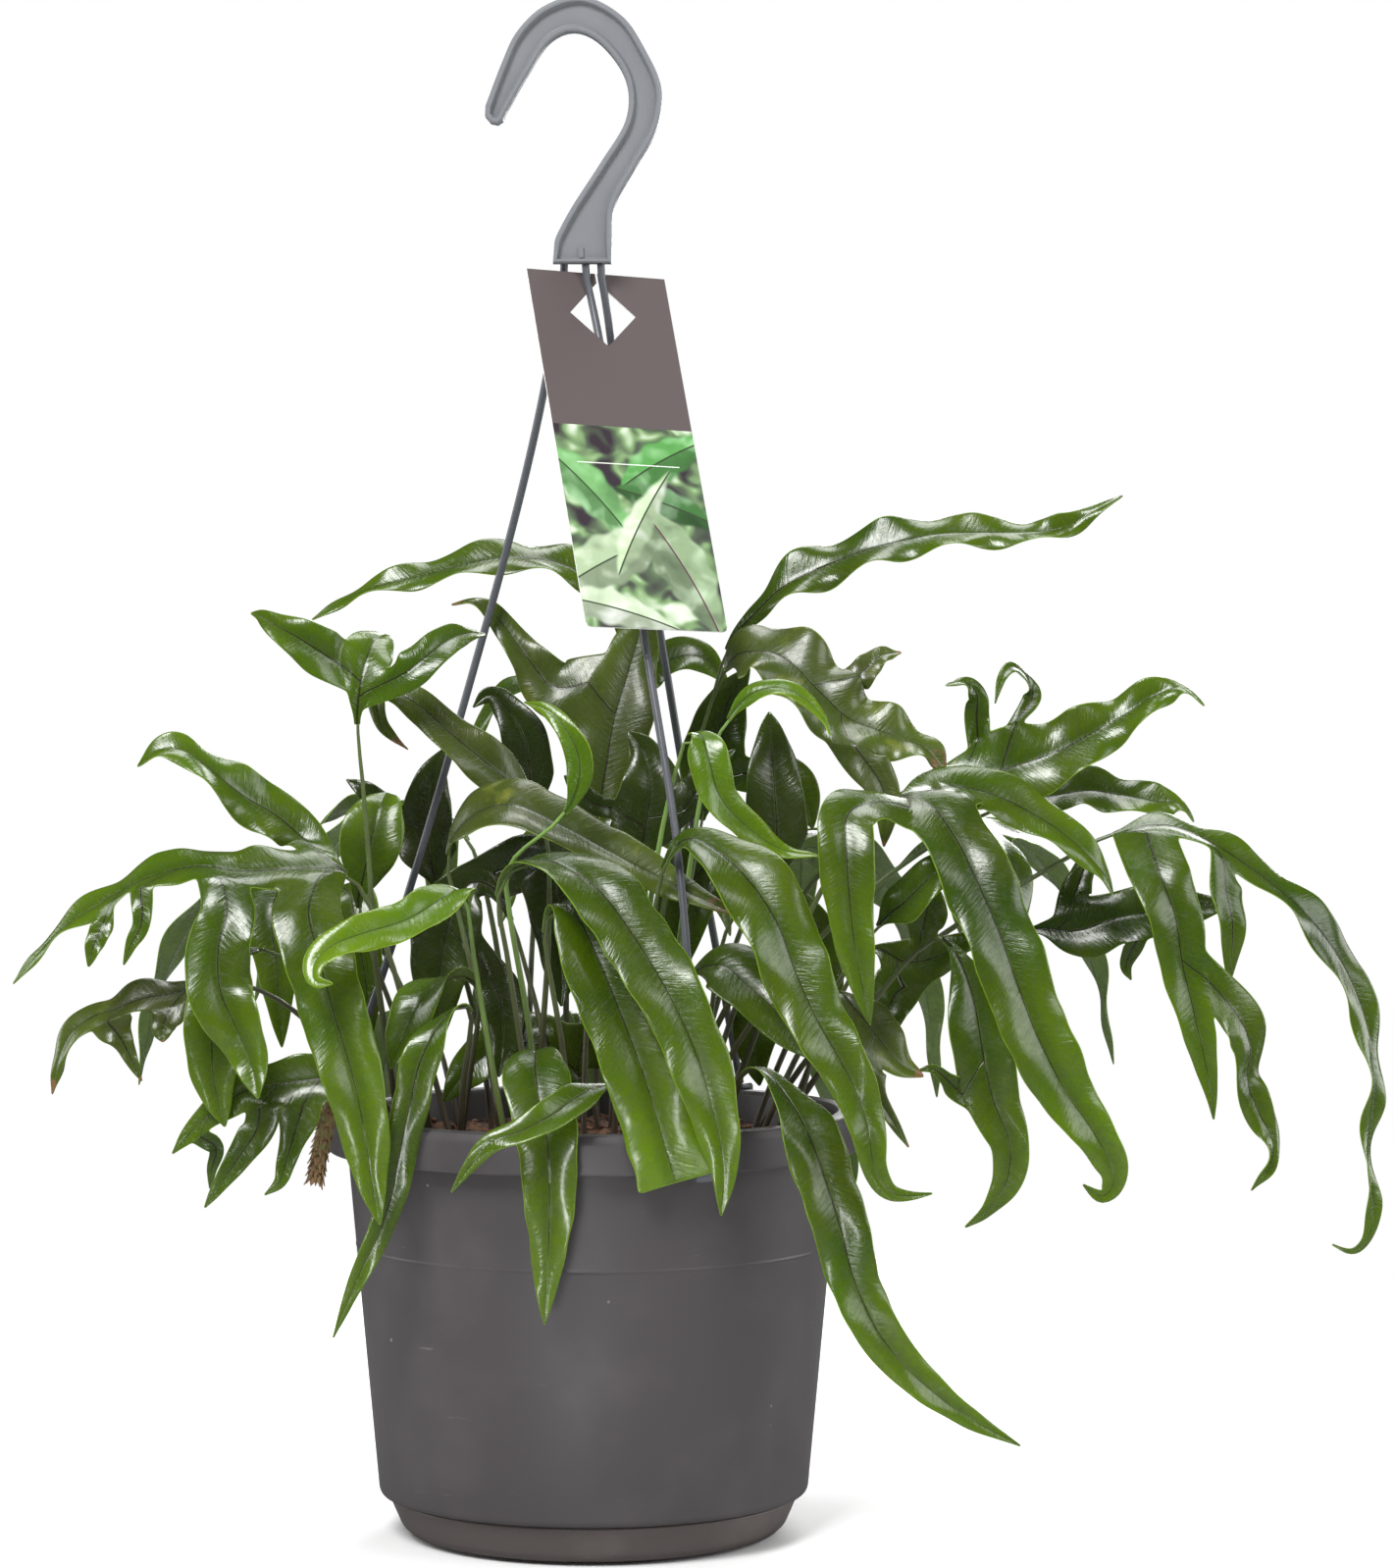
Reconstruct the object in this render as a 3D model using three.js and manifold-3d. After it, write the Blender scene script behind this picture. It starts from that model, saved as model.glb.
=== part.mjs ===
// A kangaroo paw fern in its hanging pot. Millimetres, +Z up; the origin is the centre of the pot's base.
// The front of the plant faces -Y, and +X is to the right of someone who looks at it from there.
import * as THREE from "three";
import { mergeVertices } from "three/addons/utils/BufferGeometryUtils.js";
import Module from "manifold-3d";

const wasm = await Module();
wasm.setup();

// ---- driving dimensions ----
const GAP = 0.3; // clearance between pieces that touch
const POT = {
  lipR: 105, height: 168, lipDepth: 15.5, wall: 2, base: 3.4,
  topR: 97.5, waistR: 85.2, neckR: 78.3, footR: 73.4, sides: 32,
};
const SAUCER = {
  rimR: 81, baseR: 76.4, height: 16, wall: 1.8, sides: 30,
  footDrop: 1.2, footR: 64, padR: 24,
};
const SOIL = { top: 154, lump: 3.2, floorGap: 0.3 };
const HOOK = { thick: 8.6, rib: 2.8, recess: 2.6, socketDepth: 5, base: 502.6 };
const ROD = { radius: 1.6, sides: 8, steps: 14 };
const CLIP = { width: 7, thick: 2.2, toothIn: 2.6 };
const TAG = { width: 60, height: 156.5, thick: 0.6, holeX: 30, holeY: 18.5, holeR: 14.2, slit: 1 };
const STIPE = 2.4; // thickness and width of a frond's stalk
const BLADE = 0.8; // thickness of a frond's blade
const ROOT_DEPTH = 9; // how far a stalk stands in the soil

const FINISH = {
  potPlastic: { color: 0x5b5758, roughness: 0.5, metalness: 0 },
  saucerPlastic: { color: 0x635d5c, roughness: 0.55, metalness: 0 },
  hangerPlastic: { color: 0x6c7371, roughness: 0.45, metalness: 0 },
  card: { color: 0xdfe6d8, roughness: 0.4, metalness: 0 },
  soil: { color: 0x3a241a, roughness: 1, metalness: 0 },
  rhizome: { color: 0x8d8a4c, roughness: 0.9, metalness: 0 },
  leaf: { color: 0x4f7c2c, roughness: 0.35, metalness: 0 },
  youngLeaf: { color: 0x7da63a, roughness: 0.35, metalness: 0 },
  oldLeaf: { color: 0x3c5427, roughness: 0.4, metalness: 0 },
};

const group = new THREE.Group();
const v3 = (x, y, z) => new THREE.Vector3(x, y, z);

function addMesh(name, geometry, finish) {
  const material = new THREE.MeshStandardMaterial({ ...FINISH[finish], side: THREE.FrontSide });
  const mesh = new THREE.Mesh(geometry, material);
  mesh.name = name;
  group.add(mesh);
}

// ---- solids ----
function toSolid(geometry) {
  const bare = geometry.clone();
  bare.deleteAttribute("normal");
  bare.deleteAttribute("uv");
  const merged = mergeVertices(bare, 1e-3);
  const triVerts = new Uint32Array(merged.index.array);
  return new wasm.Manifold(
    new wasm.Mesh({ numProp: 3, vertProperties: merged.attributes.position.array, triVerts }),
  );
}

function toGeometry(solid) {
  const mesh = solid.getMesh();
  const geometry = new THREE.BufferGeometry();
  geometry.setAttribute("position", new THREE.BufferAttribute(mesh.vertProperties, 3));
  geometry.setIndex(new THREE.BufferAttribute(mesh.triVerts, 1));
  geometry.computeVertexNormals();
  return geometry;
}

// A body of revolution about Z; the profile lists [radius, height] from the axis round to the axis.
function turned(profile, sides) {
  const points = profile.map(([r, z]) => new THREE.Vector2(r, z));
  return new THREE.LatheGeometry(points, sides).rotateX(Math.PI / 2);
}

function tube(points, radius, sides, steps) {
  const circle = new THREE.Shape();
  circle.absarc(0, 0, radius, 0, 2 * Math.PI);
  return new THREE.ExtrudeGeometry(circle, {
    extrudePath: new THREE.CatmullRomCurve3(points.map((p) => v3(...p))),
    steps,
    curveSegments: sides / 2,
  });
}

function rodBetween(from, to, radius, sides) {
  const axis = v3(...to).sub(v3(...from));
  const geometry = new THREE.CylinderGeometry(radius, radius, axis.length(), sides);
  geometry.applyQuaternion(new THREE.Quaternion().setFromUnitVectors(v3(0, 1, 0), axis.clone().normalize()));
  return geometry.translate(...v3(...from).addScaledVector(axis, 0.5));
}

// ---- pot, saucer and soil ----
function makePot() {
  const { lipR, height, lipDepth, wall, topR, waistR, neckR, footR, base, sides } = POT;
  const under = height - wall;
  return turned(
    [
      [0, base],
      [footR - 1.5, base],
      [footR, base + 1.5],
      [neckR, SAUCER.height + 0.3],
      [waistR - 1, SAUCER.height + 0.3],
      [waistR, SAUCER.height + 1.6],
      [topR, height - lipDepth],
      [topR + 0.4, under],
      [lipR - wall, under],
      [lipR - wall, height - lipDepth],
      [lipR, height - lipDepth],
      [lipR, height - 1.5],
      [lipR - 1.2, height],
      [topR - 0.6, height],
      [topR - wall, height - 1.6],
      [waistR - wall - 0.3, SAUCER.height + 3],
      [neckR - wall, SAUCER.height + 1.8],
      [footR - wall, base + wall + 0.4],
      [0, base + wall + 0.4],
    ],
    sides,
  );
}

function makeSaucer() {
  const { rimR, baseR, height, wall, footDrop, footR, padR, sides } = SAUCER;
  return turned(
    [
      [0, 0],
      [padR, 0],
      [padR + 1, footDrop],
      [footR, footDrop],
      [footR + 1, 0],
      [footR + 3, 0],
      [footR + 4, footDrop],
      [baseR - 3.5, footDrop],
      [baseR, footDrop + 3.2],
      [rimR, height - 1],
      [rimR - 0.6, height - 0.2],
      [rimR - wall, height - 0.2],
      [baseR - 2.5, 3.1],
      [0, 3.1],
    ],
    sides,
  );
}

// The height of the soil's surface: a shallow mound with lumps.
function soilHeight(x, y) {
  const mound = 3.5 * (1 - (x * x + y * y) / 9000);
  const lumps = Math.sin(x * 0.19 + 1.3) * Math.cos(y * 0.23 - 0.4) + 0.6 * Math.sin(x * 0.41 - y * 0.37);
  return SOIL.top + mound + (SOIL.lump / 1.6) * lumps;
}

function makeSoil(holes) {
  const floor = POT.base + POT.wall + 0.4 + SOIL.floorGap;
  const wallAt = (z) => {
    const low = POT.waistR - POT.wall - 0.3;
    const high = POT.topR - POT.wall;
    const share = (z - SAUCER.height - 3) / (POT.height - 4.6 - SAUCER.height);
    return low + share * (high - low) - 0.9;
  };
  const rings = [0, 30, 56, 77, wallAt(SOIL.top)].reverse();
  const profile = [
    [0, floor],
    [POT.footR - POT.wall - 1.6, floor],
    [POT.neckR - POT.wall - 1.1, SAUCER.height + 2.6],
    [wallAt(SAUCER.height + 4) - 0.4, SAUCER.height + 4],
    ...rings.map((r) => [r, SOIL.top]),
  ];
  const geometry = turned(profile, 26);
  const position = geometry.getAttribute("position");
  for (let i = 0; i < position.count; i += 1) {
    if (position.getZ(i) < SOIL.top - 1) continue;
    const x = position.getX(i);
    const y = position.getY(i);
    const edge = Math.hypot(x, y) > rings[0] - 1;
    position.setZ(i, edge ? SOIL.top - 2 : soilHeight(x, y));
  }
  const cut = holes.reduce((left, hole) => left.subtract(toSolid(hole)), toSolid(geometry));
  return toGeometry(cut);
}

// ---- hanger ----
// The flat hook's outline, from its tip over the top and down to the base, and back along the inside.
function hookOutline() {
  const shape = new THREE.Shape();
  shape.moveTo(-42.4, 564.3);
  shape.splineThru([v2(-36, 581), v2(-29.9, 593.5), v2(-19, 603.6), v2(-4, 607.4), v2(11.3, 599.7)]);
  shape.splineThru([v2(20.5, 586.5), v2(27, 571), v2(24.9, 555), v2(16.5, 540), v2(8.4, 525)]);
  shape.lineTo(7.2, 504.2);
  shape.quadraticCurveTo(7, HOOK.base, 5.4, HOOK.base);
  shape.lineTo(-14.6, HOOK.base);
  shape.quadraticCurveTo(-16.2, HOOK.base, -16, 504.4);
  shape.lineTo(-14.6, 513);
  shape.splineThru([v2(-8.4, 524.5), v2(3, 542), v2(13, 559), v2(12.8, 575), v2(3.5, 588.5), v2(-7, 593.6)]);
  shape.splineThru([v2(-17, 589.6), v2(-25.2, 577.6), v2(-34.2, 562)]);
  shape.quadraticCurveTo(-36.5, 556.4, -40.4, 558);
  shape.quadraticCurveTo(-43.6, 560.2, -42.4, 564.3);
  return shape.getSpacedPoints(60);
}

function v2(x, z) {
  return new THREE.Vector2(x, z);
}

// Moves each point of a closed outline inwards, square to the line between its neighbours.
function inset(outline, depth) {
  const turn = THREE.ShapeUtils.isClockWise(outline) ? -1 : 1;
  return outline.map((point, i) => {
    const before = outline[(i - 1 + outline.length) % outline.length];
    const after = outline[(i + 1) % outline.length];
    const along = after.clone().sub(before).normalize();
    return v2(point.x - along.y * depth * turn, point.y + along.x * depth * turn);
  });
}

// An outline in the XZ plane made a plate between two depths along Y.
function plate(outline, front, back) {
  const shape = new THREE.Shape(outline);
  const geometry = new THREE.ExtrudeGeometry(shape, { depth: back - front, bevelEnabled: false });
  return geometry.rotateX(Math.PI / 2).translate(0, back, 0);
}

function makeHook() {
  const outline = hookOutline().slice(0, -1);
  const half = HOOK.thick / 2;
  const web = inset(outline, HOOK.rib).filter((p) => p.y > HOOK.base + 10);
  let hook = toSolid(plate(outline, -half, half));
  hook = hook.subtract(toSolid(plate(web, -half - 1, -half + HOOK.recess)));
  hook = hook.subtract(toSolid(plate(web, half - HOOK.recess, half + 1)));
  for (const points of Object.values(RODS)) {
    const curve = new THREE.CatmullRomCurve3(points.map((p) => v3(...p)));
    const top = curve.getPointAt(0);
    const next = curve.getPointAt(1 / ROD.steps);
    top.add(top.clone().sub(next).setLength(GAP));
    hook = hook.subtract(toSolid(rodBetween(next.toArray(), top.toArray(), ROD.radius + GAP, 10)));
  }
  return toGeometry(hook);
}

// The clip that snaps over the pot's lip, as a profile of [radius, height] extruded along the rim.
function makeClip(azimuth) {
  const { lipR, height, lipDepth } = POT;
  const top = height + GAP;
  const out = lipR + GAP;
  const bottom = height - lipDepth - GAP;
  const profile = [
    v2(out - 6, top),
    v2(out, top),
    v2(out, bottom),
    v2(out - CLIP.toothIn, bottom),
    v2(out - CLIP.toothIn, bottom - 1.6),
    v2(out + 0.8, bottom - 2.6),
    v2(out + CLIP.thick, bottom - 1),
    v2(out + CLIP.thick, top + 1),
    v2(out + 0.9, top + CLIP.thick),
    v2(out - 6, top + CLIP.thick),
  ];
  return plate(profile, -CLIP.width / 2, CLIP.width / 2).rotateZ(azimuth);
}

const RODS = {
  left: [
    [-11.5, 2.4, HOOK.base + HOOK.socketDepth - GAP],
    [-11.5, 2.4, 499],
    [-20.8, 3.2, 447],
    [-33.2, 4.2, 395],
    [-50.4, 5.6, 333],
    [-68.8, 6.6, 270],
    [-86, 8, 216],
    [-103.3, 9, 170],
  ],
  front: [
    [-3.1, -0.4, HOOK.base + HOOK.socketDepth - GAP],
    [-3.1, -0.4, 499],
    [0.6, -3.6, 482],
    [7.5, -15, 444],
    [20.3, -43, 357],
    [32.9, -66, 279],
    [39.3, -84, 210],
    [42.6, -94.4, 170],
  ],
  back: [
    [3, -0.8, HOOK.base + HOOK.socketDepth - GAP],
    [3, -0.8, 499],
    [5.4, 1.4, 484],
    [10.6, 12, 447],
    [26.1, 38, 357],
    [36.5, 54, 294],
    [48, 69.5, 232],
    [59, 84.4, 170],
  ],
};

function makeRod(points) {
  const foot = points[points.length - 1];
  const clip = toSolid(makeClip(Math.atan2(foot[1], foot[0])));
  return toGeometry(toSolid(tube(points, ROD.radius, ROD.sides, ROD.steps)).add(clip));
}

// ---- care tag ----
// The card hangs aslant on two of the rods, which pass through its diamond hole.
const TAG_CORNER = v3(-26, -8.4, 500);
const TAG_RIGHT = v3(0.9, 0.436, -0.035).normalize();
const TAG_DOWN = v3(0.101, -0.427, -0.894);

function makeTag() {
  const { width, height, thick, holeX, holeY, holeR, slit } = TAG;
  const round = 2;
  const card = new THREE.Shape();
  card.moveTo(0, 0);
  card.lineTo(holeX - slit / 2, 0);
  card.lineTo(holeX - slit / 2, holeY - holeR);
  card.lineTo(holeX - holeR, holeY);
  card.lineTo(holeX, holeY + holeR);
  card.lineTo(holeX + holeR, holeY);
  card.lineTo(holeX + slit / 2, holeY - holeR);
  card.lineTo(holeX + slit / 2, 0);
  card.lineTo(width, 0);
  card.lineTo(width, height - round);
  card.lineTo(width - round, height);
  card.lineTo(round, height);
  card.lineTo(0, height - round);
  const geometry = new THREE.ExtrudeGeometry(card, { depth: thick, bevelEnabled: false });
  const down = TAG_DOWN.clone().addScaledVector(TAG_RIGHT, -TAG_DOWN.dot(TAG_RIGHT)).normalize();
  const through = TAG_RIGHT.clone().cross(down);
  geometry.applyMatrix4(new THREE.Matrix4().makeBasis(TAG_RIGHT, down, through));
  return geometry.translate(...TAG_CORNER);
}

// ---- rhizome ----
// A creeping tip that crosses the lip and hangs outside it, rough with overlapping scales.
const RHIZOME = [
  [-70, -37, 149],
  [-78, -41.5, 167],
  [-90, -48.5, 177],
  [-99, -53.5, 174.5],
  [-103, -55.5, 162],
  [-106, -57, 146],
];

function makeRhizome() {
  const geometry = tube(RHIZOME, 3.3, 8, 18);
  const curve = new THREE.CatmullRomCurve3(RHIZOME.map((p) => v3(...p)));
  const rings = curve.getSpacedPoints(18);
  const position = geometry.getAttribute("position");
  for (let i = 0; i < position.count; i += 1) {
    const spot = v3().fromBufferAttribute(position, i);
    const nearest = rings.reduce((a, b) => (a.distanceTo(spot) < b.distanceTo(spot) ? a : b));
    const ring = rings.indexOf(nearest);
    const swell = ring === 18 ? 0.35 : ring % 2 ? 1.12 : 0.86;
    spot.sub(nearest).multiplyScalar(swell).add(nearest);
    position.setXYZ(i, spot.x, spot.y, spot.z);
  }
  return geometry;
}

// ---- fronds ----
// A frond's line: a smooth curve through hand-placed points, read by its share of the whole length.
class Line {
  constructor(points) {
    this.curve = new THREE.CatmullRomCurve3(points.map((p) => v3(...p)), false, "catmullrom", 0.5);
    this.curve.arcLengthDivisions = 24 * (points.length - 1);
    this.lengths = this.curve.getLengths();
  }

  // The share of the length at which a point of the list lies.
  shareAt(index) {
    return this.lengths[24 * index] / this.lengths[this.lengths.length - 1];
  }
}

// The direction that a blade's upper face looks in, read between a list of directions spaced evenly along it.
function facing(directions, b) {
  const place = THREE.MathUtils.clamp(b, 0, 1) * (directions.length - 1);
  const i = Math.min(Math.floor(place), directions.length - 2);
  if (i < 0) return v3(...directions[0]);
  return v3(...directions[i]).lerp(v3(...directions[i + 1]), place - i);
}

const ease = (x) => {
  const t = THREE.MathUtils.clamp(x, 0, 1);
  return t * t * (3 - 2 * t);
};

// Half a blade's width at b, 0 at its foot and 1 at its tip. rise is the stretch over which it widens.
function halfWidth(leaf, b) {
  const { width, rise = 0.3, blunt = 2.6, foot = STIPE / 2 } = leaf;
  const taper = leaf.cut ? 1 : (1 - Math.min(b, 1) ** blunt) ** 0.85;
  const full = foot + (width / 2 - foot) * ease(b / rise);
  return Math.max(full * taper, 0.7);
}

// How far the blade's edge stands off its flat plane: the fold along the rib, then the waves.
function lift(leaf, b, q) {
  const { cup = 0.15, wave = 2, waves = 3, phase = 0 } = leaf;
  const half = halfWidth(leaf, b);
  const swing = Math.sin(2 * Math.PI * (waves * b + phase) + (q > 0 ? 1.9 : 0));
  return (cup * half + wave * swing * ease(b / 0.2) * ease((1 - b) / 0.15)) * Math.abs(q) ** 1.7;
}

// A point of a leaf's middle surface: b along the rib and q from -1 to 1 across.
class Blade {
  constructor(leaf, line, start) {
    Object.assign(this, { leaf, line, start });
  }

  frame(b) {
    const share = THREE.MathUtils.clamp(this.start + b * (1 - this.start), 0, 1);
    const along = this.line.curve.getTangentAt(share);
    const across = along.clone().cross(facing(this.leaf.face, b)).normalize();
    return { centre: this.line.curve.getPointAt(share), along, across, normal: across.clone().cross(along) };
  }

  spot(b, q) {
    const { centre, across, normal } = this.frame(b);
    const half = b < 0 ? STIPE / 2 : halfWidth(this.leaf, b);
    centre.addScaledVector(across, q * half);
    if (b > 0) centre.addScaledVector(normal, lift(this.leaf, b, q));
    return { at: centre, normal };
  }
}

// A sheet of triangles that is then given its thickness, split alike on both faces.
class Sheet {
  constructor() {
    this.spots = [];
    this.triangles = [];
  }

  add(at, normal, thick) {
    this.spots.push({ at, normal, thick });
    return this.spots.length - 1;
  }

  patch(rows) {
    for (let i = 0; i + 1 < rows.length; i += 1)
      for (let j = 0; j + 1 < rows[i].length; j += 1) {
        const [a, b, c, d] = [rows[i][j], rows[i + 1][j], rows[i + 1][j + 1], rows[i][j + 1]];
        this.triangles.push([a, c, b], [a, d, c]);
      }
  }

  solid() {
    const count = this.spots.length;
    const side = (sign) => this.spots.flatMap(({ at, normal, thick }) =>
      at.clone().addScaledVector(normal, (sign * thick) / 2).toArray());
    const edges = new Map();
    for (const [a, b, c] of this.triangles)
      for (const [from, to] of [[a, b], [b, c], [c, a]]) edges.set(`${from}_${to}`, [from, to]);
    const walls = [...edges.values()].filter(([from, to]) => !edges.has(`${to}_${from}`));
    const index = [
      ...this.triangles.flat(),
      ...this.triangles.flatMap(([a, b, c]) => [a + count, c + count, b + count]),
      ...walls.flatMap(([from, to]) => [from, from + count, to + count, from, to + count, to]),
    ];
    const geometry = new THREE.BufferGeometry();
    geometry.setAttribute("position", new THREE.Float32BufferAttribute([...side(1), ...side(-1)], 3));
    geometry.setIndex(index);
    geometry.computeVertexNormals();
    return geometry;
  }
}

// A lobe grows from a stretch of its parent's edge and shares the corners of that stretch.
function addLobe(sheet, parent, rows, steps, lobe) {
  const [from, to] = lobe.rows;
  const right = lobe.side > 0;
  const column = right ? rows[0].length - 1 : 0;
  const base = [];
  for (let i = from; i <= to; i += 1) base.push(rows[i + steps.stipe][column]);
  if (right) base.reverse();
  const middle = parent.spot((from + to) / 2 / steps.blade, lobe.side);
  const line = new Line([middle.at.toArray(), ...lobe.path]);
  const foot = (sheet.spots[base[0]].at.distanceTo(sheet.spots[base[base.length - 1]].at)) / 2;
  const blade = new Blade({ foot, rise: 0.5, ...lobe }, line, 0);
  const grown = [base];
  for (let i = 1; i <= lobe.steps; i += 1) {
    const b = i / lobe.steps;
    const mix = ease(b / 0.3);
    grown.push(base.map((index, j) => {
      const own = blade.spot(b, (2 * j) / (base.length - 1) - 1);
      const carried = sheet.spots[index].at.clone().sub(middle.at).add(blade.frame(b).centre);
      const normal = sheet.spots[index].normal.clone().lerp(own.normal, mix).normalize();
      return sheet.add(carried.lerp(own.at, mix), normal, BLADE);
    }));
  }
  sheet.patch(grown);
  for (const child of lobe.lobes ?? [])
    addLobe(sheet, blade, grown, { stipe: 0, blade: lobe.steps }, child);
}

// One frond: a square stalk out of the soil that flattens into a blade, with its lobes.
function makeFrond(frond) {
  const line = new Line([...frond.stipe, ...frond.blade]);
  const start = line.shareAt(frond.stipe.length);
  const blade = new Blade(frond, line, start);
  const steps = { stipe: frond.stalkSteps ?? 3, blade: frond.steps };
  const sheet = new Sheet();
  const rows = [];
  for (let i = -steps.stipe; i <= steps.blade; i += 1) {
    const b = i < 0 ? (i / steps.stipe) * (start / (1 - start)) : i / steps.blade;
    const thick = i <= 0 ? STIPE : THREE.MathUtils.lerp(STIPE, BLADE, ease((i / steps.blade) / 0.2));
    rows.push([-1, 0, 1].map((q) => {
      const { at, normal } = blade.spot(b, q);
      return sheet.add(at, normal, thick);
    }));
  }
  sheet.patch(rows);
  for (const lobe of frond.lobes ?? []) addLobe(sheet, blade, rows, steps, lobe);
  return sheet.solid();
}

// The plain hole in the soil that a frond's stalk stands in.
function rootHole(frond) {
  const [root, next] = frond.stipe.map((p) => v3(...p));
  const up = next.clone().sub(root).normalize();
  const bottom = root.clone().addScaledVector(up, -GAP - 0.2);
  const top = root.clone().addScaledVector(up, ROOT_DEPTH + 12);
  return rodBetween(bottom.toArray(), top.toArray(), STIPE * 0.71 + 0.6, 5);
}

// Every frond by name. stipe and blade list the points of its line, the root first; face lists the directions
// that the blade's upper side looks in from foot to tip; steps counts the rows of the blade. A lobe names the
// side and the stretch of its parent's rows that it grows from, and then its own line.
const FRONDS = {
  left_great: {
    stipe: [[-60, -36, 147], [-68, -44, 194], [-80, -55, 240]],
    blade: [
      [-93, -61, 264], [-113, -66, 266], [-131, -68, 265], [-150, -66, 267], [-170, -62, 262],
      [-187, -57, 253], [-205, -53, 241], [-223, -50, 221],
    ],
    face: [[0.1, -0.55, 0.83], [0, -0.5, 0.87], [-0.3, -0.5, 0.8]], steps: 16, width: 25, rise: 0.13,
    wave: 2, waves: 4,
    lobes: [
      {
        side: -1, rows: [0, 3],
        path: [
          [-106, -84, 251], [-102, -90, 236], [-96, -94, 214], [-89, -97, 192], [-84, -99, 170],
          [-81, -100, 150], [-78, -100, 134],
        ],
        face: [[0, -0.75, 0.66], [0.05, -1, 0.1], [0, -1, 0]], steps: 10, width: 26, wave: 2, waves: 3,
        phase: 0.2, blunt: 4,
      },
      {
        side: -1, rows: [4, 6],
        path: [
          [-137, -82, 251], [-140, -86, 236], [-139, -88, 221], [-133, -90, 208], [-127, -91, 194],
          [-124, -96, 181],
        ],
        face: [[0, -0.8, 0.6], [0.15, -1, 0], [-0.3, -1, -0.1]], steps: 8, width: 27, wave: 2.4,
        waves: 2.5, phase: 0.6, blunt: 3.4,
      },
      {
        side: 1, rows: [0, 2],
        path: [
          [-110, -48, 276], [-122, -47, 286], [-132, -49, 292], [-141, -52, 299], [-149, -54, 306],
          [-157, -56, 311], [-166, -56, 311], [-174, -56, 305],
        ],
        face: [[0.1, -0.6, 0.8], [0.3, -0.9, 0.4], [0.2, -0.6, 0.7], [0, -0.6, 0.8]], steps: 10,
        width: 24, wave: 2.6, waves: 3, phase: 0.4, blunt: 3.6,
      },
      {
        side: -1, rows: [8, 9], path: [[-170, -75, 246], [-174, -76, 238], [-177, -76, 230]],
        face: [[0, -0.8, 0.6], [0, -1, 0.2]], steps: 3, width: 8, wave: 0.6,
      },
      {
        side: -1, rows: [10, 11], path: [[-186, -68, 244], [-189, -70, 237], [-191, -71, 229]],
        face: [[0, -0.8, 0.6], [0, -1, 0.2]], steps: 3, width: 10, wave: 1,
      },
    ],
  },
  right_great: {
    stipe: [[58, -4, 147], [82, -9, 185], [111, -14, 218], [152, -20, 248], [188, -26, 270]],
    stalkSteps: 5,
    blade: [
      [203, -28, 278], [226, -30, 281], [252, -31, 268], [280, -29, 245], [298, -26, 217],
      [306, -23, 186], [304, -22, 154], [306, -22, 125], [299, -23, 114], [290, -24, 117],
    ],
    face: [[0, -0.35, 0.94], [0.2, -0.5, 0.84], [0.5, -0.8, 0.35], [0.9, -0.4, 0.1], [0.5, -0.85, 0.1]],
    steps: 18, width: 19, rise: 0.08, wave: 2.4, waves: 6, blunt: 3,
    lobes: [
      {
        side: 1, rows: [0, 2],
        path: [
          [220, -50, 262], [225, -53, 247], [228, -54, 228], [232, -55, 211], [236, -55, 194],
          [239, -55, 179], [240, -55, 169],
        ],
        face: [[0.1, -0.8, 0.6], [0.1, -1, 0], [0, -1, 0]], steps: 9, width: 22, wave: 1.4, waves: 3,
        blunt: 2.2,
        lobes: [
          {
            side: -1, rows: [4, 6],
            path: [
              [249, -53, 209], [254, -51, 197], [253, -50, 184], [258, -50, 171], [263, -50, 161],
              [262, -50, 151], [255, -50, 141],
            ],
            face: [[0.3, -0.9, 0.2], [0.75, -0.65, 0], [0.3, -1, 0], [0.75, -0.5, 0.1]], steps: 8,
            width: 17, wave: 2.2, waves: 3, phase: 0.5, blunt: 2.4,
          },
        ],
      },
      {
        side: 1, rows: [3, 4], path: [[246, -43, 255], [248, -44, 244], [248, -43, 233], [247, -42, 220]],
        face: [[0.2, -0.8, 0.5], [0.3, -1, 0]], steps: 6, width: 14.5, wave: 0.8, waves: 2, blunt: 2.2,
      },
    ],
  },
  right_glossy: {
    stipe: [[48, -34, 147], [61, -43, 194], [82, -53, 244], [102, -59, 279]], stalkSteps: 4,
    blade: [
      [117, -62, 293], [129, -69, 291], [138, -77, 280], [146, -84, 264], [154, -90, 245],
      [161, -94, 225], [169, -97, 204], [180, -98, 183], [191, -98, 167], [198, -97, 153],
      [194, -96, 144], [186, -97, 149],
    ],
    face: [[0, -0.5, 0.87], [0.15, -0.9, 0.45], [0.15, -1, 0.1], [0.1, -1, 0.1], [-0.2, -0.95, 0]],
    steps: 16, width: 29, rise: 0.13, wave: 1.8, waves: 5, blunt: 3.4,
    lobes: [
      {
        side: 1, rows: [0, 2],
        path: [
          [110, -80, 292], [98, -89, 288], [97, -95, 276], [98, -98, 258], [100, -99, 240],
          [103, -99, 224], [106, -98, 209],
        ],
        face: [[0, -0.2, 1], [0, -0.9, 0.4], [0, -1, 0], [0, -1, 0]], steps: 10, width: 23, wave: 1.2,
        waves: 3, blunt: 3,
      },
      {
        side: -1, rows: [0, 2],
        path: [
          [141, -46, 297], [157, -41, 293], [173, -41, 285], [186, -43, 276], [197, -44, 265],
          [202, -44, 255],
        ],
        face: [[0.2, -0.6, 0.8], [0.2, -0.8, 0.6], [0.5, -0.7, 0.3]], steps: 8, width: 24, wave: 2,
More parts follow.
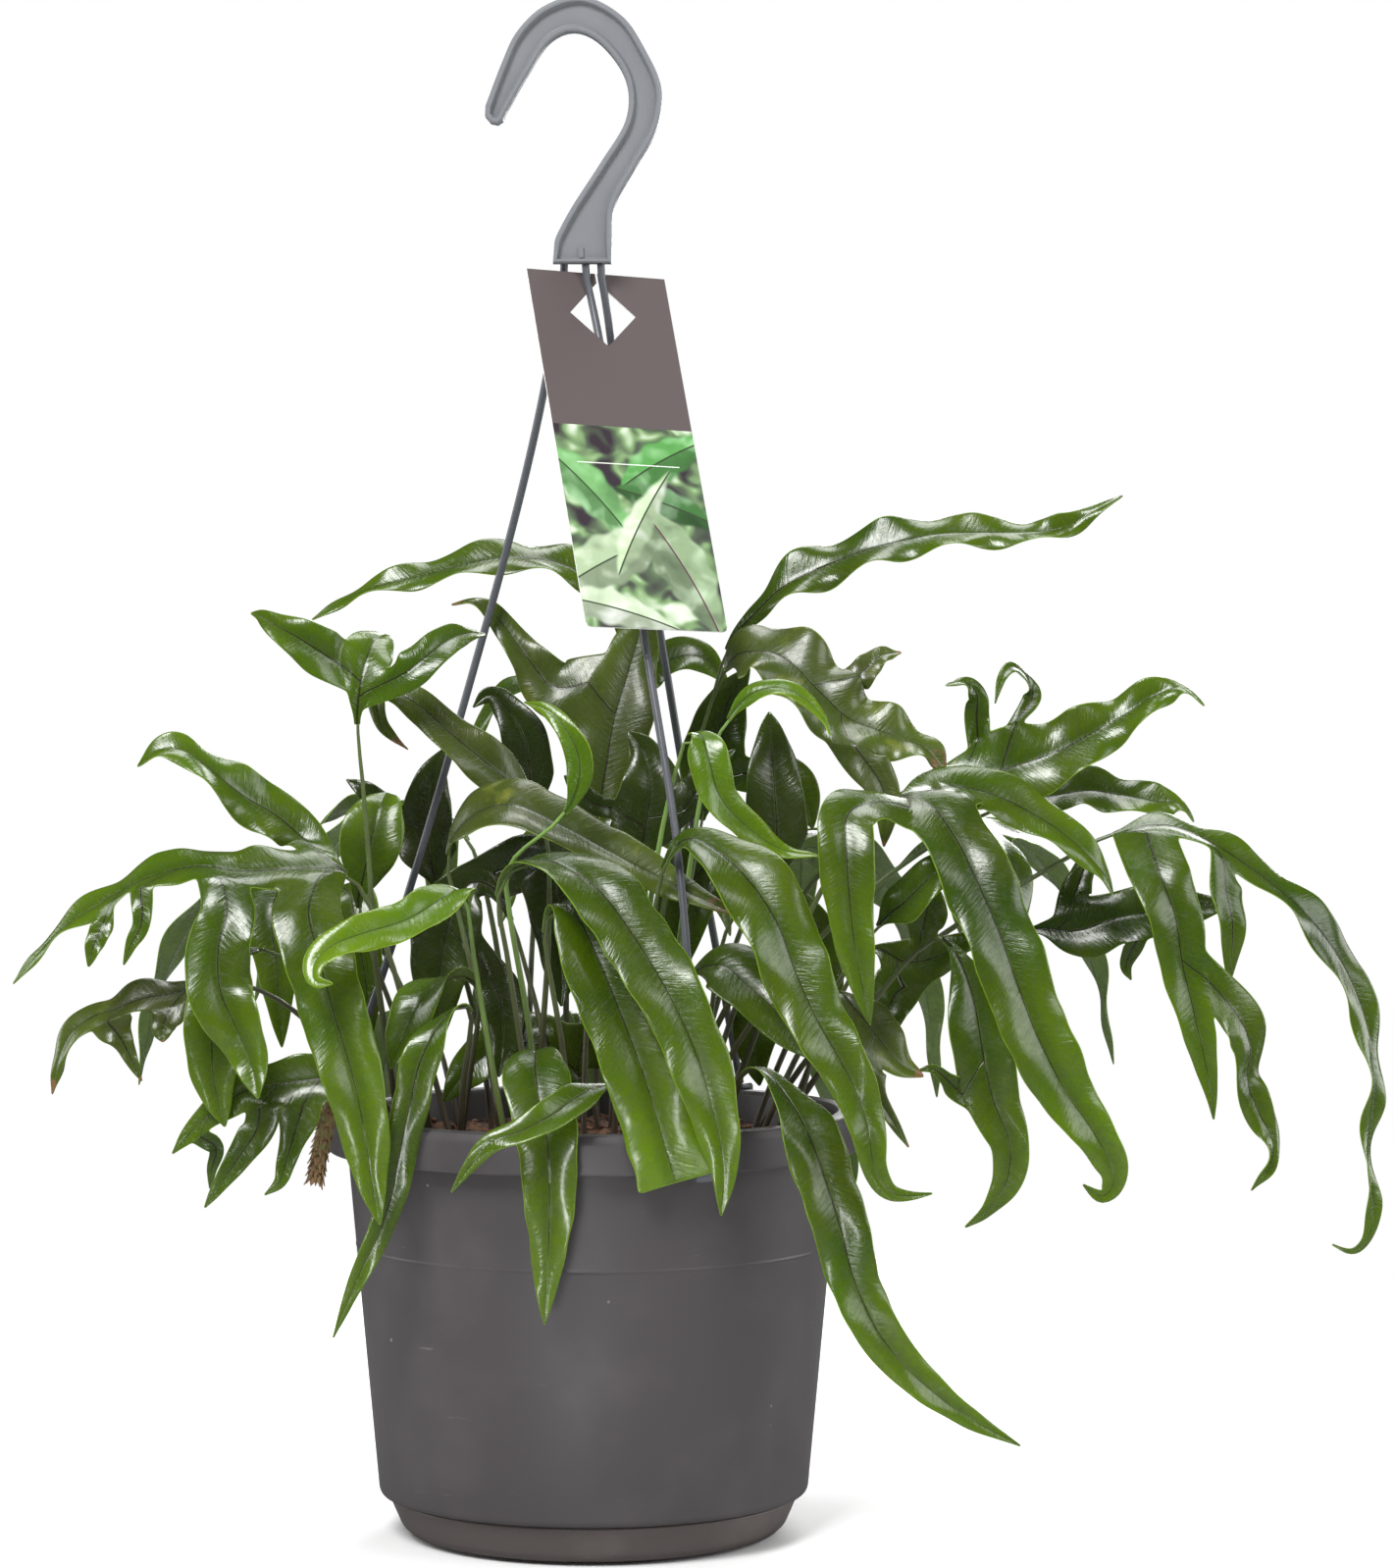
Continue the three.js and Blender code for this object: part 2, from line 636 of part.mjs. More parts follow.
        waves: 3, blunt: 2.8,
      },
    ],
  },
  upper_right: {
    stipe: [[30, 8, 147], [48, 4, 199], [80, -3, 249], [108, -10, 282]], stalkSteps: 4,
    blade: [
      [131, -16, 299], [150, -21, 300], [168, -24, 305], [184, -24, 311], [197, -23, 318],
      [209, -22, 325], [220, -22, 332], [231, -24, 335], [239, -28, 328],
    ],
    face: [[0, -0.75, 0.65], [0.1, -0.9, 0.4], [0.1, -0.8, 0.6], [0.5, -0.5, 0.7]], steps: 16, width: 37,
    rise: 0.2, wave: 3, waves: 4, blunt: 1.6,
    lobes: [
      {
        side: -1, rows: [2, 4],
        path: [[151, -13, 324], [151, -15, 332], [146, -19, 337], [138, -26, 336]],
        face: [[0, -0.95, 0.3], [0, -0.8, 0.5], [-0.3, -0.6, 0.7]], steps: 5, width: 10, wave: 0.6,
      },
      {
        side: -1, rows: [5, 6],
        path: [[173, -10, 331], [171, -12, 338], [165, -19, 343], [160, -27, 339], [157, -32, 329]],
        face: [[0, -0.9, 0.4], [0.2, -0.6, 0.75], [0, -1, 0.2]], steps: 7, width: 8, wave: 0.4,
      },
    ],
  },
  crest_lobed: {
    stipe: [[-4, -8, 147], [-3, -6, 194], [0, -2, 244]],
    blade: [[2, 2, 282], [5, 4, 304], [8, 6, 322], [13, 9, 339], [18, 12, 356], [24, 14, 372]],
    face: [[0, -1, 0.1], [0, -1, 0.1], [-0.1, -0.9, 0.4]], steps: 10, width: 34, rise: 0.35, wave: 2.4,
    waves: 2,
    lobes: [
      {
        side: -1, rows: [4, 7],
        path: [
          [-16, 8, 335], [-26, 10, 346], [-34, 12, 357], [-41, 13, 365], [-49, 13, 369], [-57, 12, 368],
        ],
        face: [[0, -1, 0.2], [0, -0.9, 0.4], [0, -0.7, 0.7]], steps: 9, width: 18, wave: 1.8, waves: 2.5,
        blunt: 1.7,
      },
    ],
  },
  trident: {
    stipe: [[-74, -20, 147], [-79, -30, 189], [-84, -38, 229], [-86, -41, 266], [-88.5, -42, 299]],
    stalkSteps: 5,
    blade: [[-90.5, -42, 321], [-89.5, -42, 335], [-87, -38, 347], [-84, -30, 354], [-81, -21, 356]],
    face: [[0, -1, -0.1], [0.1, -1, 0.15], [0.1, -0.6, 0.8]], steps: 8, width: 20, rise: 0.6, wave: 1,
    waves: 2, blunt: 6,
    lobes: [
      {
        side: -1, rows: [2, 5],
        path: [[-103, -44, 348], [-112, -46, 354], [-121, -47, 359], [-127, -48, 363], [-131, -49, 364]],
        face: [[-0.1, -1, 0.2], [-0.1, -0.9, 0.4]], steps: 7, width: 18, wave: 1, waves: 2, blunt: 2.6,
      },
      {
        side: 1, rows: [1, 4], path: [[-70, -46, 342], [-59, -41, 351], [-50, -29, 356], [-42, -16, 356]],
        face: [[0.1, -1, 0.2], [0.1, -0.9, 0.4], [0.2, -0.8, 0.5]], steps: 7, width: 15, wave: 1.2,
        waves: 2,
      },
    ],
  },
  top_left: {
    stipe: [[6, 26, 147], [8, 28, 204], [10, 29, 264], [13, 29, 319]], stalkSteps: 4,
    blade: [
      [10, 27, 356], [1, 27, 375], [-13, 26, 384], [-32, 24, 387], [-52, 22, 384], [-71, 20, 379],
      [-93, 18, 373], [-113, 16, 362],
    ],
    face: [[-0.3, -0.6, 0.75], [0, -0.6, 0.8], [-0.1, -0.6, 0.8]], steps: 12, width: 23, wave: 2.4,
    waves: 4, blunt: 2.4,
  },
  top_right: {
    stipe: [[20, 22, 147], [24, 26, 204], [34, 30, 264], [44, 32, 316]], stalkSteps: 4,
    blade: [
      [53, 34, 350], [63, 34, 363], [77, 33, 376], [96, 33, 385], [116, 32, 392], [136, 30, 396],
      [156, 30, 397], [175, 28, 397], [189, 28, 399], [199, 27, 405], [212, 26, 412],
    ],
    face: [[-0.2, -0.7, 0.7], [-0.1, -0.75, 0.65], [0, -0.7, 0.7], [0.2, -0.8, 0.5]], steps: 15,
    width: 24, wave: 3.4, waves: 5, blunt: 2.6,
  },
  dried_tip: {
    stipe: [[-22, -16, 147], [-20, -17, 194], [-17, -19, 244]],
    blade: [
      [-19, -22, 282], [-31, -24, 297], [-43, -26, 307], [-55, -27, 317], [-66, -27, 327],
      [-76, -25, 333], [-84, -20, 332], [-83, -21, 322], [-78, -23, 316], [-72, -23, 311],
    ],
    face: [[0.2, -0.7, 0.7], [0.1, -0.9, 0.4], [0, -0.8, 0.6], [-0.5, -0.8, 0.1]], steps: 13, width: 23,
    rise: 0.25, wave: 1.8, waves: 3, blunt: 1.5,
  },
  bright_narrow: {
    stipe: [[-18, -40, 147], [-24, -47, 204], [-31, -58, 249], [-31, -67, 267], [-20, -75, 278]],
    stalkSteps: 6,
    blade: [
      [-9, -79, 288], [-4, -80, 299], [-4, -79, 310], [-9, -77, 320], [-16, -73, 327], [-25, -68, 330],
    ],
    face: [[0.1, -1, 0], [0, -1, 0], [-0.3, -0.8, 0.5]], steps: 8, width: 11, wave: 0.8, waves: 2,
  },
  front_grey: {
    stipe: [[-34, -34, 147], [-42, -34, 204], [-51, -34, 244]],
    blade: [
      [-56, -37, 270], [-46, -46, 285], [-30, -54, 290], [-11, -58, 282], [8, -61, 272], [26, -63, 263],
      [42, -66, 255], [58, -69, 248],
    ],
    face: [[-0.3, -0.5, 0.8], [0, -0.6, 0.8], [0.1, -0.85, 0.5]], steps: 12, width: 30, rise: 0.15,
    wave: 1.2, waves: 2, blunt: 2.2,
  },
  front_bright: {
    stipe: [[-20, -52, 147], [-26, -60, 194], [-32, -67, 236]],
    blade: [
      [-35, -71, 256], [-27, -77, 268], [-12, -85, 269], [5, -93, 258], [20, -100, 238], [32, -106, 218],
      [41, -110, 198], [47, -112, 178], [51, -113, 157], [50, -113, 139],
    ],
    face: [[0, 0.3, 0.95], [0.1, -0.8, 0.6], [0.1, -1, 0.2], [0, -1, 0.1]], steps: 16, width: 28,
    rise: 0.22, wave: 1.4, waves: 4, blunt: 4,
  },
  front_cut: {
    stipe: [[-6, -58, 147], [-10, -66, 194], [-15, -72, 226]],
    blade: [
      [-17, -74, 242], [-12, -80, 253], [-5, -86, 250], [4, -92, 233], [12, -97, 214], [19, -100, 196],
      [25, -102, 178], [29, -103, 164], [33, -103, 150],
    ],
    face: [[0, 0.4, 0.9], [0, -0.9, 0.4], [0.05, -1, 0.1], [0, -1, 0.1]], steps: 12, width: 29, rise: 0.3,
    wave: 1.2, waves: 3, cut: true,
  },
  front_right: {
    stipe: [[22, -52, 147], [22, -61, 194], [24, -70, 240]],
    blade: [
      [28, -74, 266], [37, -79, 278], [49, -84, 273], [61, -90, 262], [71, -95, 247], [77, -98, 231],
      [85, -103, 213], [93, -106, 199], [100, -108, 186], [105, -109, 170], [107, -109, 157],
      [112, -109, 148], [120, -109, 146], [129, -109, 147],
    ],
    face: [[0.1, -0.5, 0.85], [0.2, -0.8, 0.55], [0.1, -1, 0.2], [0, -1, 0.1], [0, -1, 0.2]], steps: 16,
    width: 33, rise: 0.25, wave: 2, waves: 5, blunt: 1.8,
  },
  low_long: {
    stipe: [[50, -56, 147], [52, -63, 171]], stalkSteps: 2,
    blade: [
      [58, -75, 188], [66, -85, 191], [75, -92, 181], [83, -97, 167], [89, -99, 151], [95, -100, 132],
      [100, -100, 113], [110, -100, 92], [126, -98, 74], [143, -97, 61], [163, -96, 50],
    ],
    face: [[0, 0.4, 0.9], [0.1, -0.9, 0.3], [0.1, -1, 0.1], [0.1, -1, 0.2]], steps: 14, width: 24,
    rise: 0.25, wave: 1.4, waves: 5,
  },
  right_dark_low: {
    stipe: [[64, -30, 147], [86, -38, 182], [108, -46, 212], [123, -52, 231]], stalkSteps: 4,
    blade: [
      [135, -55, 239], [143, -58, 228], [148, -60, 211], [151, -61, 193], [155, -61, 176],
      [161, -61, 161], [160, -60, 146], [153, -59, 135], [144, -59, 128],
    ],
    face: [[0.1, -0.9, 0.4], [0.1, -1, 0.1], [-0.1, -1, 0], [0.5, -0.8, 0]], steps: 11, width: 26,
    rise: 0.3, wave: 2, waves: 3, blunt: 2.2,
    lobes: [
      {
        side: 1, rows: [5, 6], path: [[134, -66, 188], [130, -68, 190], [125, -68, 189]],
        face: [[0, -1, 0.2], [0, -1, 0.2]], steps: 4, width: 6, wave: 0.3,
      },
    ],
  },
  right_curled: {
    stipe: [[34, -6, 147], [60, -7, 199], [100, -8, 247], [140, -8, 277]], stalkSteps: 4,
    blade: [
      [166, -8, 290], [182, -8, 292], [197, -7, 294], [211, -7, 292], [223, -8, 290], [232, -9, 289],
      [237, -10, 282],
    ],
    face: [[0, -0.8, 0.6], [0.1, -0.6, 0.8], [0.2, -0.8, 0.5], [0.7, -0.5, 0.3]], steps: 9, width: 24,
    wave: 2.6, waves: 3,
  },
  ruffled: {
    stipe: [[16, 4, 147], [24, 0, 224], [38, -8, 299]], stalkSteps: 4,
    blade: [
      [52, -16, 342], [65, -22, 349], [77, -28, 345], [88, -33, 334], [100, -36, 323], [116, -38, 317],
      [130, -38, 311], [138, -37, 301],
    ],
    face: [[-0.2, -0.6, 0.8], [0.1, -0.8, 0.6], [0.1, -0.85, 0.5], [0.3, -0.7, 0.6]], steps: 14,
    width: 31, rise: 0.12, wave: 4, waves: 4.5, blunt: 4,
    lobes: [
      {
        side: -1, rows: [6, 8], path: [[104, -29, 339], [112, -26, 347], [121, -23, 349]],
        face: [[0, -0.9, 0.4], [0, -0.7, 0.7]], steps: 5, width: 12, wave: 0.8,
      },
      {
        side: 1, rows: [8, 10], path: [[112, -50, 298], [114, -51, 287], [113, -51, 274]],
        face: [[0, -1, 0.3], [0, -1, 0]], steps: 6, width: 14, wave: 0.8, waves: 2,
      },
    ],
  },
  bright_hook: {
    stipe: [[24, -20, 147], [30, -30, 204], [38, -42, 264], [45, -53, 306]], stalkSteps: 4,
    blade: [
      [53, -58, 323], [62, -62, 333], [73, -64, 335], [82, -65, 331], [89, -66, 324], [92, -67, 317],
    ],
    face: [[-0.2, -0.8, 0.6], [0, -0.7, 0.7], [0.5, -0.7, 0.5]], steps: 8, width: 10, wave: 0.6, waves: 2,
  },
  bright_fold: {
    stipe: [[12, -30, 147], [18, -36, 214], [26, -44, 272], [33, -51, 304]], stalkSteps: 4,
    blade: [
      [38, -56, 317], [43, -62, 316], [46, -66, 306], [50, -66, 293], [60, -62, 282], [74, -61, 273],
      [88, -62, 271],
    ],
    face: [[-0.1, 0.1, 1], [0, -0.9, 0.4], [0.2, -0.9, 0.4], [0.2, -0.8, 0.6]], steps: 9, width: 16,
    rise: 0.2, wave: 1.4, waves: 2,
  },
  dark_centre: {
    stipe: [[38, -38, 147], [50, -42, 194], [64, -43, 234]],
    blade: [[72, -42, 260], [72, -41, 279], [71, -40, 296], [70, -39, 312], [69, -38, 326]],
    face: [[0, -1, 0], [0, -1, 0.1]], steps: 7, width: 25, wave: 1.6, waves: 2, blunt: 3.5,
    lobes: [
      {
        side: -1, rows: [2, 3], path: [[53, -40, 288], [46, -38, 295], [41, -36, 300]],
        face: [[0, -1, 0.1], [0, -1, 0.3]], steps: 4, width: 12, wave: 0.6,
      },
    ],
  },
  small_glossy: {
    stipe: [[60, -44, 147], [75, -52, 184], [92, -60, 217]],
    blade: [[110, -66, 244], [121, -68, 254], [130, -69, 263], [139, -68, 270], [146, -66, 274]],
    face: [[-0.3, -0.8, 0.5], [-0.3, -0.9, 0.3]], steps: 7, width: 20, wave: 1.4, waves: 2,
  },
  dark_pair: {
    stipe: [[70, -18, 147], [84, -22, 184], [98, -26, 216]],
    blade: [[109, -28, 233], [123, -30, 228], [136, -30, 231], [151, -28, 240]],
    face: [[0, -1, 0.1], [0, -1, 0.1]], steps: 6, width: 20, wave: 1, waves: 2,
    lobes: [
      {
        side: -1, rows: [2, 4], path: [[130, -33, 246], [131, -35, 253], [132, -36, 260]],
        face: [[0, -1, 0.1], [0, -0.9, 0.4]], steps: 5, width: 18, wave: 0.8, blunt: 4,
      },
      {
        side: 1, rows: [1, 3], path: [[118, -32, 215], [114, -34, 204], [115, -35, 192]],
        face: [[0, -1, 0.1], [0, -1, 0]], steps: 5, width: 15, wave: 0.8,
      },
    ],
  },
  right_dark: {
    stipe: [[64, 6, 147], [100, 2, 194], [138, -2, 226]], stalkSteps: 4,
    blade: [
      [172, -6, 239], [190, -8, 239], [207, -10, 244], [224, -12, 247], [240, -14, 249], [254, -14, 251],
    ],
    face: [[0, -1, 0.2], [0, -0.9, 0.4]], steps: 9, width: 26, wave: 1.6, waves: 2,
    lobes: [
      {
        side: -1, rows: [1, 3], path: [[193, -3, 260], [196, 0, 267], [199, 2, 273]],
        face: [[0, -1, 0.2], [0, -1, 0.4]], steps: 4, width: 11, wave: 0.5,
      },
      {
        side: 1, rows: [4, 5], path: [[210, -13, 226], [212, -14, 220]],
        face: [[0, -1, 0.2], [0, -1, 0.2]], steps: 3, width: 7, wave: 0.3,
      },
    ],
  },
  bright_crossing: {
    stipe: [[-30, -56, 147], [-38, -64, 194], [-44, -70, 232]],
    blade: [
      [-46, -75, 251], [-49, -84, 259], [-58, -92, 254], [-69, -99, 248], [-83, -105, 244],
      [-94, -109, 240], [-101, -112, 234], [-101, -116, 227], [-94, -118, 226],
    ],
    face: [[0, 0.4, 0.9], [0, -0.9, 0.45], [-0.1, -0.9, 0.4], [-0.4, -0.9, 0]], steps: 12, width: 17,
    rise: 0.2, wave: 1, waves: 3, blunt: 4,
  },
  left_low: {
    stipe: [[-74, -6, 147], [-96, -12, 186], [-118, -20, 209], [-136, -26, 219]], stalkSteps: 4,
    blade: [
      [-149, -31, 220], [-163, -34, 216], [-175, -35, 214], [-185, -36, 210], [-194, -36, 207],
      [-202, -36, 201], [-207, -36, 191], [-210, -36, 177],
    ],
    face: [[0, -0.7, 0.7], [-0.1, -0.6, 0.8], [-0.4, -0.7, 0.5]], steps: 10, width: 17, rise: 0.2,
    wave: 1.6, waves: 3,
    lobes: [
      {
        side: -1, rows: [1, 3], path: [[-166, -42, 204], [-166, -44, 198]],
        face: [[0, -0.8, 0.6], [0, -1, 0.2]], steps: 3, width: 11, wave: 0.5, blunt: 4,
      },
      {
        side: -1, rows: [4, 6], path: [[-182, -43, 199], [-178, -44, 191], [-174, -45, 183]],
        face: [[0, -0.8, 0.6], [0, -1, 0.1]], steps: 5, width: 8, wave: 0.5,
      },
    ],
  },
  left_behind: {
    stipe: [[-80, -14, 147], [-93, -34, 191], [-112, -52, 226]],
    blade: [
      [-127, -61, 235], [-138, -66, 229], [-143, -69, 215], [-144, -71, 200], [-143, -72, 185],
      [-139, -72, 168],
    ],
    face: [[-0.2, -0.6, 0.75], [0, -1, 0.1], [0, -1, 0]], steps: 8, width: 23, wave: 1, waves: 2,
    blunt: 4,
  },
  left_fingers: {
    stipe: [[-66, -48, 147], [-75, -57, 170]], stalkSteps: 2,
    blade: [
      [-86, -63, 184], [-97, -65, 186], [-110, -65, 185], [-122, -65, 183], [-132, -65, 181],
      [-140, -65, 176], [-150, -65, 168], [-160, -65, 157],
    ],
    face: [[0, -0.9, 0.4], [0, -0.9, 0.4]], steps: 10, width: 20, rise: 0.2, wave: 1, waves: 3,
    lobes: [
      {
        side: -1, rows: [2, 4],
        path: [[-113, -70, 164], [-116, -71, 154], [-118, -72, 147], [-124, -72, 142]],
        face: [[0, -1, 0.3], [0, -1, 0]], steps: 5, width: 10, wave: 0.5,
      },
      {
        side: -1, rows: [4, 6],
        path: [[-127, -69, 167], [-134, -70, 156], [-141, -71, 146], [-147, -71, 137]],
        face: [[0, -1, 0.3], [0, -1, 0]], steps: 5, width: 11, wave: 0.5,
      },
      {
        side: -1, rows: [8, 9], path: [[-143, -65, 159], [-145, -63, 151], [-146, -61, 143]],
        face: [[0, -1, 0.3], [0, -1, 0]], steps: 4, width: 6, wave: 0.3,
      },
    ],
  },
  left_narrow: {
    stipe: [[-50, -58, 147], [-49, -64, 179], [-46, -70, 200]],
    blade: [
      [-45, -75, 212], [-49, -80, 215], [-57, -86, 207], [-64, -88, 193], [-67, -88, 179],
      [-71, -88, 162], [-74, -88, 146], [-79, -87, 130], [-88, -86, 111], [-97, -84, 89],
    ],
    face: [[0, 0.5, 0.85], [0.2, -0.9, 0.4], [0.3, -1, 0.1], [0.2, -1, 0.1]], steps: 12, width: 15,
    rise: 0.2, wave: 1, waves: 4,
  },
  left_broad: {
    stipe: [[-52, -44, 147], [-47, -48, 184], [-43, -54, 210]],
    blade: [[-43, -58, 220], [-49, -62, 225], [-58, -65, 222], [-67, -68, 211], [-76, -70, 190]],
    face: [[0, 0.5, 0.85], [0.1, -0.9, 0.4]], steps: 7, width: 24, rise: 0.35, wave: 1, waves: 2,
    blunt: 3,
  },
  front_centre: {
    stipe: [[-14, -62, 147], [-16, -66, 172]], stalkSteps: 2,
    blade: [
      [-18, -73, 190], [-20, -83, 198], [-20, -95, 193], [-18, -104, 182], [-15, -111, 168],
      [-14, -113, 152], [-14, -113, 135], [-15, -112, 117], [-16, -111, 98],
    ],
    face: [[0, 0.5, 0.85], [0, -0.9, 0.4], [0, -1, 0], [0, -1, 0]], steps: 13, width: 26, rise: 0.25,
    wave: 1.2, waves: 3,
  },
  front_crossing: {
    stipe: [[10, -64, 147], [13, -71, 167]], stalkSteps: 2,
    blade: [
      [14, -80, 181], [7, -95, 186], [-2, -111, 184], [-12, -122, 178], [-24, -126, 172],
      [-35, -127, 168], [-43, -126, 159], [-50, -124, 149],
    ],
    face: [[0, 0.4, 0.9], [0, -0.8, 0.6], [0.1, -0.9, 0.4], [0.2, -0.9, 0.3]], steps: 11, width: 15,
    rise: 0.5, wave: 1, waves: 2,
  },
  shadow_right: {
    stipe: [[34, -46, 147], [36, -50, 184], [36, -53, 208]],
    blade: [[38, -57, 224], [50, -64, 229], [60, -70, 222], [70, -75, 213], [86, -80, 194]],
    face: [[0, -0.6, 0.8], [0, -0.9, 0.4]], steps: 8, width: 28, rise: 0.3, wave: 1, waves: 2, blunt: 3,
  },
  grey_right: {
    stipe: [[72, -40, 147], [82, -55, 182], [88, -65, 204]],
    blade: [[94, -71, 219], [102, -77, 212], [110, -80, 202], [118, -81, 193], [127, -80, 188]],
    face: [[0.2, -0.8, 0.6], [0.3, -0.8, 0.5]], steps: 7, width: 24, rise: 0.4, wave: 1, waves: 2,
    lobes: [
      {
        side: 1, rows: [3, 5], path: [[108, -88, 184], [113, -89, 175], [121, -89, 162]],
        face: [[0.2, -0.9, 0.3], [0, -1, 0]], steps: 4, width: 7, wave: 0.4,
      },
    ],
  },
  left_upright: {
    stipe: [[-62, -14, 147], [-72, -16, 189], [-84, -22, 224]],
    blade: [[-91, -28, 249], [-89, -29, 262], [-86, -29, 276], [-83, -26, 288], [-81, -18, 294]],
    face: [[0, -1, 0], [0, -1, 0.1], [0, -0.6, 0.8]], steps: 7, width: 25, rise: 0.5, wave: 1.2, waves: 2,
    blunt: 6,
  },
  left_dark: {
    stipe: [[-40, 16, 147], [-46, 18, 194], [-56, 20, 232]],
    blade: [[-63, 20, 254], [-67, 21, 271], [-67, 21, 287], [-65, 21, 300], [-60, 21, 311]],
    face: [[0, -1, 0], [0, -1, 0.1]], steps: 7, width: 24, wave: 1.6, waves: 2,
    lobes: [
      {
        side: -1, rows: [3, 4], path: [[-86, 23, 288], [-93, 24, 294], [-100, 25, 298]],
        face: [[0, -1, 0.1], [0, -1, 0.3]], steps: 5, width: 12, wave: 0.6,
      },
    ],
  },
  centre_dark: {
    stipe: [[-24, 14, 147], [-26, 17, 204], [-24, 19, 254]],
    blade: [
      [-24, 20, 282], [-26, 21, 300], [-28, 22, 314], [-34, 24, 325], [-42, 25, 332], [-49, 24, 327],
    ],
    face: [[0, -1, 0], [0, -1, 0.2]], steps: 8, width: 21, wave: 1.2, waves: 2,
  },
  shade_centre: {
    stipe: [[8, -18, 147], [10, -18, 194], [13, -19, 239]],
    blade: [[18, -20, 266], [21, -20, 282], [23, -20, 297], [20, -18, 310], [14, -16, 318]],
    face: [[0, -1, 0.1], [0, -1, 0.1]], steps: 7, width: 29, wave: 1.6, waves: 2,
    lobes: [
      {
        side: 1, rows: [2, 4], path: [[43, -22, 298], [50, -23, 306], [56, -24, 311]],
        face: [[0, -1, 0.1], [0, -1, 0.3]], steps: 5, width: 13, wave: 0.6,
      },
      {
        side: -1, rows: [2, 3], path: [[0, -23, 290], [-6, -24, 296], [-11, -25, 301]],
        face: [[0, -1, 0.1], [0, -1, 0.3]], steps: 4, width: 11, wave: 0.6,
      },
    ],
  },
  inner_left: {
    stipe: [[-14, 3, 147], [-20, 6, 194], [-28, 8, 226]],
    blade: [
      [-33, 9, 242], [-40, 9, 255], [-49, 8, 257], [-56, 7, 247], [-60, 6, 231], [-62, 5, 213],
      [-60, 5, 196],
    ],
    face: [[0, -1, 0.1], [0, -1, 0.3], [0, -1, 0], [0, -1, 0]], steps: 10, width: 34, rise: 0.6,
    wave: 1.6, waves: 3, blunt: 3,
    lobes: [
      {
        side: 1, rows: [1, 3],
        path: [[-26, 10, 266], [-20, 9, 266], [-15, 8, 253], [-13, 7, 233], [-13, 6, 208]],
        face: [[0, -1, 0.3], [0, -1, 0.1], [0, -1, 0]], steps: 7, width: 28, wave: 1.4, waves: 2,
        blunt: 3,
      },
      {
        side: -1, rows: [5, 7], path: [[-41, 6, 219], [-37, 5, 209], [-36, 4, 196], [-38, 4, 180]],
        face: [[0, -1, 0.1], [0, -1, 0]], steps: 6, width: 22, wave: 1, waves: 2,
      },
    ],
  },
  inner_right: {
    stipe: [[44, 16, 147], [46, 17, 194], [50, 16, 228]],
    blade: [
      [56, 16, 244], [65, 15, 253], [75, 14, 251], [83, 13, 240], [88, 12, 225], [91, 12, 208],
      [91, 12, 192],
    ],
    face: [[0, -1, 0.1], [0, -1, 0.3], [0, -1, 0], [0, -1, 0]], steps: 10, width: 29, rise: 0.6,
    wave: 1.6, waves: 3, blunt: 3,
    lobes: [
      {
        side: -1, rows: [1, 3],
        path: [[52, 16, 262], [45, 16, 264], [38, 15, 255], [34, 14, 238], [32, 14, 216]],
        face: [[0, -1, 0.3], [0, -1, 0.1], [0, -1, 0]], steps: 7, width: 29, wave: 1.4, waves: 2,
        blunt: 3,
      },
      {
        side: 1, rows: [5, 7], path: [[70, 12, 217], [66, 11, 206], [64, 10, 192], [66, 10, 176]],
        face: [[0, -1, 0.1], [0, -1, 0]], steps: 6, width: 23, wave: 1, waves: 2,
      },
    ],
  },
  inner_low: {
    stipe: [[2, 10, 147], [1, 11, 162]], stalkSteps: 2,
    blade: [[-2, 11, 174], [-12, 10, 186], [-25, 9, 193], [-39, 8, 191], [-51, 7, 182], [-60, 5, 170]],
    face: [[0, -1, 0.1], [0, -1, 0.2], [0, -1, 0]], steps: 10, width: 27, rise: 0.3, wave: 1.4, waves: 3,
    blunt: 3,
    lobes: [
      {
        side: 1, rows: [1, 3],
        path: [[5, 12, 194], [15, 13, 203], [27, 13, 204], [38, 13, 196], [46, 12, 184], [51, 11, 172]],
        face: [[0, -1, 0.3], [0, -1, 0.1], [0, -1, 0]], steps: 8, width: 24, wave: 1.4, waves: 2,
        blunt: 3,
      },
    ],
  },
  inner_high: {
    stipe: [[26, -8, 147], [30, -6, 204], [38, 1, 256]], stalkSteps: 4,
    blade: [[43, 10, 282], [46, 9, 299], [49, 8, 316], [54, 8, 331], [62, 7, 343]],
    face: [[0, -1, 0.1], [0, -1, 0.1], [0, -0.9, 0.4]], steps: 9, width: 29, rise: 0.35, wave: 1.8,
    waves: 2,
    lobes: [
      {
        side: 1, rows: [2, 4], path: [[64, 7, 300], [75, 5, 300], [83, 4, 292], [87, 4, 279]],
        face: [[0, -1, 0.3], [0, -1, 0.2], [0.1, -1, 0]], steps: 6, width: 20, wave: 1.2, waves: 2,
        blunt: 3,
      },
    ],
  },
  back_left_high: {
    stipe: [[-30, 34, 147], [-36, 42, 200], [-44, 53, 246]],
    blade: [
      [-53, 64, 272], [-72, 82, 286], [-96, 102, 281], [-120, 120, 259], [-138, 132, 230],
      [-148, 138, 200],
    ],
    face: [[0.4, -0.4, 0.8], [-0.5, 0.5, 0.7], [-0.7, 0.7, 0.2]], steps: 10, width: 26, wave: 2, waves: 4,
    lobes: [
      {
        side: -1, rows: [3, 4], path: [[-94, 68, 285], [-103, 60, 285], [-111, 54, 281], [-116, 50, 273]],
        face: [[-0.3, 0.1, 0.9], [-0.8, 0.1, 0.5]], steps: 5, width: 19, wave: 1.4, waves: 2,
      },
      {
        side: 1, rows: [3, 4], path: [[-72, 119, 280], [-69, 133, 267], [-69, 143, 246], [-70, 148, 224]],
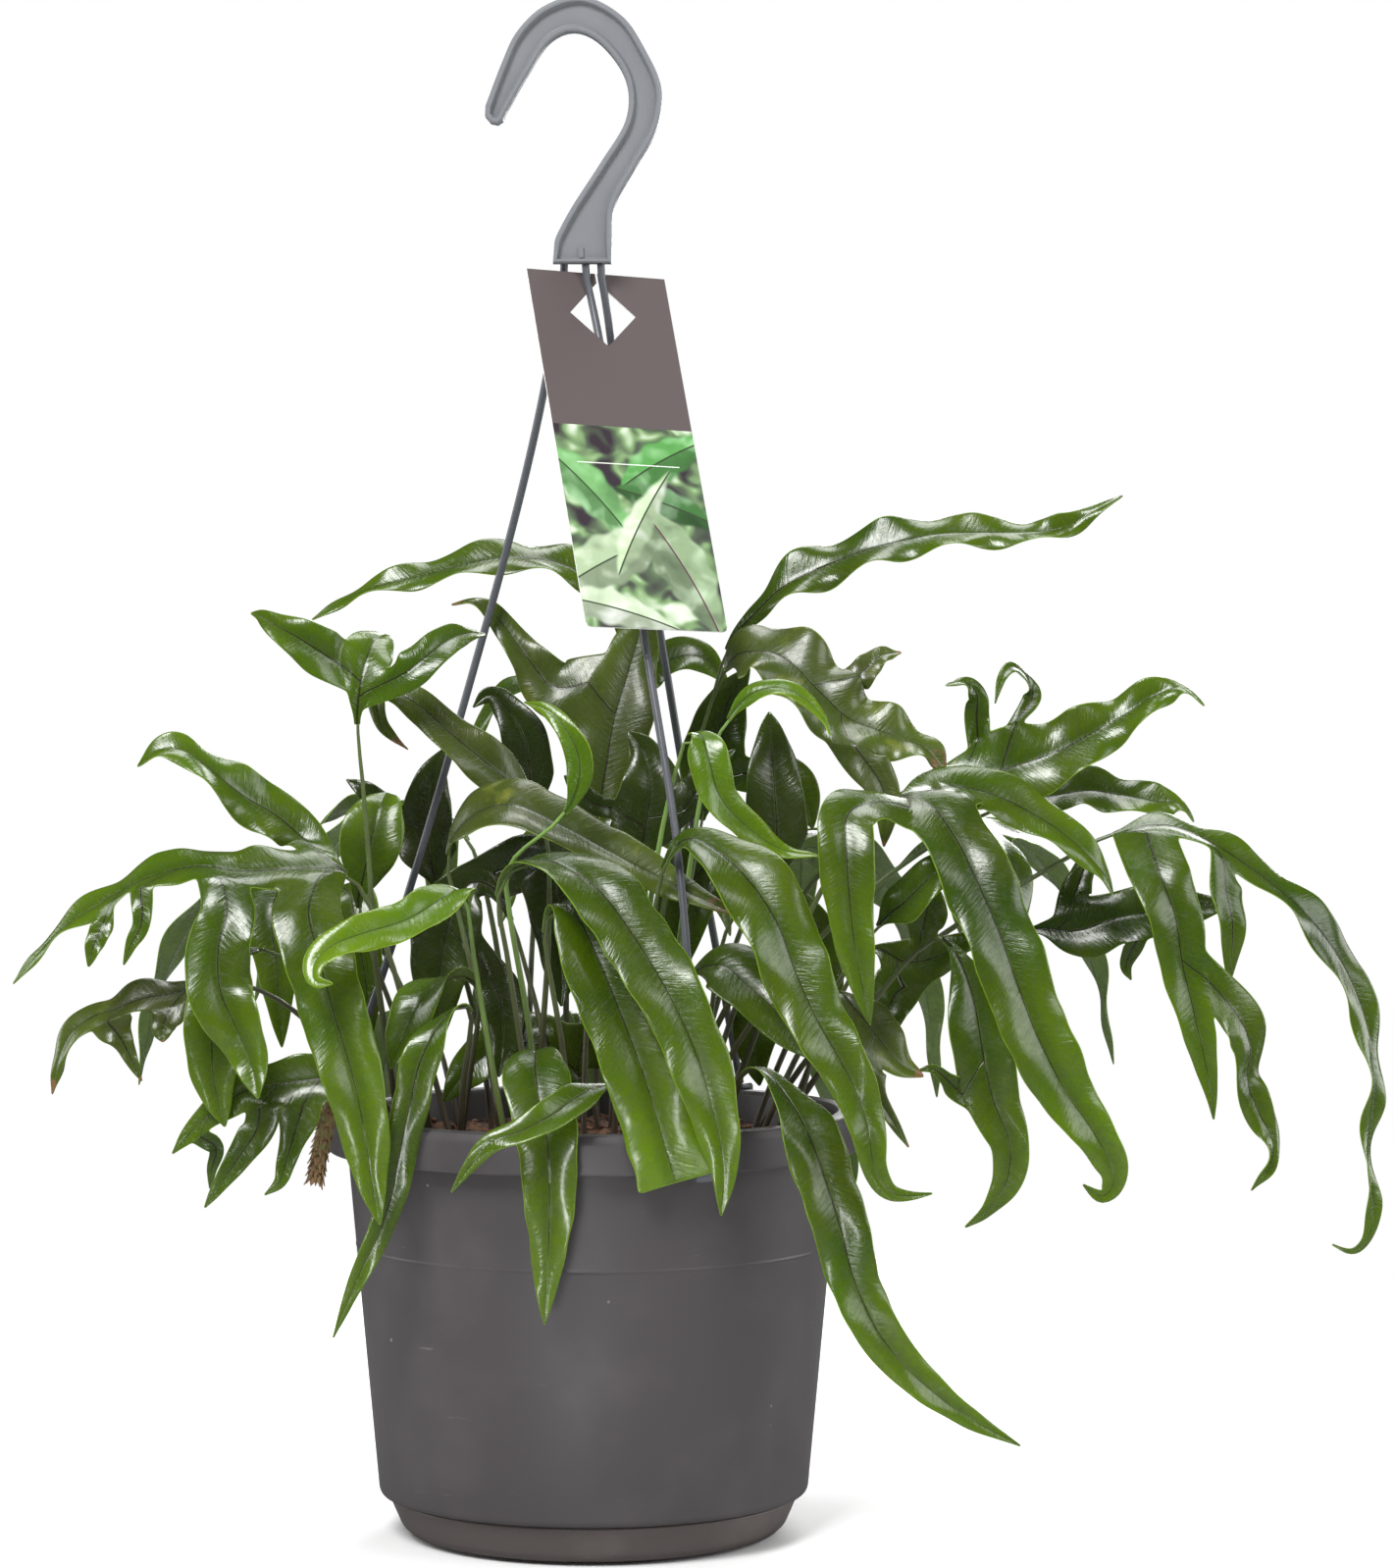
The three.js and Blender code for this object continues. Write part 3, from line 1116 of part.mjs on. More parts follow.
        face: [[-0.1, 0.5, 0.8], [0, 1, 0.3]], steps: 5, width: 19, wave: 1.4, waves: 2,
      },
    ],
  },
  back_centre: {
    stipe: [[0, 44, 147], [0, 56, 204], [2, 70, 249]],
    blade: [[4, 84, 271], [6, 106, 279], [8, 130, 266], [8, 147, 236], [8, 155, 200], [6, 158, 164]],
    face: [[0, -0.5, 0.85], [0, 0.7, 0.7], [0, 1, 0.1]], steps: 10, width: 28, wave: 1.8, waves: 4,
    lobes: [
      {
        side: 1, rows: [1, 3], path: [[24, 110, 276], [38, 108, 267], [49, 107, 251], [55, 106, 230]],
        face: [[0.1, -0.3, 0.9], [0.6, -0.7, 0.4]], steps: 5, width: 21, wave: 1.4, waves: 2,
      },
      {
        side: -1, rows: [1, 3],
        path: [[-11, 106, 278], [-25, 104, 270], [-36, 103, 254], [-42, 102, 234]],
        face: [[-0.1, -0.3, 0.9], [-0.6, -0.7, 0.4]], steps: 5, width: 21, wave: 1.4, waves: 2,
      },
    ],
  },
  back_right: {
    stipe: [[34, 40, 147], [47, 43, 199], [62, 53, 244]],
    blade: [
      [76, 66, 267], [96, 84, 274], [116, 102, 258], [132, 116, 228], [140, 124, 194], [143, 127, 160],
    ],
    face: [[-0.4, -0.4, 0.8], [0.5, 0.5, 0.7], [0.7, 0.7, 0.1]], steps: 10, width: 26, wave: 2, waves: 4,
    lobes: [
      {
        side: -1, rows: [3, 5], path: [[88, 111, 268], [85, 127, 252], [84, 136, 231], [84, 140, 210]],
        face: [[0.1, 0.6, 0.8], [0.1, 1, 0.2]], steps: 5, width: 18, wave: 1.2, waves: 2,
      },
    ],
  },
  back_low_left: {
    stipe: [[-54, 44, 147], [-60, 52, 172]], stalkSteps: 2,
    blade: [
      [-66, 62, 190], [-76, 78, 200], [-86, 95, 190], [-93, 105, 164], [-97, 109, 134], [-100, 111, 102],
    ],
    face: [[0.4, -0.4, 0.8], [-0.5, 0.7, 0.6], [-0.6, 0.8, 0.1]], steps: 9, width: 25, wave: 1.4,
    waves: 4,
  },
  back_low_right: {
    stipe: [[50, 50, 147], [56, 54, 171]], stalkSteps: 2,
    blade: [[65, 60, 190], [78, 71, 200], [90, 86, 190], [98, 98, 164], [102, 104, 132], [104, 106, 96]],
    face: [[-0.4, -0.4, 0.8], [0.6, 0.6, 0.6], [0.7, 0.7, 0.1]], steps: 9, width: 24, wave: 1.4, waves: 4,
  },
  back_low_centre: {
    stipe: [[-6, 62, 147], [-8, 71, 172]], stalkSteps: 2,
    blade: [[-8, 83, 191], [-8, 99, 198], [-8, 114, 185], [-8, 122, 158], [-6, 125, 126], [-4, 126, 92]],
    face: [[0, -0.5, 0.85], [0, 0.8, 0.6], [0, 1, 0.1]], steps: 9, width: 26, wave: 1.4, waves: 4,
  },
  back_far_left: {
    stipe: [[-56, 20, 147], [-70, 28, 194], [-88, 38, 232]],
    blade: [
      [-104, 46, 252], [-128, 56, 260], [-152, 64, 252], [-172, 70, 230], [-184, 74, 200],
      [-190, 76, 170],
    ],
    face: [[0.5, -0.2, 0.8], [-0.5, 0.3, 0.8], [-0.9, 0.3, 0.2]], steps: 10, width: 26, wave: 2, waves: 4,
    lobes: [
      {
        side: -1, rows: [2, 4],
        path: [[-128, 31, 256], [-130, 21, 244], [-127, 15, 221], [-125, 13, 191]],
        face: [[-0.3, -0.6, 0.8], [0, -1, 0.1]], steps: 6, width: 24, wave: 1.4, waves: 2,
      },
      {
        side: -1, rows: [0, 1], path: [[-99, 26, 252], [-96, 19, 240], [-92, 16, 220], [-89, 15, 196]],
        face: [[0, -0.7, 0.7], [0, -1, 0.1]], steps: 6, width: 24, wave: 1.4, waves: 2,
      },
    ],
  },
  back_far_right: {
    stipe: [[60, 24, 147], [80, 34, 196], [104, 44, 236]],
    blade: [
      [122, 52, 260], [146, 62, 276], [170, 70, 274], [192, 76, 250], [206, 80, 216], [214, 82, 178],
    ],
    face: [[-0.5, -0.2, 0.8], [0.5, 0.3, 0.8], [0.9, 0.3, 0.2]], steps: 10, width: 26, wave: 2, waves: 4,
    lobes: [
      {
        side: 1, rows: [3, 4], path: [[160, 38, 277], [166, 26, 268], [170, 18, 250], [172, 14, 226]],
        face: [[0.3, -0.2, 0.9], [0.8, -0.4, 0.3]], steps: 5, width: 24, wave: 1.4, waves: 2,
      },
      {
        side: -1, rows: [2, 3], path: [[151, 90, 274], [151, 104, 256], [152, 112, 230]],
        face: [[0.1, 0.4, 0.9], [0.2, 0.9, 0.3]], steps: 5, width: 17, wave: 1.4, waves: 2,
      },
    ],
  },
  back_high: {
    stipe: [[-12, 30, 147], [-12, 41, 224], [-11, 52, 282]], stalkSteps: 4,
    blade: [[-9, 62, 311], [-5, 80, 332], [-1, 102, 337], [3, 123, 323], [5, 138, 295], [6, 146, 262]],
    face: [[0, -0.4, 0.9], [0, 0.5, 0.8], [0, 1, 0.2]], steps: 10, width: 27, wave: 2.2, waves: 4,
    lobes: [
      {
        side: 1, rows: [2, 4], path: [[17, 92, 339], [29, 88, 346], [42, 84, 347], [54, 80, 336]],
        face: [[0.1, -0.6, 0.8], [0.3, -0.9, 0.3]], steps: 5, width: 23, wave: 1.4, waves: 2,
      },
      {
        side: -1, rows: [2, 4], path: [[-19, 88, 336], [-33, 84, 335], [-45, 81, 325], [-52, 79, 310]],
        face: [[-0.1, 0, 1], [-0.6, -0.6, 0.5]], steps: 5, width: 19, wave: 1.4, waves: 2,
      },
    ],
  },
};

const YOUNG = ["bright_narrow", "bright_hook", "bright_fold", "bright_crossing"];
const OLD = [
  "dark_centre", "dark_pair", "right_dark", "left_dark", "centre_dark", "shade_centre",
  "shadow_right", "grey_right", "inner_left", "inner_right", "inner_low", "inner_high",
];

// ---- the plant in its pot ----
addMesh("pot", makePot(), "potPlastic");
addMesh("saucer", makeSaucer(), "saucerPlastic");
const rhizomeHole = tube(RHIZOME.slice(0, 2).concat([[-84, -45, 180]]), 4.4, 8, 4);
const holes = [...Object.values(FRONDS).map(rootHole), rhizomeHole];
addMesh("soil", makeSoil(holes), "soil");
addMesh("rhizome_tip", makeRhizome(), "rhizome");
for (const [name, frond] of Object.entries(FRONDS)) {
  const finish = YOUNG.includes(name) ? "youngLeaf" : OLD.includes(name) ? "oldLeaf" : "leaf";
  addMesh(`frond_${name}`, makeFrond(frond), finish);
}
addMesh("hanger_hook", makeHook(), "hangerPlastic");
for (const [name, points] of Object.entries(RODS)) {
  addMesh(`hanger_rod_${name}`, makeRod(points), "hangerPlastic");
}
addMesh("care_tag", makeTag(), "card");

export default group;
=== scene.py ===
"""A kangaroo paw fern in its hanging pot, dressed for a studio picture.

Lengths are millimetres, as in the part's own drawing, and finish_mesh scales every mesh to metres. Only the
lamps and the camera are placed in metres.
"""

from __future__ import annotations

import logging
import math
import random
from bisect import bisect_right
from dataclasses import dataclass, field
from enum import Enum

import bmesh
import bpy
from mathutils import Matrix, Vector, noise

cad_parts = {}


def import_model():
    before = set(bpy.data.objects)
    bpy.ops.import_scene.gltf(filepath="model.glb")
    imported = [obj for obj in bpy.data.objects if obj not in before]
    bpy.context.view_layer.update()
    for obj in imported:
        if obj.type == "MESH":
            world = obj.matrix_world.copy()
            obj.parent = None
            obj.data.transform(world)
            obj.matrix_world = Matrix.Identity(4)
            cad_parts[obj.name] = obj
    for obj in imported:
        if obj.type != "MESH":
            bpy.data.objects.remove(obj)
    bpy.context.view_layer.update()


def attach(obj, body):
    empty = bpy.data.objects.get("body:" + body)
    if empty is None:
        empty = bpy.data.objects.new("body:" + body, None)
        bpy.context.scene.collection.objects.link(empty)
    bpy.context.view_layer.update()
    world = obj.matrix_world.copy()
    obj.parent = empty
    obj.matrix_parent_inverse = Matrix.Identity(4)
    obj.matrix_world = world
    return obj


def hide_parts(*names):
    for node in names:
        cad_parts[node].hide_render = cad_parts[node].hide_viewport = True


log = logging.getLogger("fern")

Point = tuple[float, float, float]
Outline = list[tuple[float, float]]
Colour = tuple[float, float, float]
Mesh = bmesh.types.BMesh
Rows = list[list[bmesh.types.BMVert]]
Material = bpy.types.Material
Socket = bpy.types.NodeSocket

MM = 0.001  # metres in a millimetre
WELD = 0.001  # vertices of a spun profile that are closer than this are one
FULL_TURN = 2 * math.pi
ASIDE = (0.31, 0.17, 0.93)  # a direction that no swept line follows


def ease(x: float) -> float:
    """A smooth step from 0 to 1."""
    t = min(max(x, 0.0), 1.0)
    return t * t * (3 - 2 * t)


def shade(colour: Colour, factor: float) -> Colour:
    """A colour made darker or lighter."""
    return tuple(c * factor for c in colour)


def rgba(colour: Colour) -> tuple[float, float, float, float]:
    """A colour with full alpha."""
    return (*colour, 1.0)


# ---- mesh helpers ----
def add_object(name: str, data: bpy.types.ID) -> bpy.types.Object:
    """Adds an object for its data to the scene."""
    made = bpy.data.objects.new(name, data)
    bpy.context.scene.collection.objects.link(made)
    return made


def finish_mesh(
    bm: Mesh, name: str, materials: list[Material], smooth: bool = True, sharp: float = 38.0,
) -> bpy.types.Object:
    """Makes a piece of a bmesh that is in millimetres.

    Args:
        bm: The mesh, which is freed.
        name: The piece's name.
        materials: Its material slots.
        smooth: Whether its faces are shaded smooth.
        sharp: The angle in degrees from which an edge stays sharp all the same.

    Returns:
        The piece.
    """
    bmesh.ops.scale(bm, vec=(MM, MM, MM), verts=bm.verts)
    for face in bm.faces:
        face.smooth = smooth
    mesh = bpy.data.meshes.new(name)
    bm.to_mesh(mesh)
    bm.free()
    if smooth:
        mesh.set_sharp_from_angle(angle=math.radians(sharp))
    for material in materials:
        mesh.materials.append(material)
    return add_object(name, mesh)


def dress(piece: bpy.types.Object, slot: str, *nodes: str) -> None:
    """Lets a piece ride on the part and stand for its nodes.

    Args:
        piece: The piece.
        slot: The record's slot; not used.
        nodes: The part's nodes that the piece stands for.
    """
    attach(piece, "root")
    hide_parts(*nodes)
    log.info("%s: %d faces, for %s", piece.name, len(piece.data.polygons), ", ".join(nodes))


def add_modifier(piece: bpy.types.Object, kind: str, **settings: object) -> None:
    """Adds a modifier."""
    modifier = piece.modifiers.new(kind.title(), kind)
    for key, value in settings.items():
        setattr(modifier, key, value)


def rounded(points: Outline, radius: float, steps: int = 3) -> Outline:
    """An open outline with its inner corners rounded.

    Args:
        points: The outline's corners.
        radius: The largest radius of a corner.
        steps: How many segments a corner gets.

    Returns:
        The rounded outline, which keeps its two ends.
    """
    out = [points[0]]
    for before, corner, after in zip(points, points[1:], points[2:]):
        a, b, c = Vector(before), Vector(corner), Vector(after)
        reach = min(radius, (a - b).length * 0.45, (c - b).length * 0.45)
        start, end = b + (a - b).normalized() * reach, b + (c - b).normalized() * reach
        for i in range(steps + 1):
            t = i / steps
            spot = start.lerp(b, t).lerp(b.lerp(end, t), t)
            out.append((spot.x, spot.y))
    return [*out, points[-1]]


def spin_profile(bm: Mesh, profile: Outline, steps: int) -> None:
    """Spins a profile all round the vertical axis and closes it.

    Args:
        bm: The mesh that the body goes into.
        profile: The profile's points as (radius, height).
        steps: How many segments go round.
    """
    verts = [bm.verts.new((r, 0, z)) for r, z in profile]
    edges = [bm.edges.new(pair) for pair in zip(verts, verts[1:])]
    bmesh.ops.spin(
        bm, geom=[*verts, *edges], cent=(0, 0, 0), axis=(0, 0, 1), dvec=(0, 0, 0),
        angle=FULL_TURN, steps=steps, use_merge=True,
    )
    bmesh.ops.remove_doubles(bm, verts=bm.verts, dist=WELD)
    bmesh.ops.recalc_face_normals(bm, faces=bm.faces)


def thicken(bm: Mesh, face: bmesh.types.BMFace, shift: Point) -> None:
    """Extrudes a flat outline into a closed plate.

    Args:
        bm: The mesh that holds only the outline.
        face: The outline's face.
        shift: The way from the face to its copy.
    """
    grown = bmesh.ops.extrude_face_region(bm, geom=[face], use_keep_orig=True)["geom"]
    moved = [g for g in grown if isinstance(g, bmesh.types.BMVert)]
    bmesh.ops.translate(bm, verts=moved, vec=shift)
    bmesh.ops.recalc_face_normals(bm, faces=bm.faces)


# ---- lines through space ----
class Line:
    """A smooth curve through points, read by its share of the whole length."""

    SPAN = 24  # measured steps between two points
    NUDGE = 1e-4  # how far to both sides a direction is taken

    def __init__(self, points: list[Point]) -> None:
        """Measures the curve through the points."""
        self.points = [Vector(p) for p in points]
        count = self.SPAN * (len(points) - 1)
        spots = [self.at(i / count) for i in range(count + 1)]
        self.lengths = [0.0]
        for a, b in zip(spots, spots[1:]):
            self.lengths.append(self.lengths[-1] + (b - a).length)

    @property
    def length(self) -> float:
        """The curve's whole length."""
        return self.lengths[-1]

    def at(self, t: float) -> Vector:
        """Reads the curve by the number of its points.

        Args:
            t: The place from 0 to 1, where each span between two points takes the same share.

        Returns:
            The point there.
        """
        p, last = self.points, len(self.points) - 1
        place = min(max(t, 0.0), 1.0) * last
        i = min(int(place), last - 1)
        w = place - i
        before = p[i - 1] if i else p[0] * 2 - p[1]
        after = p[i + 2] if i + 2 <= last else p[last] * 2 - p[last - 1]
        t0, t1 = (p[i + 1] - before) * 0.5, (after - p[i]) * 0.5
        c2 = p[i] * -3 + p[i + 1] * 3 - t0 * 2 - t1
        c3 = p[i] * 2 - p[i + 1] * 2 + t0 + t1
        return p[i] + t0 * w + c2 * w * w + c3 * w * w * w

    def to_t(self, share: float) -> float:
        """The t of a share of the length."""
        target = share * self.length
        i = min(max(bisect_right(self.lengths, target) - 1, 0), len(self.lengths) - 2)
        step = self.lengths[i + 1] - self.lengths[i]
        return (i + (target - self.lengths[i]) / max(step, 1e-9)) / (len(self.lengths) - 1)

    def point(self, share: float) -> Vector:
        """The point at a share of the length."""
        return self.at(self.to_t(share))

    def tangent(self, share: float) -> Vector:
        """The direction at a share of the length."""
        t = self.to_t(share)
        return (self.at(min(t + self.NUDGE, 1)) - self.at(max(t - self.NUDGE, 0))).normalized()

    def share_at(self, index: int) -> float:
        """The share of the length at which a point of the list lies."""
        return self.lengths[self.SPAN * index] / self.length


def sweep_tube(bm: Mesh, line: Line, radii: list[float], sides: int) -> None:
    """Sweeps a round section along a line, with closed ends.

    Args:
        bm: The mesh that the tube goes into.
        line: The tube's middle.
        radii: The radius of each ring, evenly spaced from end to end.
        sides: How many sides the section has.
    """
    ring = bmesh.ops.create_circle(bm, cap_ends=True, segments=sides, radius=1)["verts"]
    home = [v.co.copy() for v in ring]
    edges = list(next(f for f in ring[0].link_faces).edges)
    up = Vector(ASIDE).cross(line.tangent(0)).normalized()
    for i, radius in enumerate(radii):
        share = i / (len(radii) - 1)
        along = line.tangent(share)
        up = (up - along * up.dot(along)).normalized()
        turn = Matrix((up, along.cross(up), along)).transposed()
        if i:
            grown = bmesh.ops.extrude_edge_only(bm, edges=edges)["geom"]
            new = [g for g in grown if isinstance(g, bmesh.types.BMVert)]
            ring = [next(e.other_vert(v) for e in v.link_edges if e.other_vert(v) in new) for v in ring]
            lines = [g for g in grown if isinstance(g, bmesh.types.BMEdge)]
            edges = [edge for edge in lines if all(v in new for v in edge.verts)]
        centre = line.point(share)
        for vert, spot in zip(ring, home):
            vert.co = centre + turn @ (spot * radius)
    bmesh.ops.contextual_create(bm, geom=edges)


# ---- finishes ----
class Board:
    """A node tree whose nodes are added by short calls."""

    def __init__(self, tree: bpy.types.NodeTree) -> None:
        """Keeps the tree's nodes and links."""
        self.nodes, self.links = tree.nodes, tree.links

    def add(self, kind: str, inputs: dict | None = None, **settings: object) -> bpy.types.Node:
        """Adds a node.

        Args:
            kind: The node's type without its ShaderNode prefix.
            inputs: Socket name or number to a value or to another socket.
            settings: The node's own properties.

        Returns:
            The node.
        """
        node = self.nodes.new("ShaderNode" + kind)
        for key, value in settings.items():
            setattr(node, key, value)
        for key, value in (inputs or {}).items():
            self.feed(node.inputs[key], value)
        return node

    def feed(self, socket: Socket, value: object) -> None:
        """Joins a socket to another one, or sets its value."""
        if isinstance(value, Socket):
            self.links.new(value, socket)
        else:
            socket.default_value = value

    def math(self, operation: str, *values: object) -> Socket:
        """The result of a Math node."""
        return self.add("Math", dict(enumerate(values)), operation=operation).outputs[0]

    def scaled(self, value: Socket, factor: float) -> Socket:
        """A value times a factor."""
        return self.math("MULTIPLY", value, factor)

    def remap(
        self, value: object, low: object, high: object, start: object = 0.0, end: object = 1.0, **settings,
    ) -> Socket:
        """Brings a value from one range to another and keeps it there."""
        ends = {"Value": value, "From Min": low, "From Max": high, "To Min": start, "To Max": end}
        return self.add("MapRange", ends, **settings).outputs[0]

    def fade(self, value: object, full: object, none: object) -> Socket:
        """A soft mask that is 1 up to full and 0 from none on."""
        return self.remap(value, full, none, 1.0, 0.0, interpolation_type="SMOOTHSTEP")

    def split(self, vector: Socket) -> tuple[Socket, Socket, Socket]:
        """The three parts of a vector."""
        return tuple(self.add("SeparateXYZ", {0: vector}).outputs)

    def clouds(self, vector: Socket, scale: object, detail: float, **more: float) -> Socket:
        """The value of a noise texture."""
        inputs = {"Vector": vector, "Scale": scale, "Detail": detail, **more}
        return self.add("TexNoise", inputs).outputs["Fac"]

    def mix(self, factor: object, a: object, b: object) -> Socket:
        """Mixes two colours or colour sockets.

        Args:
            factor: How much of the second is taken.
            a: The first colour.
            b: The second colour.

        Returns:
            The mixed colour.
        """
        node = self.add("Mix", {"Factor": factor}, data_type="RGBA")
        for number, value in ((6, a), (7, b)):
            self.feed(node.inputs[number], value if isinstance(value, Socket) else rgba(value))
        return node.outputs[2]


class Tree(Board):
    """A material's nodes, which end in one shader."""

    def __init__(self, name: str) -> None:
        """Starts a material with an empty tree and its output."""
        self.material = bpy.data.materials.new(name)
        self.material.use_nodes = True
        super().__init__(self.material.node_tree)
        self.nodes.clear()
        self.output = self.nodes.new("ShaderNodeOutputMaterial")

    def where(self) -> Socket:
        """The place on the piece."""
        return self.add("TexCoord").outputs["Object"]

    def layer(self, name: str) -> Socket:
        """The place on one of the piece's own maps."""
        return self.add("UVMap", uv_map=name).outputs[0]

    def bump(self, height: Socket, strength: float, distance: float) -> Socket:
        """A normal that follows a height."""
        inputs = {"Height": height, "Strength": strength, "Distance": distance}
        return self.add("Bump", inputs).outputs[0]

    def surface(self, **inputs: object) -> Material:
        """Adds the shader and joins it to the output."""
        shader = self.add("BsdfPrincipled", {key.replace("_", " "): value for key, value in inputs.items()})
        self.links.new(shader.outputs[0], self.output.inputs["Surface"])
        return self.material


class Group(Board):
    """A node group with named inputs and outputs."""

    def __init__(self, name: str, inputs: dict[str, float | None], outputs: tuple[str, ...]) -> None:
        """Makes the group's sockets.

        Args:
            name: The group's name.
            inputs: Each input's value if nothing is joined to it, or None for a vector.
            outputs: The names of its results.
        """
        self.tree = bpy.data.node_groups.new(name, "ShaderNodeTree")
        super().__init__(self.tree)
        for key, value in inputs.items():
            kind = "NodeSocketVector" if value is None else "NodeSocketFloat"
            socket = self.tree.interface.new_socket(key, in_out="INPUT", socket_type=kind)
            if value is not None:
                socket.default_value = value
        for key in outputs:
            self.tree.interface.new_socket(key, in_out="OUTPUT", socket_type="NodeSocketFloat")
        self.source = self.nodes.new("NodeGroupInput").outputs
        self.sink = self.nodes.new("NodeGroupOutput").inputs

    def put(self, name: str, socket: Socket) -> None:
        """Joins a socket to one of the group's outputs."""
        self.links.new(socket, self.sink[name])

    def place(self, tree: Tree, **inputs: object) -> bpy.types.bpy_prop_collection:
        """Places the group in a material."""
        return tree.add("Group", inputs, node_tree=self.tree).outputs


@dataclass(frozen=True)
class Veins:
    """The drawing of a leaf's rib, side veins and fine ripples, in centimetres.

    Span is across and along the blade. Branch is the distance from a forking rib and the share of the way to
    the tip.
    """

    rib: float = 0.037
    taper: float = 1.2
    soft: tuple[float, float] = (0.55, 1.3)
    # glint_at, painted_glint and broken set the painted highlight beside the rib: how far out it runs, how
    # soft it is and where it breaks.
    glint_at: float = 1.45
    painted_glint: tuple[float, float] = (0.004, 0.022)
    drift: float = 0.45
    broken: tuple[float, float] = (0.45, 0.75)
    slant: float = -0.6
    wander: float = 0.5
    rows: float = 1.4
    vein: tuple[float, float] = (0.01, 0.07)
    ripple: tuple[float, float] = (1.3, 6.5)
    cells: float = 3.2
    cell_line: float = 0.07
    near: float = 0.7
    net_height: float = -0.05
    rib_height: float = -1.2

    def group(self) -> Group:
        """Builds the group.

        Returns:
            The group, with masks of the rib, the painted highlight beside it, the zone near it where the
            leaf is given painted shade, and the net of veins, and with the height of the surface.
        """
        group = Group(
            "leaf_veins", {"Span": None, "Branch": None, "Rib": self.rib},
            ("Rib", "Glint", "Near", "Net", "Height"),
        )
        span = group.source["Span"]
        x, y, _ = group.split(span)
        fork, share, _ = group.split(group.source["Branch"])
        across = group.math("ABSOLUTE", x)
        nearest = group.math("MINIMUM", across, group.math("ABSOLUTE", fork))
        half = group.math("MULTIPLY", group.source["Rib"], group.math("SUBTRACT", self.taper, share))
        rib = group.fade(nearest, *(group.scaled(half, edge) for edge in self.soft))
        # Painted highlight: a thin pale line just beside the rib, broken by soft clouds.
        side = group.math("SUBTRACT", nearest, group.scaled(half, self.glint_at))
        line = group.fade(group.math("ABSOLUTE", side), *self.painted_glint)
        drift = group.clouds(span, self.drift, 2.0)
        slant = group.math("MULTIPLY_ADD", across, self.slant, y)
        bent = group.math("MULTIPLY_ADD", drift, self.wander, slant)
        comb = group.math("SUBTRACT", group.math("FRACT", group.scaled(bent, self.rows)), 0.5)
        veins = group.fade(group.math("ABSOLUTE", comb), *self.vein)
        stretch = {0: group.scaled(across, self.ripple[0]), 1: group.scaled(slant, self.ripple[1])}
        ripple = group.clouds(group.add("CombineXYZ", stretch).outputs[0], 1.0, 3.0, Roughness=0.6)
        cells = group.add("TexVoronoi", {"Vector": span, "Scale": self.cells}, feature="DISTANCE_TO_EDGE")
        net = group.math("MAXIMUM", group.fade(cells.outputs["Distance"], 0.0, self.cell_line), veins)
        waves = group.math("MULTIPLY_ADD", net, self.net_height, ripple)
        group.put("Rib", rib)
        group.put("Glint", group.math("MULTIPLY", line, group.remap(drift, *self.broken)))
        # Near marks the zone along the rib that the upper side darkens as painted shade.
        group.put("Near", group.fade(nearest, 0.0, self.near))
        group.put("Net", net)
        group.put("Height", group.math("MULTIPLY_ADD", rib, self.rib_height, waves))
        return group


def make_mottle_group() -> Group:
    """Makes three sizes of soft mottling, whose scales are inputs.

    Returns:
        The group, with the values Tone, Large and Small.
    """
    scales = {"Tone": 9.0, "Large": 30.0, "Small": 320.0}
    group = Group("mottle", {"Vector": None, **scales}, tuple(scales))
    for name, detail in zip(scales, (1.0, 3.0, 4.0)):
        cloud = group.clouds(group.source["Vector"], group.source[name], detail)
        group.put(name, group.remap(cloud, 0.32, 0.68))
    return group


@dataclass(frozen=True)
class Scuffs:
    """Fine scratches, rubbed patches and specks of dust."""

    scratch: tuple[float, float] = (0.66, 0.76)
    stretch: Point = (40.0, 40.0, 420.0)
    tilt: Point = (0.35, 0.2, 0.0)
    rub_scale: float = 22.0
    rub: tuple[float, float] = (0.5, 0.8)
    speck_scale: float = 130.0
    speck: tuple[float, float] = (0.05, 0.12)
    rare: float = 0.94

    def group(self) -> Group:
        """Builds the group.

        Returns:
            The group, with the masks Scratch, Rub and Speck.
        """
        group = Group("scuffs", {"Vector": None, "Amount": 0.5}, ("Scratch", "Rub", "Speck"))
        vector, amount = group.source["Vector"], group.source["Amount"]
        mapping = group.add("Mapping", {"Vector": vector, "Scale": self.stretch, "Rotation": self.tilt})
        lines = group.clouds(mapping.outputs[0], 1.0, 6.0, Roughness=0.7)
        patches = group.clouds(vector, self.rub_scale, 8.0, Roughness=0.65)
        dots = group.add("TexVoronoi", {"Vector": vector, "Scale": self.speck_scale})
        pick = group.add("SeparateColor", {0: dots.outputs["Color"]}).outputs[0]
        near = group.remap(dots.outputs["Distance"], *self.speck, 1.0, 0.0)
        group.put("Scratch", group.math("MULTIPLY", group.remap(lines, *self.scratch), amount))
        group.put("Rub", group.math("MULTIPLY", group.remap(patches, *self.rub), amount))
        group.put("Speck", group.math("MULTIPLY", near, group.math("GREATER_THAN", pick, self.rare)))
        return group


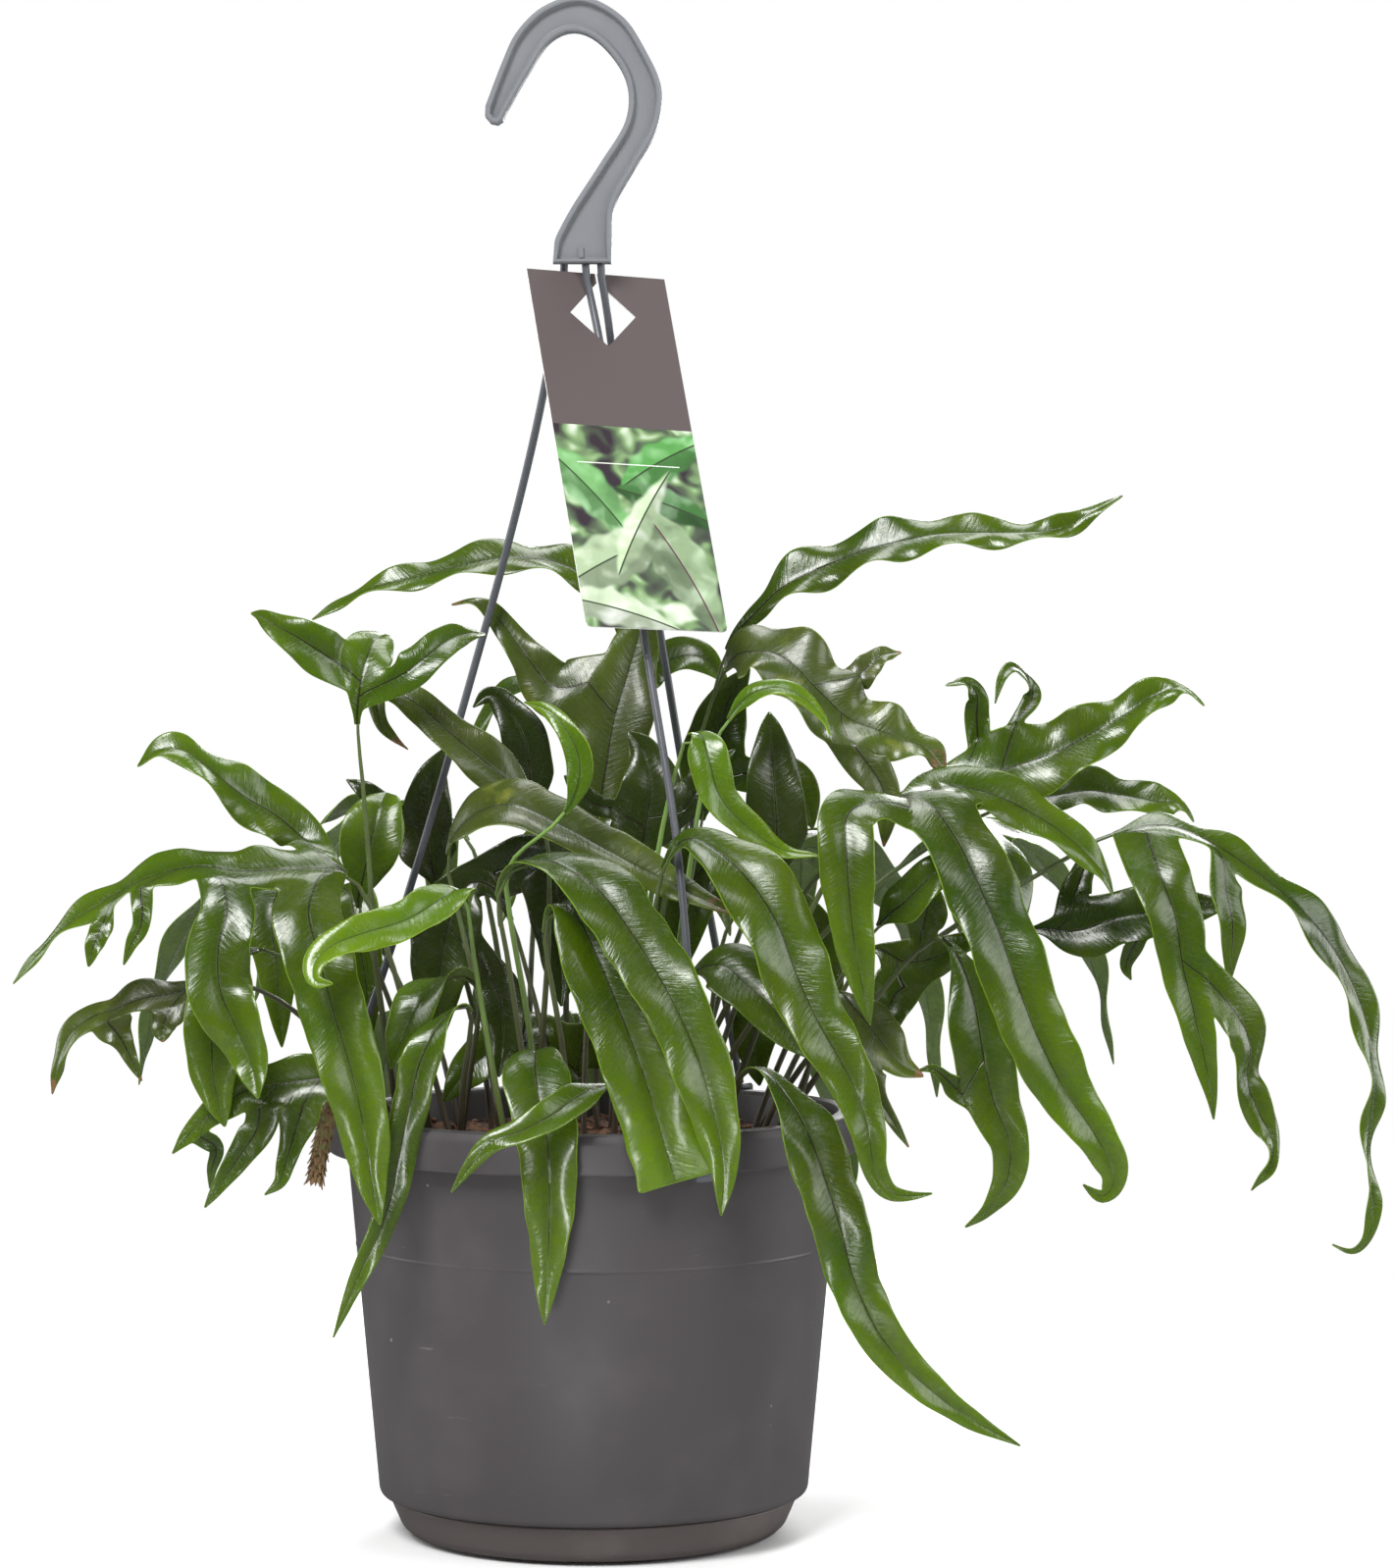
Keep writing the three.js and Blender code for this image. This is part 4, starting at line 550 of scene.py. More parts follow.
@dataclass(frozen=True)
class LeafFinish:
    """A leaf's upper side, underside and edge."""

    name: str
    deep: Colour
    fresh: Colour
    tip: Colour
    rib: Colour = (0.014, 0.01, 0.006)
    # painted_glint is the colour of a painted highlight beside the rib.
    painted_glint: Colour = (0.17, 0.22, 0.09)
    sunned: Colour = (0.105, 0.13, 0.003)
    under: Colour = (0.085, 0.125, 0.04)
    spotted: Colour = (0.3, 0.32, 0.04)
    dried: Colour = (0.16, 0.085, 0.03)
    rough: float = 0.235
    blotch: float = 0.0
    dry: float = 0.0
    sun_share: float = 0.3
    tip_from: float = 0.45
    tip_share: float = 0.8
    # rib_shade_share is how much painted shade darkens the upper side along the rib.
    rib_shade_share: float = 0.42
    fine_share: float = 0.22
    net_share: float = 0.08
    rib_share: float = 0.88
    under_rib_share: float = 0.5
    glint_share: float = 0.7
    blotch_scale: float = 75.0
    blotches: tuple[float, float] = (0.6, 0.78)
    quilt_scale: float = 100.0
    bump: tuple[float, float] = (0.55, 0.00042)

    def materials(self, veins: Group, mottle: Group) -> list[Material]:
        """Builds the three materials of a leaf."""
        return [self.side(veins, mottle, False), self.side(veins, mottle, True), self.edge(mottle)]

    def side(self, veins: Group, mottle: Group, under: bool) -> Material:
        """Builds the upper or the under side's material.

        Args:
            veins: The group that draws ribs and ripples.
            mottle: The group of soft mottling.
            under: Whether it is the underside.

        Returns:
            The material.
        """
        tree = Tree(f"{self.name}_{'under' if under else 'upper'}")
        where, branch = tree.where(), tree.layer("branch")
        lines = veins.place(tree, Span=tree.layer("span"), Branch=branch)
        cloud = mottle.place(tree, Vector=where)
        share = tree.split(branch)[1]
        if under:
            base = tree.mix(cloud["Large"], self.under, shade(self.under, 1.4))
        else:
            base = tree.mix(cloud["Tone"], self.deep, self.fresh)
            base = tree.mix(tree.scaled(cloud["Large"], self.sun_share), base, self.sunned)
            base = tree.mix(tree.remap(share, self.tip_from, 1.0, end=self.tip_share), base, self.tip)
            # Painted shade: the upper side darkens towards the deep colour along the rib's groove.
            base = tree.mix(tree.scaled(lines["Near"], self.rib_shade_share), base, self.deep)
        base = tree.mix(tree.scaled(cloud["Small"], self.fine_share), base, self.deep)
        base = tree.mix(tree.scaled(lines["Net"], self.net_share), base, self.tip)
        if self.blotch:
            spots = tree.clouds(where, self.blotch_scale, 4.0)
            spots = tree.remap(spots, *self.blotches, end=self.blotch)
            base = tree.mix(spots, base, self.spotted)
        rib_share = self.under_rib_share if under else self.rib_share
        base = tree.mix(tree.scaled(lines["Rib"], rib_share), base, self.rib)
        # Painted highlight: a pale broken line beside the rib, mixed into the colour.
        base = tree.mix(tree.scaled(lines["Glint"], self.glint_share), base, self.painted_glint)
        if self.dry:
            ragged = tree.math("MULTIPLY_ADD", cloud["Small"], 0.08, share)
            base = tree.mix(tree.remap(ragged, 1.0 - self.dry, 1.04 - self.dry), base, self.dried)
        rough = tree.remap(cloud["Small"], 0.0, 1.0, self.rough - 0.05, self.rough + 0.09)
        height = tree.math("ADD", tree.clouds(where, self.quilt_scale, 2.0), lines["Height"])
        return tree.surface(
            Base_Color=base, Roughness=rough, Normal=tree.bump(height, *self.bump),
            Specular_IOR_Level=0.3 if under else 0.55, Coat_Weight=0.0 if under else 0.18,
            Coat_Roughness=0.1,
        )

    def edge(self, mottle: Group) -> Material:
        """Builds the thin pale edge's material.

        Args:
            mottle: The group of soft mottling.

        Returns:
            The material.
        """
        tree = Tree(f"{self.name}_edge")
        cloud = mottle.place(tree, Vector=tree.where())
        base = tree.mix(cloud["Small"], self.tip, shade(self.tip, 1.5))
        return tree.surface(Base_Color=base, Roughness=0.4)


@dataclass(frozen=True)
class PlasticFinish:
    """Moulded plastic with a satin grain, rubbed patches and specks of dust."""

    name: str
    colour: Colour
    rubbed: Colour
    rough: float = 0.42
    wear: float = 0.8
    dust: float = 0.5
    dusty: Colour = (0.45, 0.42, 0.36)
    grain: float = 1500.0

    def material(self, scuffs: Group) -> Material:
        """Builds the material.

        Args:
            scuffs: The group of scratches, rubs and specks.

        Returns:
            The material.
        """
        tree = Tree(self.name)
        where = tree.where()
        marks = scuffs.place(tree, Vector=where, Amount=self.wear)
        base = tree.mix(marks["Rub"], self.colour, self.rubbed)
        base = tree.mix(marks["Scratch"], base, shade(self.rubbed, 1.9))
        base = tree.mix(tree.scaled(marks["Speck"], self.dust), base, self.dusty)
        rough = tree.remap(marks["Rub"], 0.0, 1.0, self.rough - 0.05, self.rough + 0.14)
        normal = tree.bump(tree.clouds(where, self.grain, 2.0), 0.12, 0.0002)
        return tree.surface(Base_Color=base, Roughness=rough, Normal=normal, Specular_IOR_Level=0.45)


@dataclass(frozen=True)
class SoilFinish:
    """Peat and fibre, damp and dark with paler crumbs."""

    dark: Colour = (0.03, 0.015, 0.01)
    pale: Colour = (0.18, 0.09, 0.05)
    crumbs: float = 420.0
    lumps: float = 160.0

    def material(self) -> Material:
        """Builds the material.

        Returns:
            The material.
        """
        tree = Tree("peat")
        where = tree.where()
        crumbs = tree.add("TexVoronoi", {"Vector": where, "Scale": self.crumbs}).outputs["Color"]
        cloud = tree.clouds(where, self.lumps, 6.0)
        tone = tree.remap(tree.math("MULTIPLY", crumbs, cloud), 0.08, 0.5)
        base = tree.mix(tone, self.dark, self.pale)
        normal = tree.bump(cloud, 0.8, 0.002)
        return tree.surface(Base_Color=base, Roughness=0.9, Normal=normal, Specular_IOR_Level=0.2)


@dataclass(frozen=True)
class StalkFinish:
    """A stalk, dark at the soil and greener towards the blade; its heights are metres."""

    name: str
    dark: Colour
    pale: Colour
    rise: tuple[float, float] = (0.15, 0.26)

    def material(self, mottle: Group) -> Material:
        """Builds the material.

        Args:
            mottle: The group of soft mottling.

        Returns:
            The material.
        """
        tree = Tree(self.name)
        where = tree.where()
        cloud = mottle.place(tree, Vector=where, Large=60.0, Small=700.0)
        base = tree.mix(tree.remap(tree.split(where)[2], *self.rise), self.dark, self.pale)
        base = tree.mix(tree.scaled(cloud["Large"], 0.4), base, self.dark)
        return tree.surface(Base_Color=base, Roughness=0.38, Normal=tree.bump(cloud["Small"], 0.2, 0.0003))


@dataclass(frozen=True)
class PlainFinish:
    """One colour that varies a little, with a fine bump."""

    name: str
    colour: Colour
    rough: float
    scale: float
    depth: float

    def material(self) -> Material:
        """Builds the material.

        Returns:
            The material.
        """
        tree = Tree(self.name)
        cloud = tree.clouds(tree.where(), self.scale, 5.0)
        base = tree.mix(cloud, shade(self.colour, 0.5), shade(self.colour, 1.5))
        return tree.surface(Base_Color=base, Roughness=self.rough, Normal=tree.bump(cloud, 0.6, self.depth))


@dataclass(frozen=True)
class PrintLeaf:
    """One leaf of the card's print, placed on the card in units of its height."""

    at: tuple[float, float]
    turn: float
    length: float
    width: float
    colour: Colour
    rib: Colour = (0.03, 0.05, 0.02)

    @staticmethod
    def group() -> Group:
        """Draws a pointed leaf flat.

        Returns:
            The group, with the leaf's mask, its rib and the mask of one half.
        """
        sizes = {"Turn": 0.0, "Length": 0.3, "Width": 0.05}
        group = Group("print_leaf", {"Vector": None, "Centre": None, **sizes}, ("Mask", "Rib", "Half"))
        source = group.source
        moved = group.add("VectorMath", {0: source["Vector"], 1: source["Centre"]}, operation="SUBTRACT")
        turn = {"Vector": moved.outputs[0], "Angle": source["Turn"]}
        x, y, _ = group.split(group.add("VectorRotate", turn, rotation_type="Z_AXIS").outputs[0])
        along = group.math("DIVIDE", x, source["Length"])
        share = group.math("ADD", along, 0.5)
        swell = group.math("POWER", group.math("MAXIMUM", share, 0.0), 0.8)
        wide = group.math("SINE", group.scaled(swell, math.pi))
        ruffle = group.scaled(group.math("SINE", group.scaled(share, 34.0)), 0.07)
        limit = group.math("MULTIPLY", group.math("MULTIPLY_ADD", ruffle, wide, wide), source["Width"])
        bend = group.math("MULTIPLY", group.math("MULTIPLY", along, along), source["Width"])
        across = group.math("SUBTRACT", y, bend)
        distance = group.math("ABSOLUTE", across)
        edge = group.fade(group.math("SUBTRACT", distance, limit), -0.009, 0.005)
        group.put("Mask", group.math("MULTIPLY", edge, group.math("COMPARE", share, 0.5, 0.5)))
        group.put("Rib", group.fade(distance, 0.0008, 0.0035))
        group.put("Half", group.math("GREATER_THAN", across, 0.0))
        return group

    def draw(self, tree: Tree, shape: Group, flat: Socket, tones: list[Socket], under: Socket) -> Socket:
        """Draws the leaf over a print.

        Args:
            tree: The card's nodes.
            shape: The group that draws a leaf.
            flat: The place on the card.
            tones: The masks of pale gleams and of shadows.
            under: The print so far.

        Returns:
            The print with the leaf.
        """
        gleam, shadow = tones
        drawn = shape.place(
            tree, Vector=flat, Centre=(*self.at, 0.0), Turn=self.turn, Length=self.length, Width=self.width,
        )
        skin = tree.mix(drawn["Half"], self.colour, shade(self.colour, 0.55))
        skin = tree.mix(gleam, skin, tuple(min(c * 1.6 + 0.3, 0.95) for c in self.colour))
        skin = tree.mix(shadow, skin, shade(self.colour, 0.2))
        skin = tree.mix(drawn["Rib"], skin, self.rib)
        return tree.mix(drawn["Mask"], under, skin)


@dataclass(frozen=True)
class CardFinish:
    """Printed card: a plain dark band over a print of crossing leaves on a soft ground.

    Places and sizes are in units of the card's height, across and down.
    """

    band: Colour = (0.1, 0.08, 0.08)
    share: float = 0.44
    rule: Colour = (0.85, 0.9, 0.82)
    rule_at: tuple[float, float] = (0.19, 0.545)
    rule_half: tuple[float, float] = (0.14, 0.0012)
    ground: tuple[tuple[float, Colour], ...] = (
        (0.34, (0.03, 0.02, 0.028)), (0.47, (0.07, 0.1, 0.06)),
        (0.58, (0.2, 0.33, 0.14)), (0.72, (0.68, 0.76, 0.62)),
    )
    leaves: tuple[PrintLeaf, ...] = (
        PrintLeaf((0.3, 0.52), 0.5, 0.34, 0.055, (0.09, 0.3, 0.07)),
        PrintLeaf((0.08, 0.63), -0.9, 0.36, 0.06, (0.16, 0.38, 0.13)),
        PrintLeaf((0.3, 0.66), -0.35, 0.34, 0.045, (0.045, 0.15, 0.035)),
        PrintLeaf((0.12, 0.8), 0.45, 0.4, 0.07, (0.36, 0.47, 0.29)),
        PrintLeaf((0.3, 0.84), -1.15, 0.42, 0.075, (0.24, 0.34, 0.19), (0.1, 0.02, 0.06)),
        PrintLeaf((0.1, 0.95), -0.25, 0.34, 0.05, (0.5, 0.6, 0.42)),
        PrintLeaf((0.2, 0.7), 1.0, 0.36, 0.038, (0.5, 0.66, 0.4)),
    )

    def material(self) -> Material:
        """Builds the material.

        Returns:
            The material, which reads the card's own map.
        """
        tree = Tree("printed_card")
        flat = tree.layer("card")
        x, y, _ = tree.split(flat)
        ramp = tree.add("ValToRGB", {0: tree.clouds(flat, 13.0, 1.0, Distortion=0.8)})
        stops = ramp.color_ramp.elements
        while len(stops) < len(self.ground):
            stops.new(0.5)
        for stop, (spot, colour) in zip(stops, self.ground):
            stop.position = spot
            stop.color = rgba(colour)
        grain = tree.clouds(flat, 12.0, 2.0, Distortion=0.3)
        tones = [tree.remap(grain, *ends, end=0.5) for ends in ((0.5, 0.72), (0.46, 0.3))]
        shape, printed = PrintLeaf.group(), ramp.outputs[0]
        for leaf in self.leaves:
            printed = leaf.draw(tree, shape, flat, tones, printed)
        base = tree.mix(tree.math("GREATER_THAN", y, self.share), self.band, printed)
        rule = [tree.math("COMPARE", *ends) for ends in zip((x, y), self.rule_at, self.rule_half)]
        base = tree.mix(tree.math("MULTIPLY", *rule), base, self.rule)
        normal = tree.bump(tree.clouds(tree.where(), 900.0, 3.0), 0.05, 0.0002)
        return tree.surface(Base_Color=base, Roughness=0.4, Normal=normal)


# ---- fronds ----
class AgeAndShade(Enum):
    """How old a frond is, or how deep in the plant's shade it sits, which sets its colours; the value names
    its finish.
    """

    FULL = "leaf"
    YOUNG = "leaf_young"
    OLD = "leaf_old"
    # OLD: older fronds, darker olive in part as real age and in part as painted shade for fronds in the
    # plant's dark middle.
    DULL = "leaf_dull"
    # SHADED: painted shade, the full leaf's colours darkened for fronds deep in the plant.
    SHADED = "leaf_shaded"

    @property
    def slot(self) -> str:
        """The record's slot that the finish belongs to."""
        return {"leaf_dull": "leaf", "leaf_shaded": "leaf_old"}.get(self.value, self.value)


@dataclass(frozen=True, kw_only=True)
class Leaf:
    """What a frond's blade and its lobes have in common.

    A face lists the directions in which the upper side looks from foot to tip. The steps are the rows of the
    drawing along it, and the width is its full width.
    """

    lobes: list[Lobe] = field(default_factory=list)
    rise: float | None = None
    blunt: float = 2.6
    wave: float = 2.0
    waves: float = 3.0
    phase: float = 0.0
    cup: float = 0.15
    cut: bool = False


@dataclass(frozen=True)
class Blade(Leaf):
    """A frond's main blade, after its stalk: both list their points."""

    stipe: list[Point]
    blade: list[Point]
    face: list[Point]
    steps: int
    width: float
    stalk_steps: int = 3


@dataclass(frozen=True)
class Lobe(Leaf):
    """A lobe, which grows from two rows of its parent's edge on one side along the points of its path."""

    side: int
    rows: tuple[int, int]
    path: list[Point]
    face: list[Point]
    steps: int
    width: float


FRONDS: dict[str, Blade] = {
  "left_great": Blade(
    [(-60, -36, 147), (-68, -44, 194), (-80, -55, 240)],
    [(-93, -61, 264), (-113, -66, 266), (-131, -68, 265), (-150, -66, 267), (-170, -62, 262),
      (-187, -57, 253), (-205, -53, 241), (-223, -50, 221)],
    [(0.1, -0.55, 0.83), (0, -0.5, 0.87), (-0.3, -0.5, 0.8)], 16, 25, rise=0.13, waves=4,
    lobes=[
      Lobe(-1, (0, 3), [(-106, -84, 251), (-102, -90, 236), (-96, -94, 214), (-89, -97, 192),
        (-84, -99, 170), (-81, -100, 150), (-78, -100, 134)],
        [(0, -0.75, 0.66), (0.05, -1, 0.1), (0, -1, 0)], 10, 26, phase=0.2, blunt=4),
      Lobe(-1, (4, 6), [(-137, -82, 251), (-140, -86, 236), (-139, -88, 221), (-133, -90, 208),
        (-127, -91, 194), (-124, -96, 181)],
        [(0, -0.8, 0.6), (0.15, -1, 0), (-0.3, -1, -0.1)], 8, 27, wave=2.4, waves=2.5, phase=0.6,
          blunt=3.4),
      Lobe(1, (0, 2), [(-110, -48, 276), (-122, -47, 286), (-132, -49, 292), (-141, -52, 299),
        (-149, -54, 306), (-157, -56, 311), (-166, -56, 311), (-174, -56, 305)],
        [(0.1, -0.6, 0.8), (0.3, -0.9, 0.4), (0.2, -0.6, 0.7), (0, -0.6, 0.8)], 10, 24, wave=2.6,
          phase=0.4, blunt=3.6),
      Lobe(-1, (8, 9), [(-170, -75, 246), (-174, -76, 238), (-177, -76, 230)],
        [(0, -0.8, 0.6), (0, -1, 0.2)], 3, 8, wave=0.6),
      Lobe(-1, (10, 11), [(-186, -68, 244), (-189, -70, 237), (-191, -71, 229)],
        [(0, -0.8, 0.6), (0, -1, 0.2)], 3, 10, wave=1),
    ]),
  "right_great": Blade(
    [(58, -4, 147), (82, -9, 185), (111, -14, 218), (152, -20, 248), (188, -26, 270)],
    [(203, -28, 278), (226, -30, 281), (252, -31, 268), (280, -29, 245), (298, -26, 217), (306, -23, 186),
      (304, -22, 154), (306, -22, 125), (299, -23, 114), (290, -24, 117)],
    [(0, -0.35, 0.94), (0.2, -0.5, 0.84), (0.5, -0.8, 0.35), (0.9, -0.4, 0.1), (0.5, -0.85, 0.1)], 18, 19,
      stalk_steps=5, rise=0.08, wave=2.4, waves=6, blunt=3,
    lobes=[
      Lobe(1, (0, 2), [(220, -50, 262), (225, -53, 247), (228, -54, 228), (232, -55, 211),
        (236, -55, 194), (239, -55, 179), (240, -55, 169)],
        [(0.1, -0.8, 0.6), (0.1, -1, 0), (0, -1, 0)], 9, 22, wave=1.4, blunt=2.2,
        lobes=[
          Lobe(-1, (4, 6), [(249, -53, 209), (254, -51, 197), (253, -50, 184), (258, -50, 171),
            (263, -50, 161), (262, -50, 151), (255, -50, 141)],
            [(0.3, -0.9, 0.2), (0.75, -0.65, 0), (0.3, -1, 0), (0.75, -0.5, 0.1)], 8, 17, wave=2.2,
              phase=0.5, blunt=2.4),
        ]),
      Lobe(1, (3, 4), [(246, -43, 255), (248, -44, 244), (248, -43, 233), (247, -42, 220)],
        [(0.2, -0.8, 0.5), (0.3, -1, 0)], 6, 14.5, wave=0.8, waves=2, blunt=2.2),
    ]),
  "right_glossy": Blade(
    [(48, -34, 147), (61, -43, 194), (82, -53, 244), (102, -59, 279)],
    [(117, -62, 293), (129, -69, 291), (138, -77, 280), (146, -84, 264), (154, -90, 245), (161, -94, 225),
      (169, -97, 204), (180, -98, 183), (191, -98, 167), (198, -97, 153), (194, -96, 144),
      (186, -97, 149)],
    [(0, -0.5, 0.87), (0.15, -0.9, 0.45), (0.15, -1, 0.1), (0.1, -1, 0.1), (-0.2, -0.95, 0)], 16, 29,
      stalk_steps=4, rise=0.13, wave=1.8, waves=5, blunt=3.4,
    lobes=[
      Lobe(1, (0, 2), [(110, -80, 292), (98, -89, 288), (97, -95, 276), (98, -98, 258), (100, -99, 240),
        (103, -99, 224), (106, -98, 209)],
        [(0, -0.2, 1), (0, -0.9, 0.4), (0, -1, 0), (0, -1, 0)], 10, 23, wave=1.2, blunt=3),
      Lobe(-1, (0, 2), [(141, -46, 297), (157, -41, 293), (173, -41, 285), (186, -43, 276),
        (197, -44, 265), (202, -44, 255)],
        [(0.2, -0.6, 0.8), (0.2, -0.8, 0.6), (0.5, -0.7, 0.3)], 8, 24, blunt=2.8),
    ]),
  "upper_right": Blade(
    [(30, 8, 147), (48, 4, 199), (80, -3, 249), (108, -10, 282)],
    [(131, -16, 299), (150, -21, 300), (168, -24, 305), (184, -24, 311), (197, -23, 318), (209, -22, 325),
      (220, -22, 332), (231, -24, 335), (239, -28, 328)],
    [(0, -0.75, 0.65), (0.1, -0.9, 0.4), (0.1, -0.8, 0.6), (0.5, -0.5, 0.7)], 16, 37, stalk_steps=4,
      rise=0.2, wave=3, waves=4, blunt=1.6,
    lobes=[
      Lobe(-1, (2, 4), [(151, -13, 324), (151, -15, 332), (146, -19, 337), (138, -26, 336)],
        [(0, -0.95, 0.3), (0, -0.8, 0.5), (-0.3, -0.6, 0.7)], 5, 10, wave=0.6),
      Lobe(-1, (5, 6), [(173, -10, 331), (171, -12, 338), (165, -19, 343), (160, -27, 339),
        (157, -32, 329)],
        [(0, -0.9, 0.4), (0.2, -0.6, 0.75), (0, -1, 0.2)], 7, 8, wave=0.4),
    ]),
  "crest_lobed": Blade(
    [(-4, -8, 147), (-3, -6, 194), (0, -2, 244)],
    [(2, 2, 282), (5, 4, 304), (8, 6, 322), (13, 9, 339), (18, 12, 356), (24, 14, 372)],
    [(0, -1, 0.1), (0, -1, 0.1), (-0.1, -0.9, 0.4)], 10, 34, rise=0.35, wave=2.4, waves=2,
    lobes=[
      Lobe(-1, (4, 7), [(-16, 8, 335), (-26, 10, 346), (-34, 12, 357), (-41, 13, 365), (-49, 13, 369),
        (-57, 12, 368)],
        [(0, -1, 0.2), (0, -0.9, 0.4), (0, -0.7, 0.7)], 9, 18, wave=1.8, waves=2.5, blunt=1.7),
    ]),
  "trident": Blade(
    [(-74, -20, 147), (-79, -30, 189), (-84, -38, 229), (-86, -41, 266), (-88.5, -42, 299)],
    [(-90.5, -42, 321), (-89.5, -42, 335), (-87, -38, 347), (-84, -30, 354), (-81, -21, 356)],
    [(0, -1, -0.1), (0.1, -1, 0.15), (0.1, -0.6, 0.8)], 8, 20, stalk_steps=5, rise=0.6, wave=1, waves=2,
      blunt=6,
    lobes=[
      Lobe(-1, (2, 5), [(-103, -44, 348), (-112, -46, 354), (-121, -47, 359), (-127, -48, 363),
        (-131, -49, 364)],
        [(-0.1, -1, 0.2), (-0.1, -0.9, 0.4)], 7, 18, wave=1, waves=2),
      Lobe(1, (1, 4), [(-70, -46, 342), (-59, -41, 351), (-50, -29, 356), (-42, -16, 356)],
        [(0.1, -1, 0.2), (0.1, -0.9, 0.4), (0.2, -0.8, 0.5)], 7, 15, wave=1.2, waves=2),
    ]),
  "top_left": Blade(
    [(6, 26, 147), (8, 28, 204), (10, 29, 264), (13, 29, 319)],
    [(10, 27, 356), (1, 27, 375), (-13, 26, 384), (-32, 24, 387), (-52, 22, 384), (-71, 20, 379),
      (-93, 18, 373), (-113, 16, 362)],
    [(-0.3, -0.6, 0.75), (0, -0.6, 0.8), (-0.1, -0.6, 0.8)], 12, 23, stalk_steps=4, wave=2.4, waves=4,
      blunt=2.4),
  "top_right": Blade(
    [(20, 22, 147), (24, 26, 204), (34, 30, 264), (44, 32, 316)],
    [(53, 34, 350), (63, 34, 363), (77, 33, 376), (96, 33, 385), (116, 32, 392), (136, 30, 396),
      (156, 30, 397), (175, 28, 397), (189, 28, 399), (199, 27, 405), (212, 26, 412)],
    [(-0.2, -0.7, 0.7), (-0.1, -0.75, 0.65), (0, -0.7, 0.7), (0.2, -0.8, 0.5)], 15, 24, stalk_steps=4,
      wave=3.4, waves=5),
  "dried_tip": Blade(
    [(-22, -16, 147), (-20, -17, 194), (-17, -19, 244)],
    [(-19, -22, 282), (-31, -24, 297), (-43, -26, 307), (-55, -27, 317), (-66, -27, 327), (-76, -25, 333),
      (-84, -20, 332), (-83, -21, 322), (-78, -23, 316), (-72, -23, 311)],
    [(0.2, -0.7, 0.7), (0.1, -0.9, 0.4), (0, -0.8, 0.6), (-0.5, -0.8, 0.1)], 13, 23, rise=0.25, wave=1.8,
      blunt=1.5),
  "bright_narrow": Blade(
    [(-18, -40, 147), (-24, -47, 204), (-31, -58, 249), (-31, -67, 267), (-20, -75, 278)],
    [(-9, -79, 288), (-4, -80, 299), (-4, -79, 310), (-9, -77, 320), (-16, -73, 327), (-25, -68, 330)],
    [(0.1, -1, 0), (0, -1, 0), (-0.3, -0.8, 0.5)], 8, 11, stalk_steps=6, wave=0.8, waves=2),
  "front_grey": Blade(
    [(-34, -34, 147), (-42, -34, 204), (-51, -34, 244)],
    [(-56, -37, 270), (-46, -46, 285), (-30, -54, 290), (-11, -58, 282), (8, -61, 272), (26, -63, 263),
      (42, -66, 255), (58, -69, 248)],
    [(-0.3, -0.5, 0.8), (0, -0.6, 0.8), (0.1, -0.85, 0.5)], 12, 30, rise=0.15, wave=1.2, waves=2,
      blunt=2.2),
  "front_bright": Blade(
    [(-20, -52, 147), (-26, -60, 194), (-32, -67, 236)],
    [(-35, -71, 256), (-27, -77, 268), (-12, -85, 269), (5, -93, 258), (20, -100, 238), (32, -106, 218),
      (41, -110, 198), (47, -112, 178), (51, -113, 157), (50, -113, 139)],
    [(0, 0.3, 0.95), (0.1, -0.8, 0.6), (0.1, -1, 0.2), (0, -1, 0.1)], 16, 28, rise=0.22, wave=1.4,
      waves=4, blunt=4),
  "front_cut": Blade(
    [(-6, -58, 147), (-10, -66, 194), (-15, -72, 226)],
    [(-17, -74, 242), (-12, -80, 253), (-5, -86, 250), (4, -92, 233), (12, -97, 214), (19, -100, 196),
      (25, -102, 178), (29, -103, 164), (33, -103, 150)],
    [(0, 0.4, 0.9), (0, -0.9, 0.4), (0.05, -1, 0.1), (0, -1, 0.1)], 12, 29, rise=0.3, wave=1.2, cut=True),
  "front_right": Blade(
    [(22, -52, 147), (22, -61, 194), (24, -70, 240)],
    [(28, -74, 266), (37, -79, 278), (49, -84, 273), (61, -90, 262), (71, -95, 247), (77, -98, 231),
      (85, -103, 213), (93, -106, 199), (100, -108, 186), (105, -109, 170), (107, -109, 157),
      (112, -109, 148), (120, -109, 146), (129, -109, 147)],
    [(0.1, -0.5, 0.85), (0.2, -0.8, 0.55), (0.1, -1, 0.2), (0, -1, 0.1), (0, -1, 0.2)], 16, 33, rise=0.25,
      waves=5, blunt=1.8),
  "low_long": Blade(
    [(50, -56, 147), (52, -63, 171)],
    [(58, -75, 188), (66, -85, 191), (75, -92, 181), (83, -97, 167), (89, -99, 151), (95, -100, 132),
      (100, -100, 113), (110, -100, 92), (126, -98, 74), (143, -97, 61), (163, -96, 50)],
    [(0, 0.4, 0.9), (0.1, -0.9, 0.3), (0.1, -1, 0.1), (0.1, -1, 0.2)], 14, 24, stalk_steps=2, rise=0.25,
      wave=1.4, waves=5),
  "right_dark_low": Blade(
    [(64, -30, 147), (86, -38, 182), (108, -46, 212), (123, -52, 231)],
    [(135, -55, 239), (143, -58, 228), (148, -60, 211), (151, -61, 193), (155, -61, 176), (161, -61, 161),
      (160, -60, 146), (153, -59, 135), (144, -59, 128)],
    [(0.1, -0.9, 0.4), (0.1, -1, 0.1), (-0.1, -1, 0), (0.5, -0.8, 0)], 11, 26, stalk_steps=4, rise=0.3,
      blunt=2.2,
    lobes=[
      Lobe(1, (5, 6), [(134, -66, 188), (130, -68, 190), (125, -68, 189)],
        [(0, -1, 0.2), (0, -1, 0.2)], 4, 6, wave=0.3),
    ]),
  "right_curled": Blade(
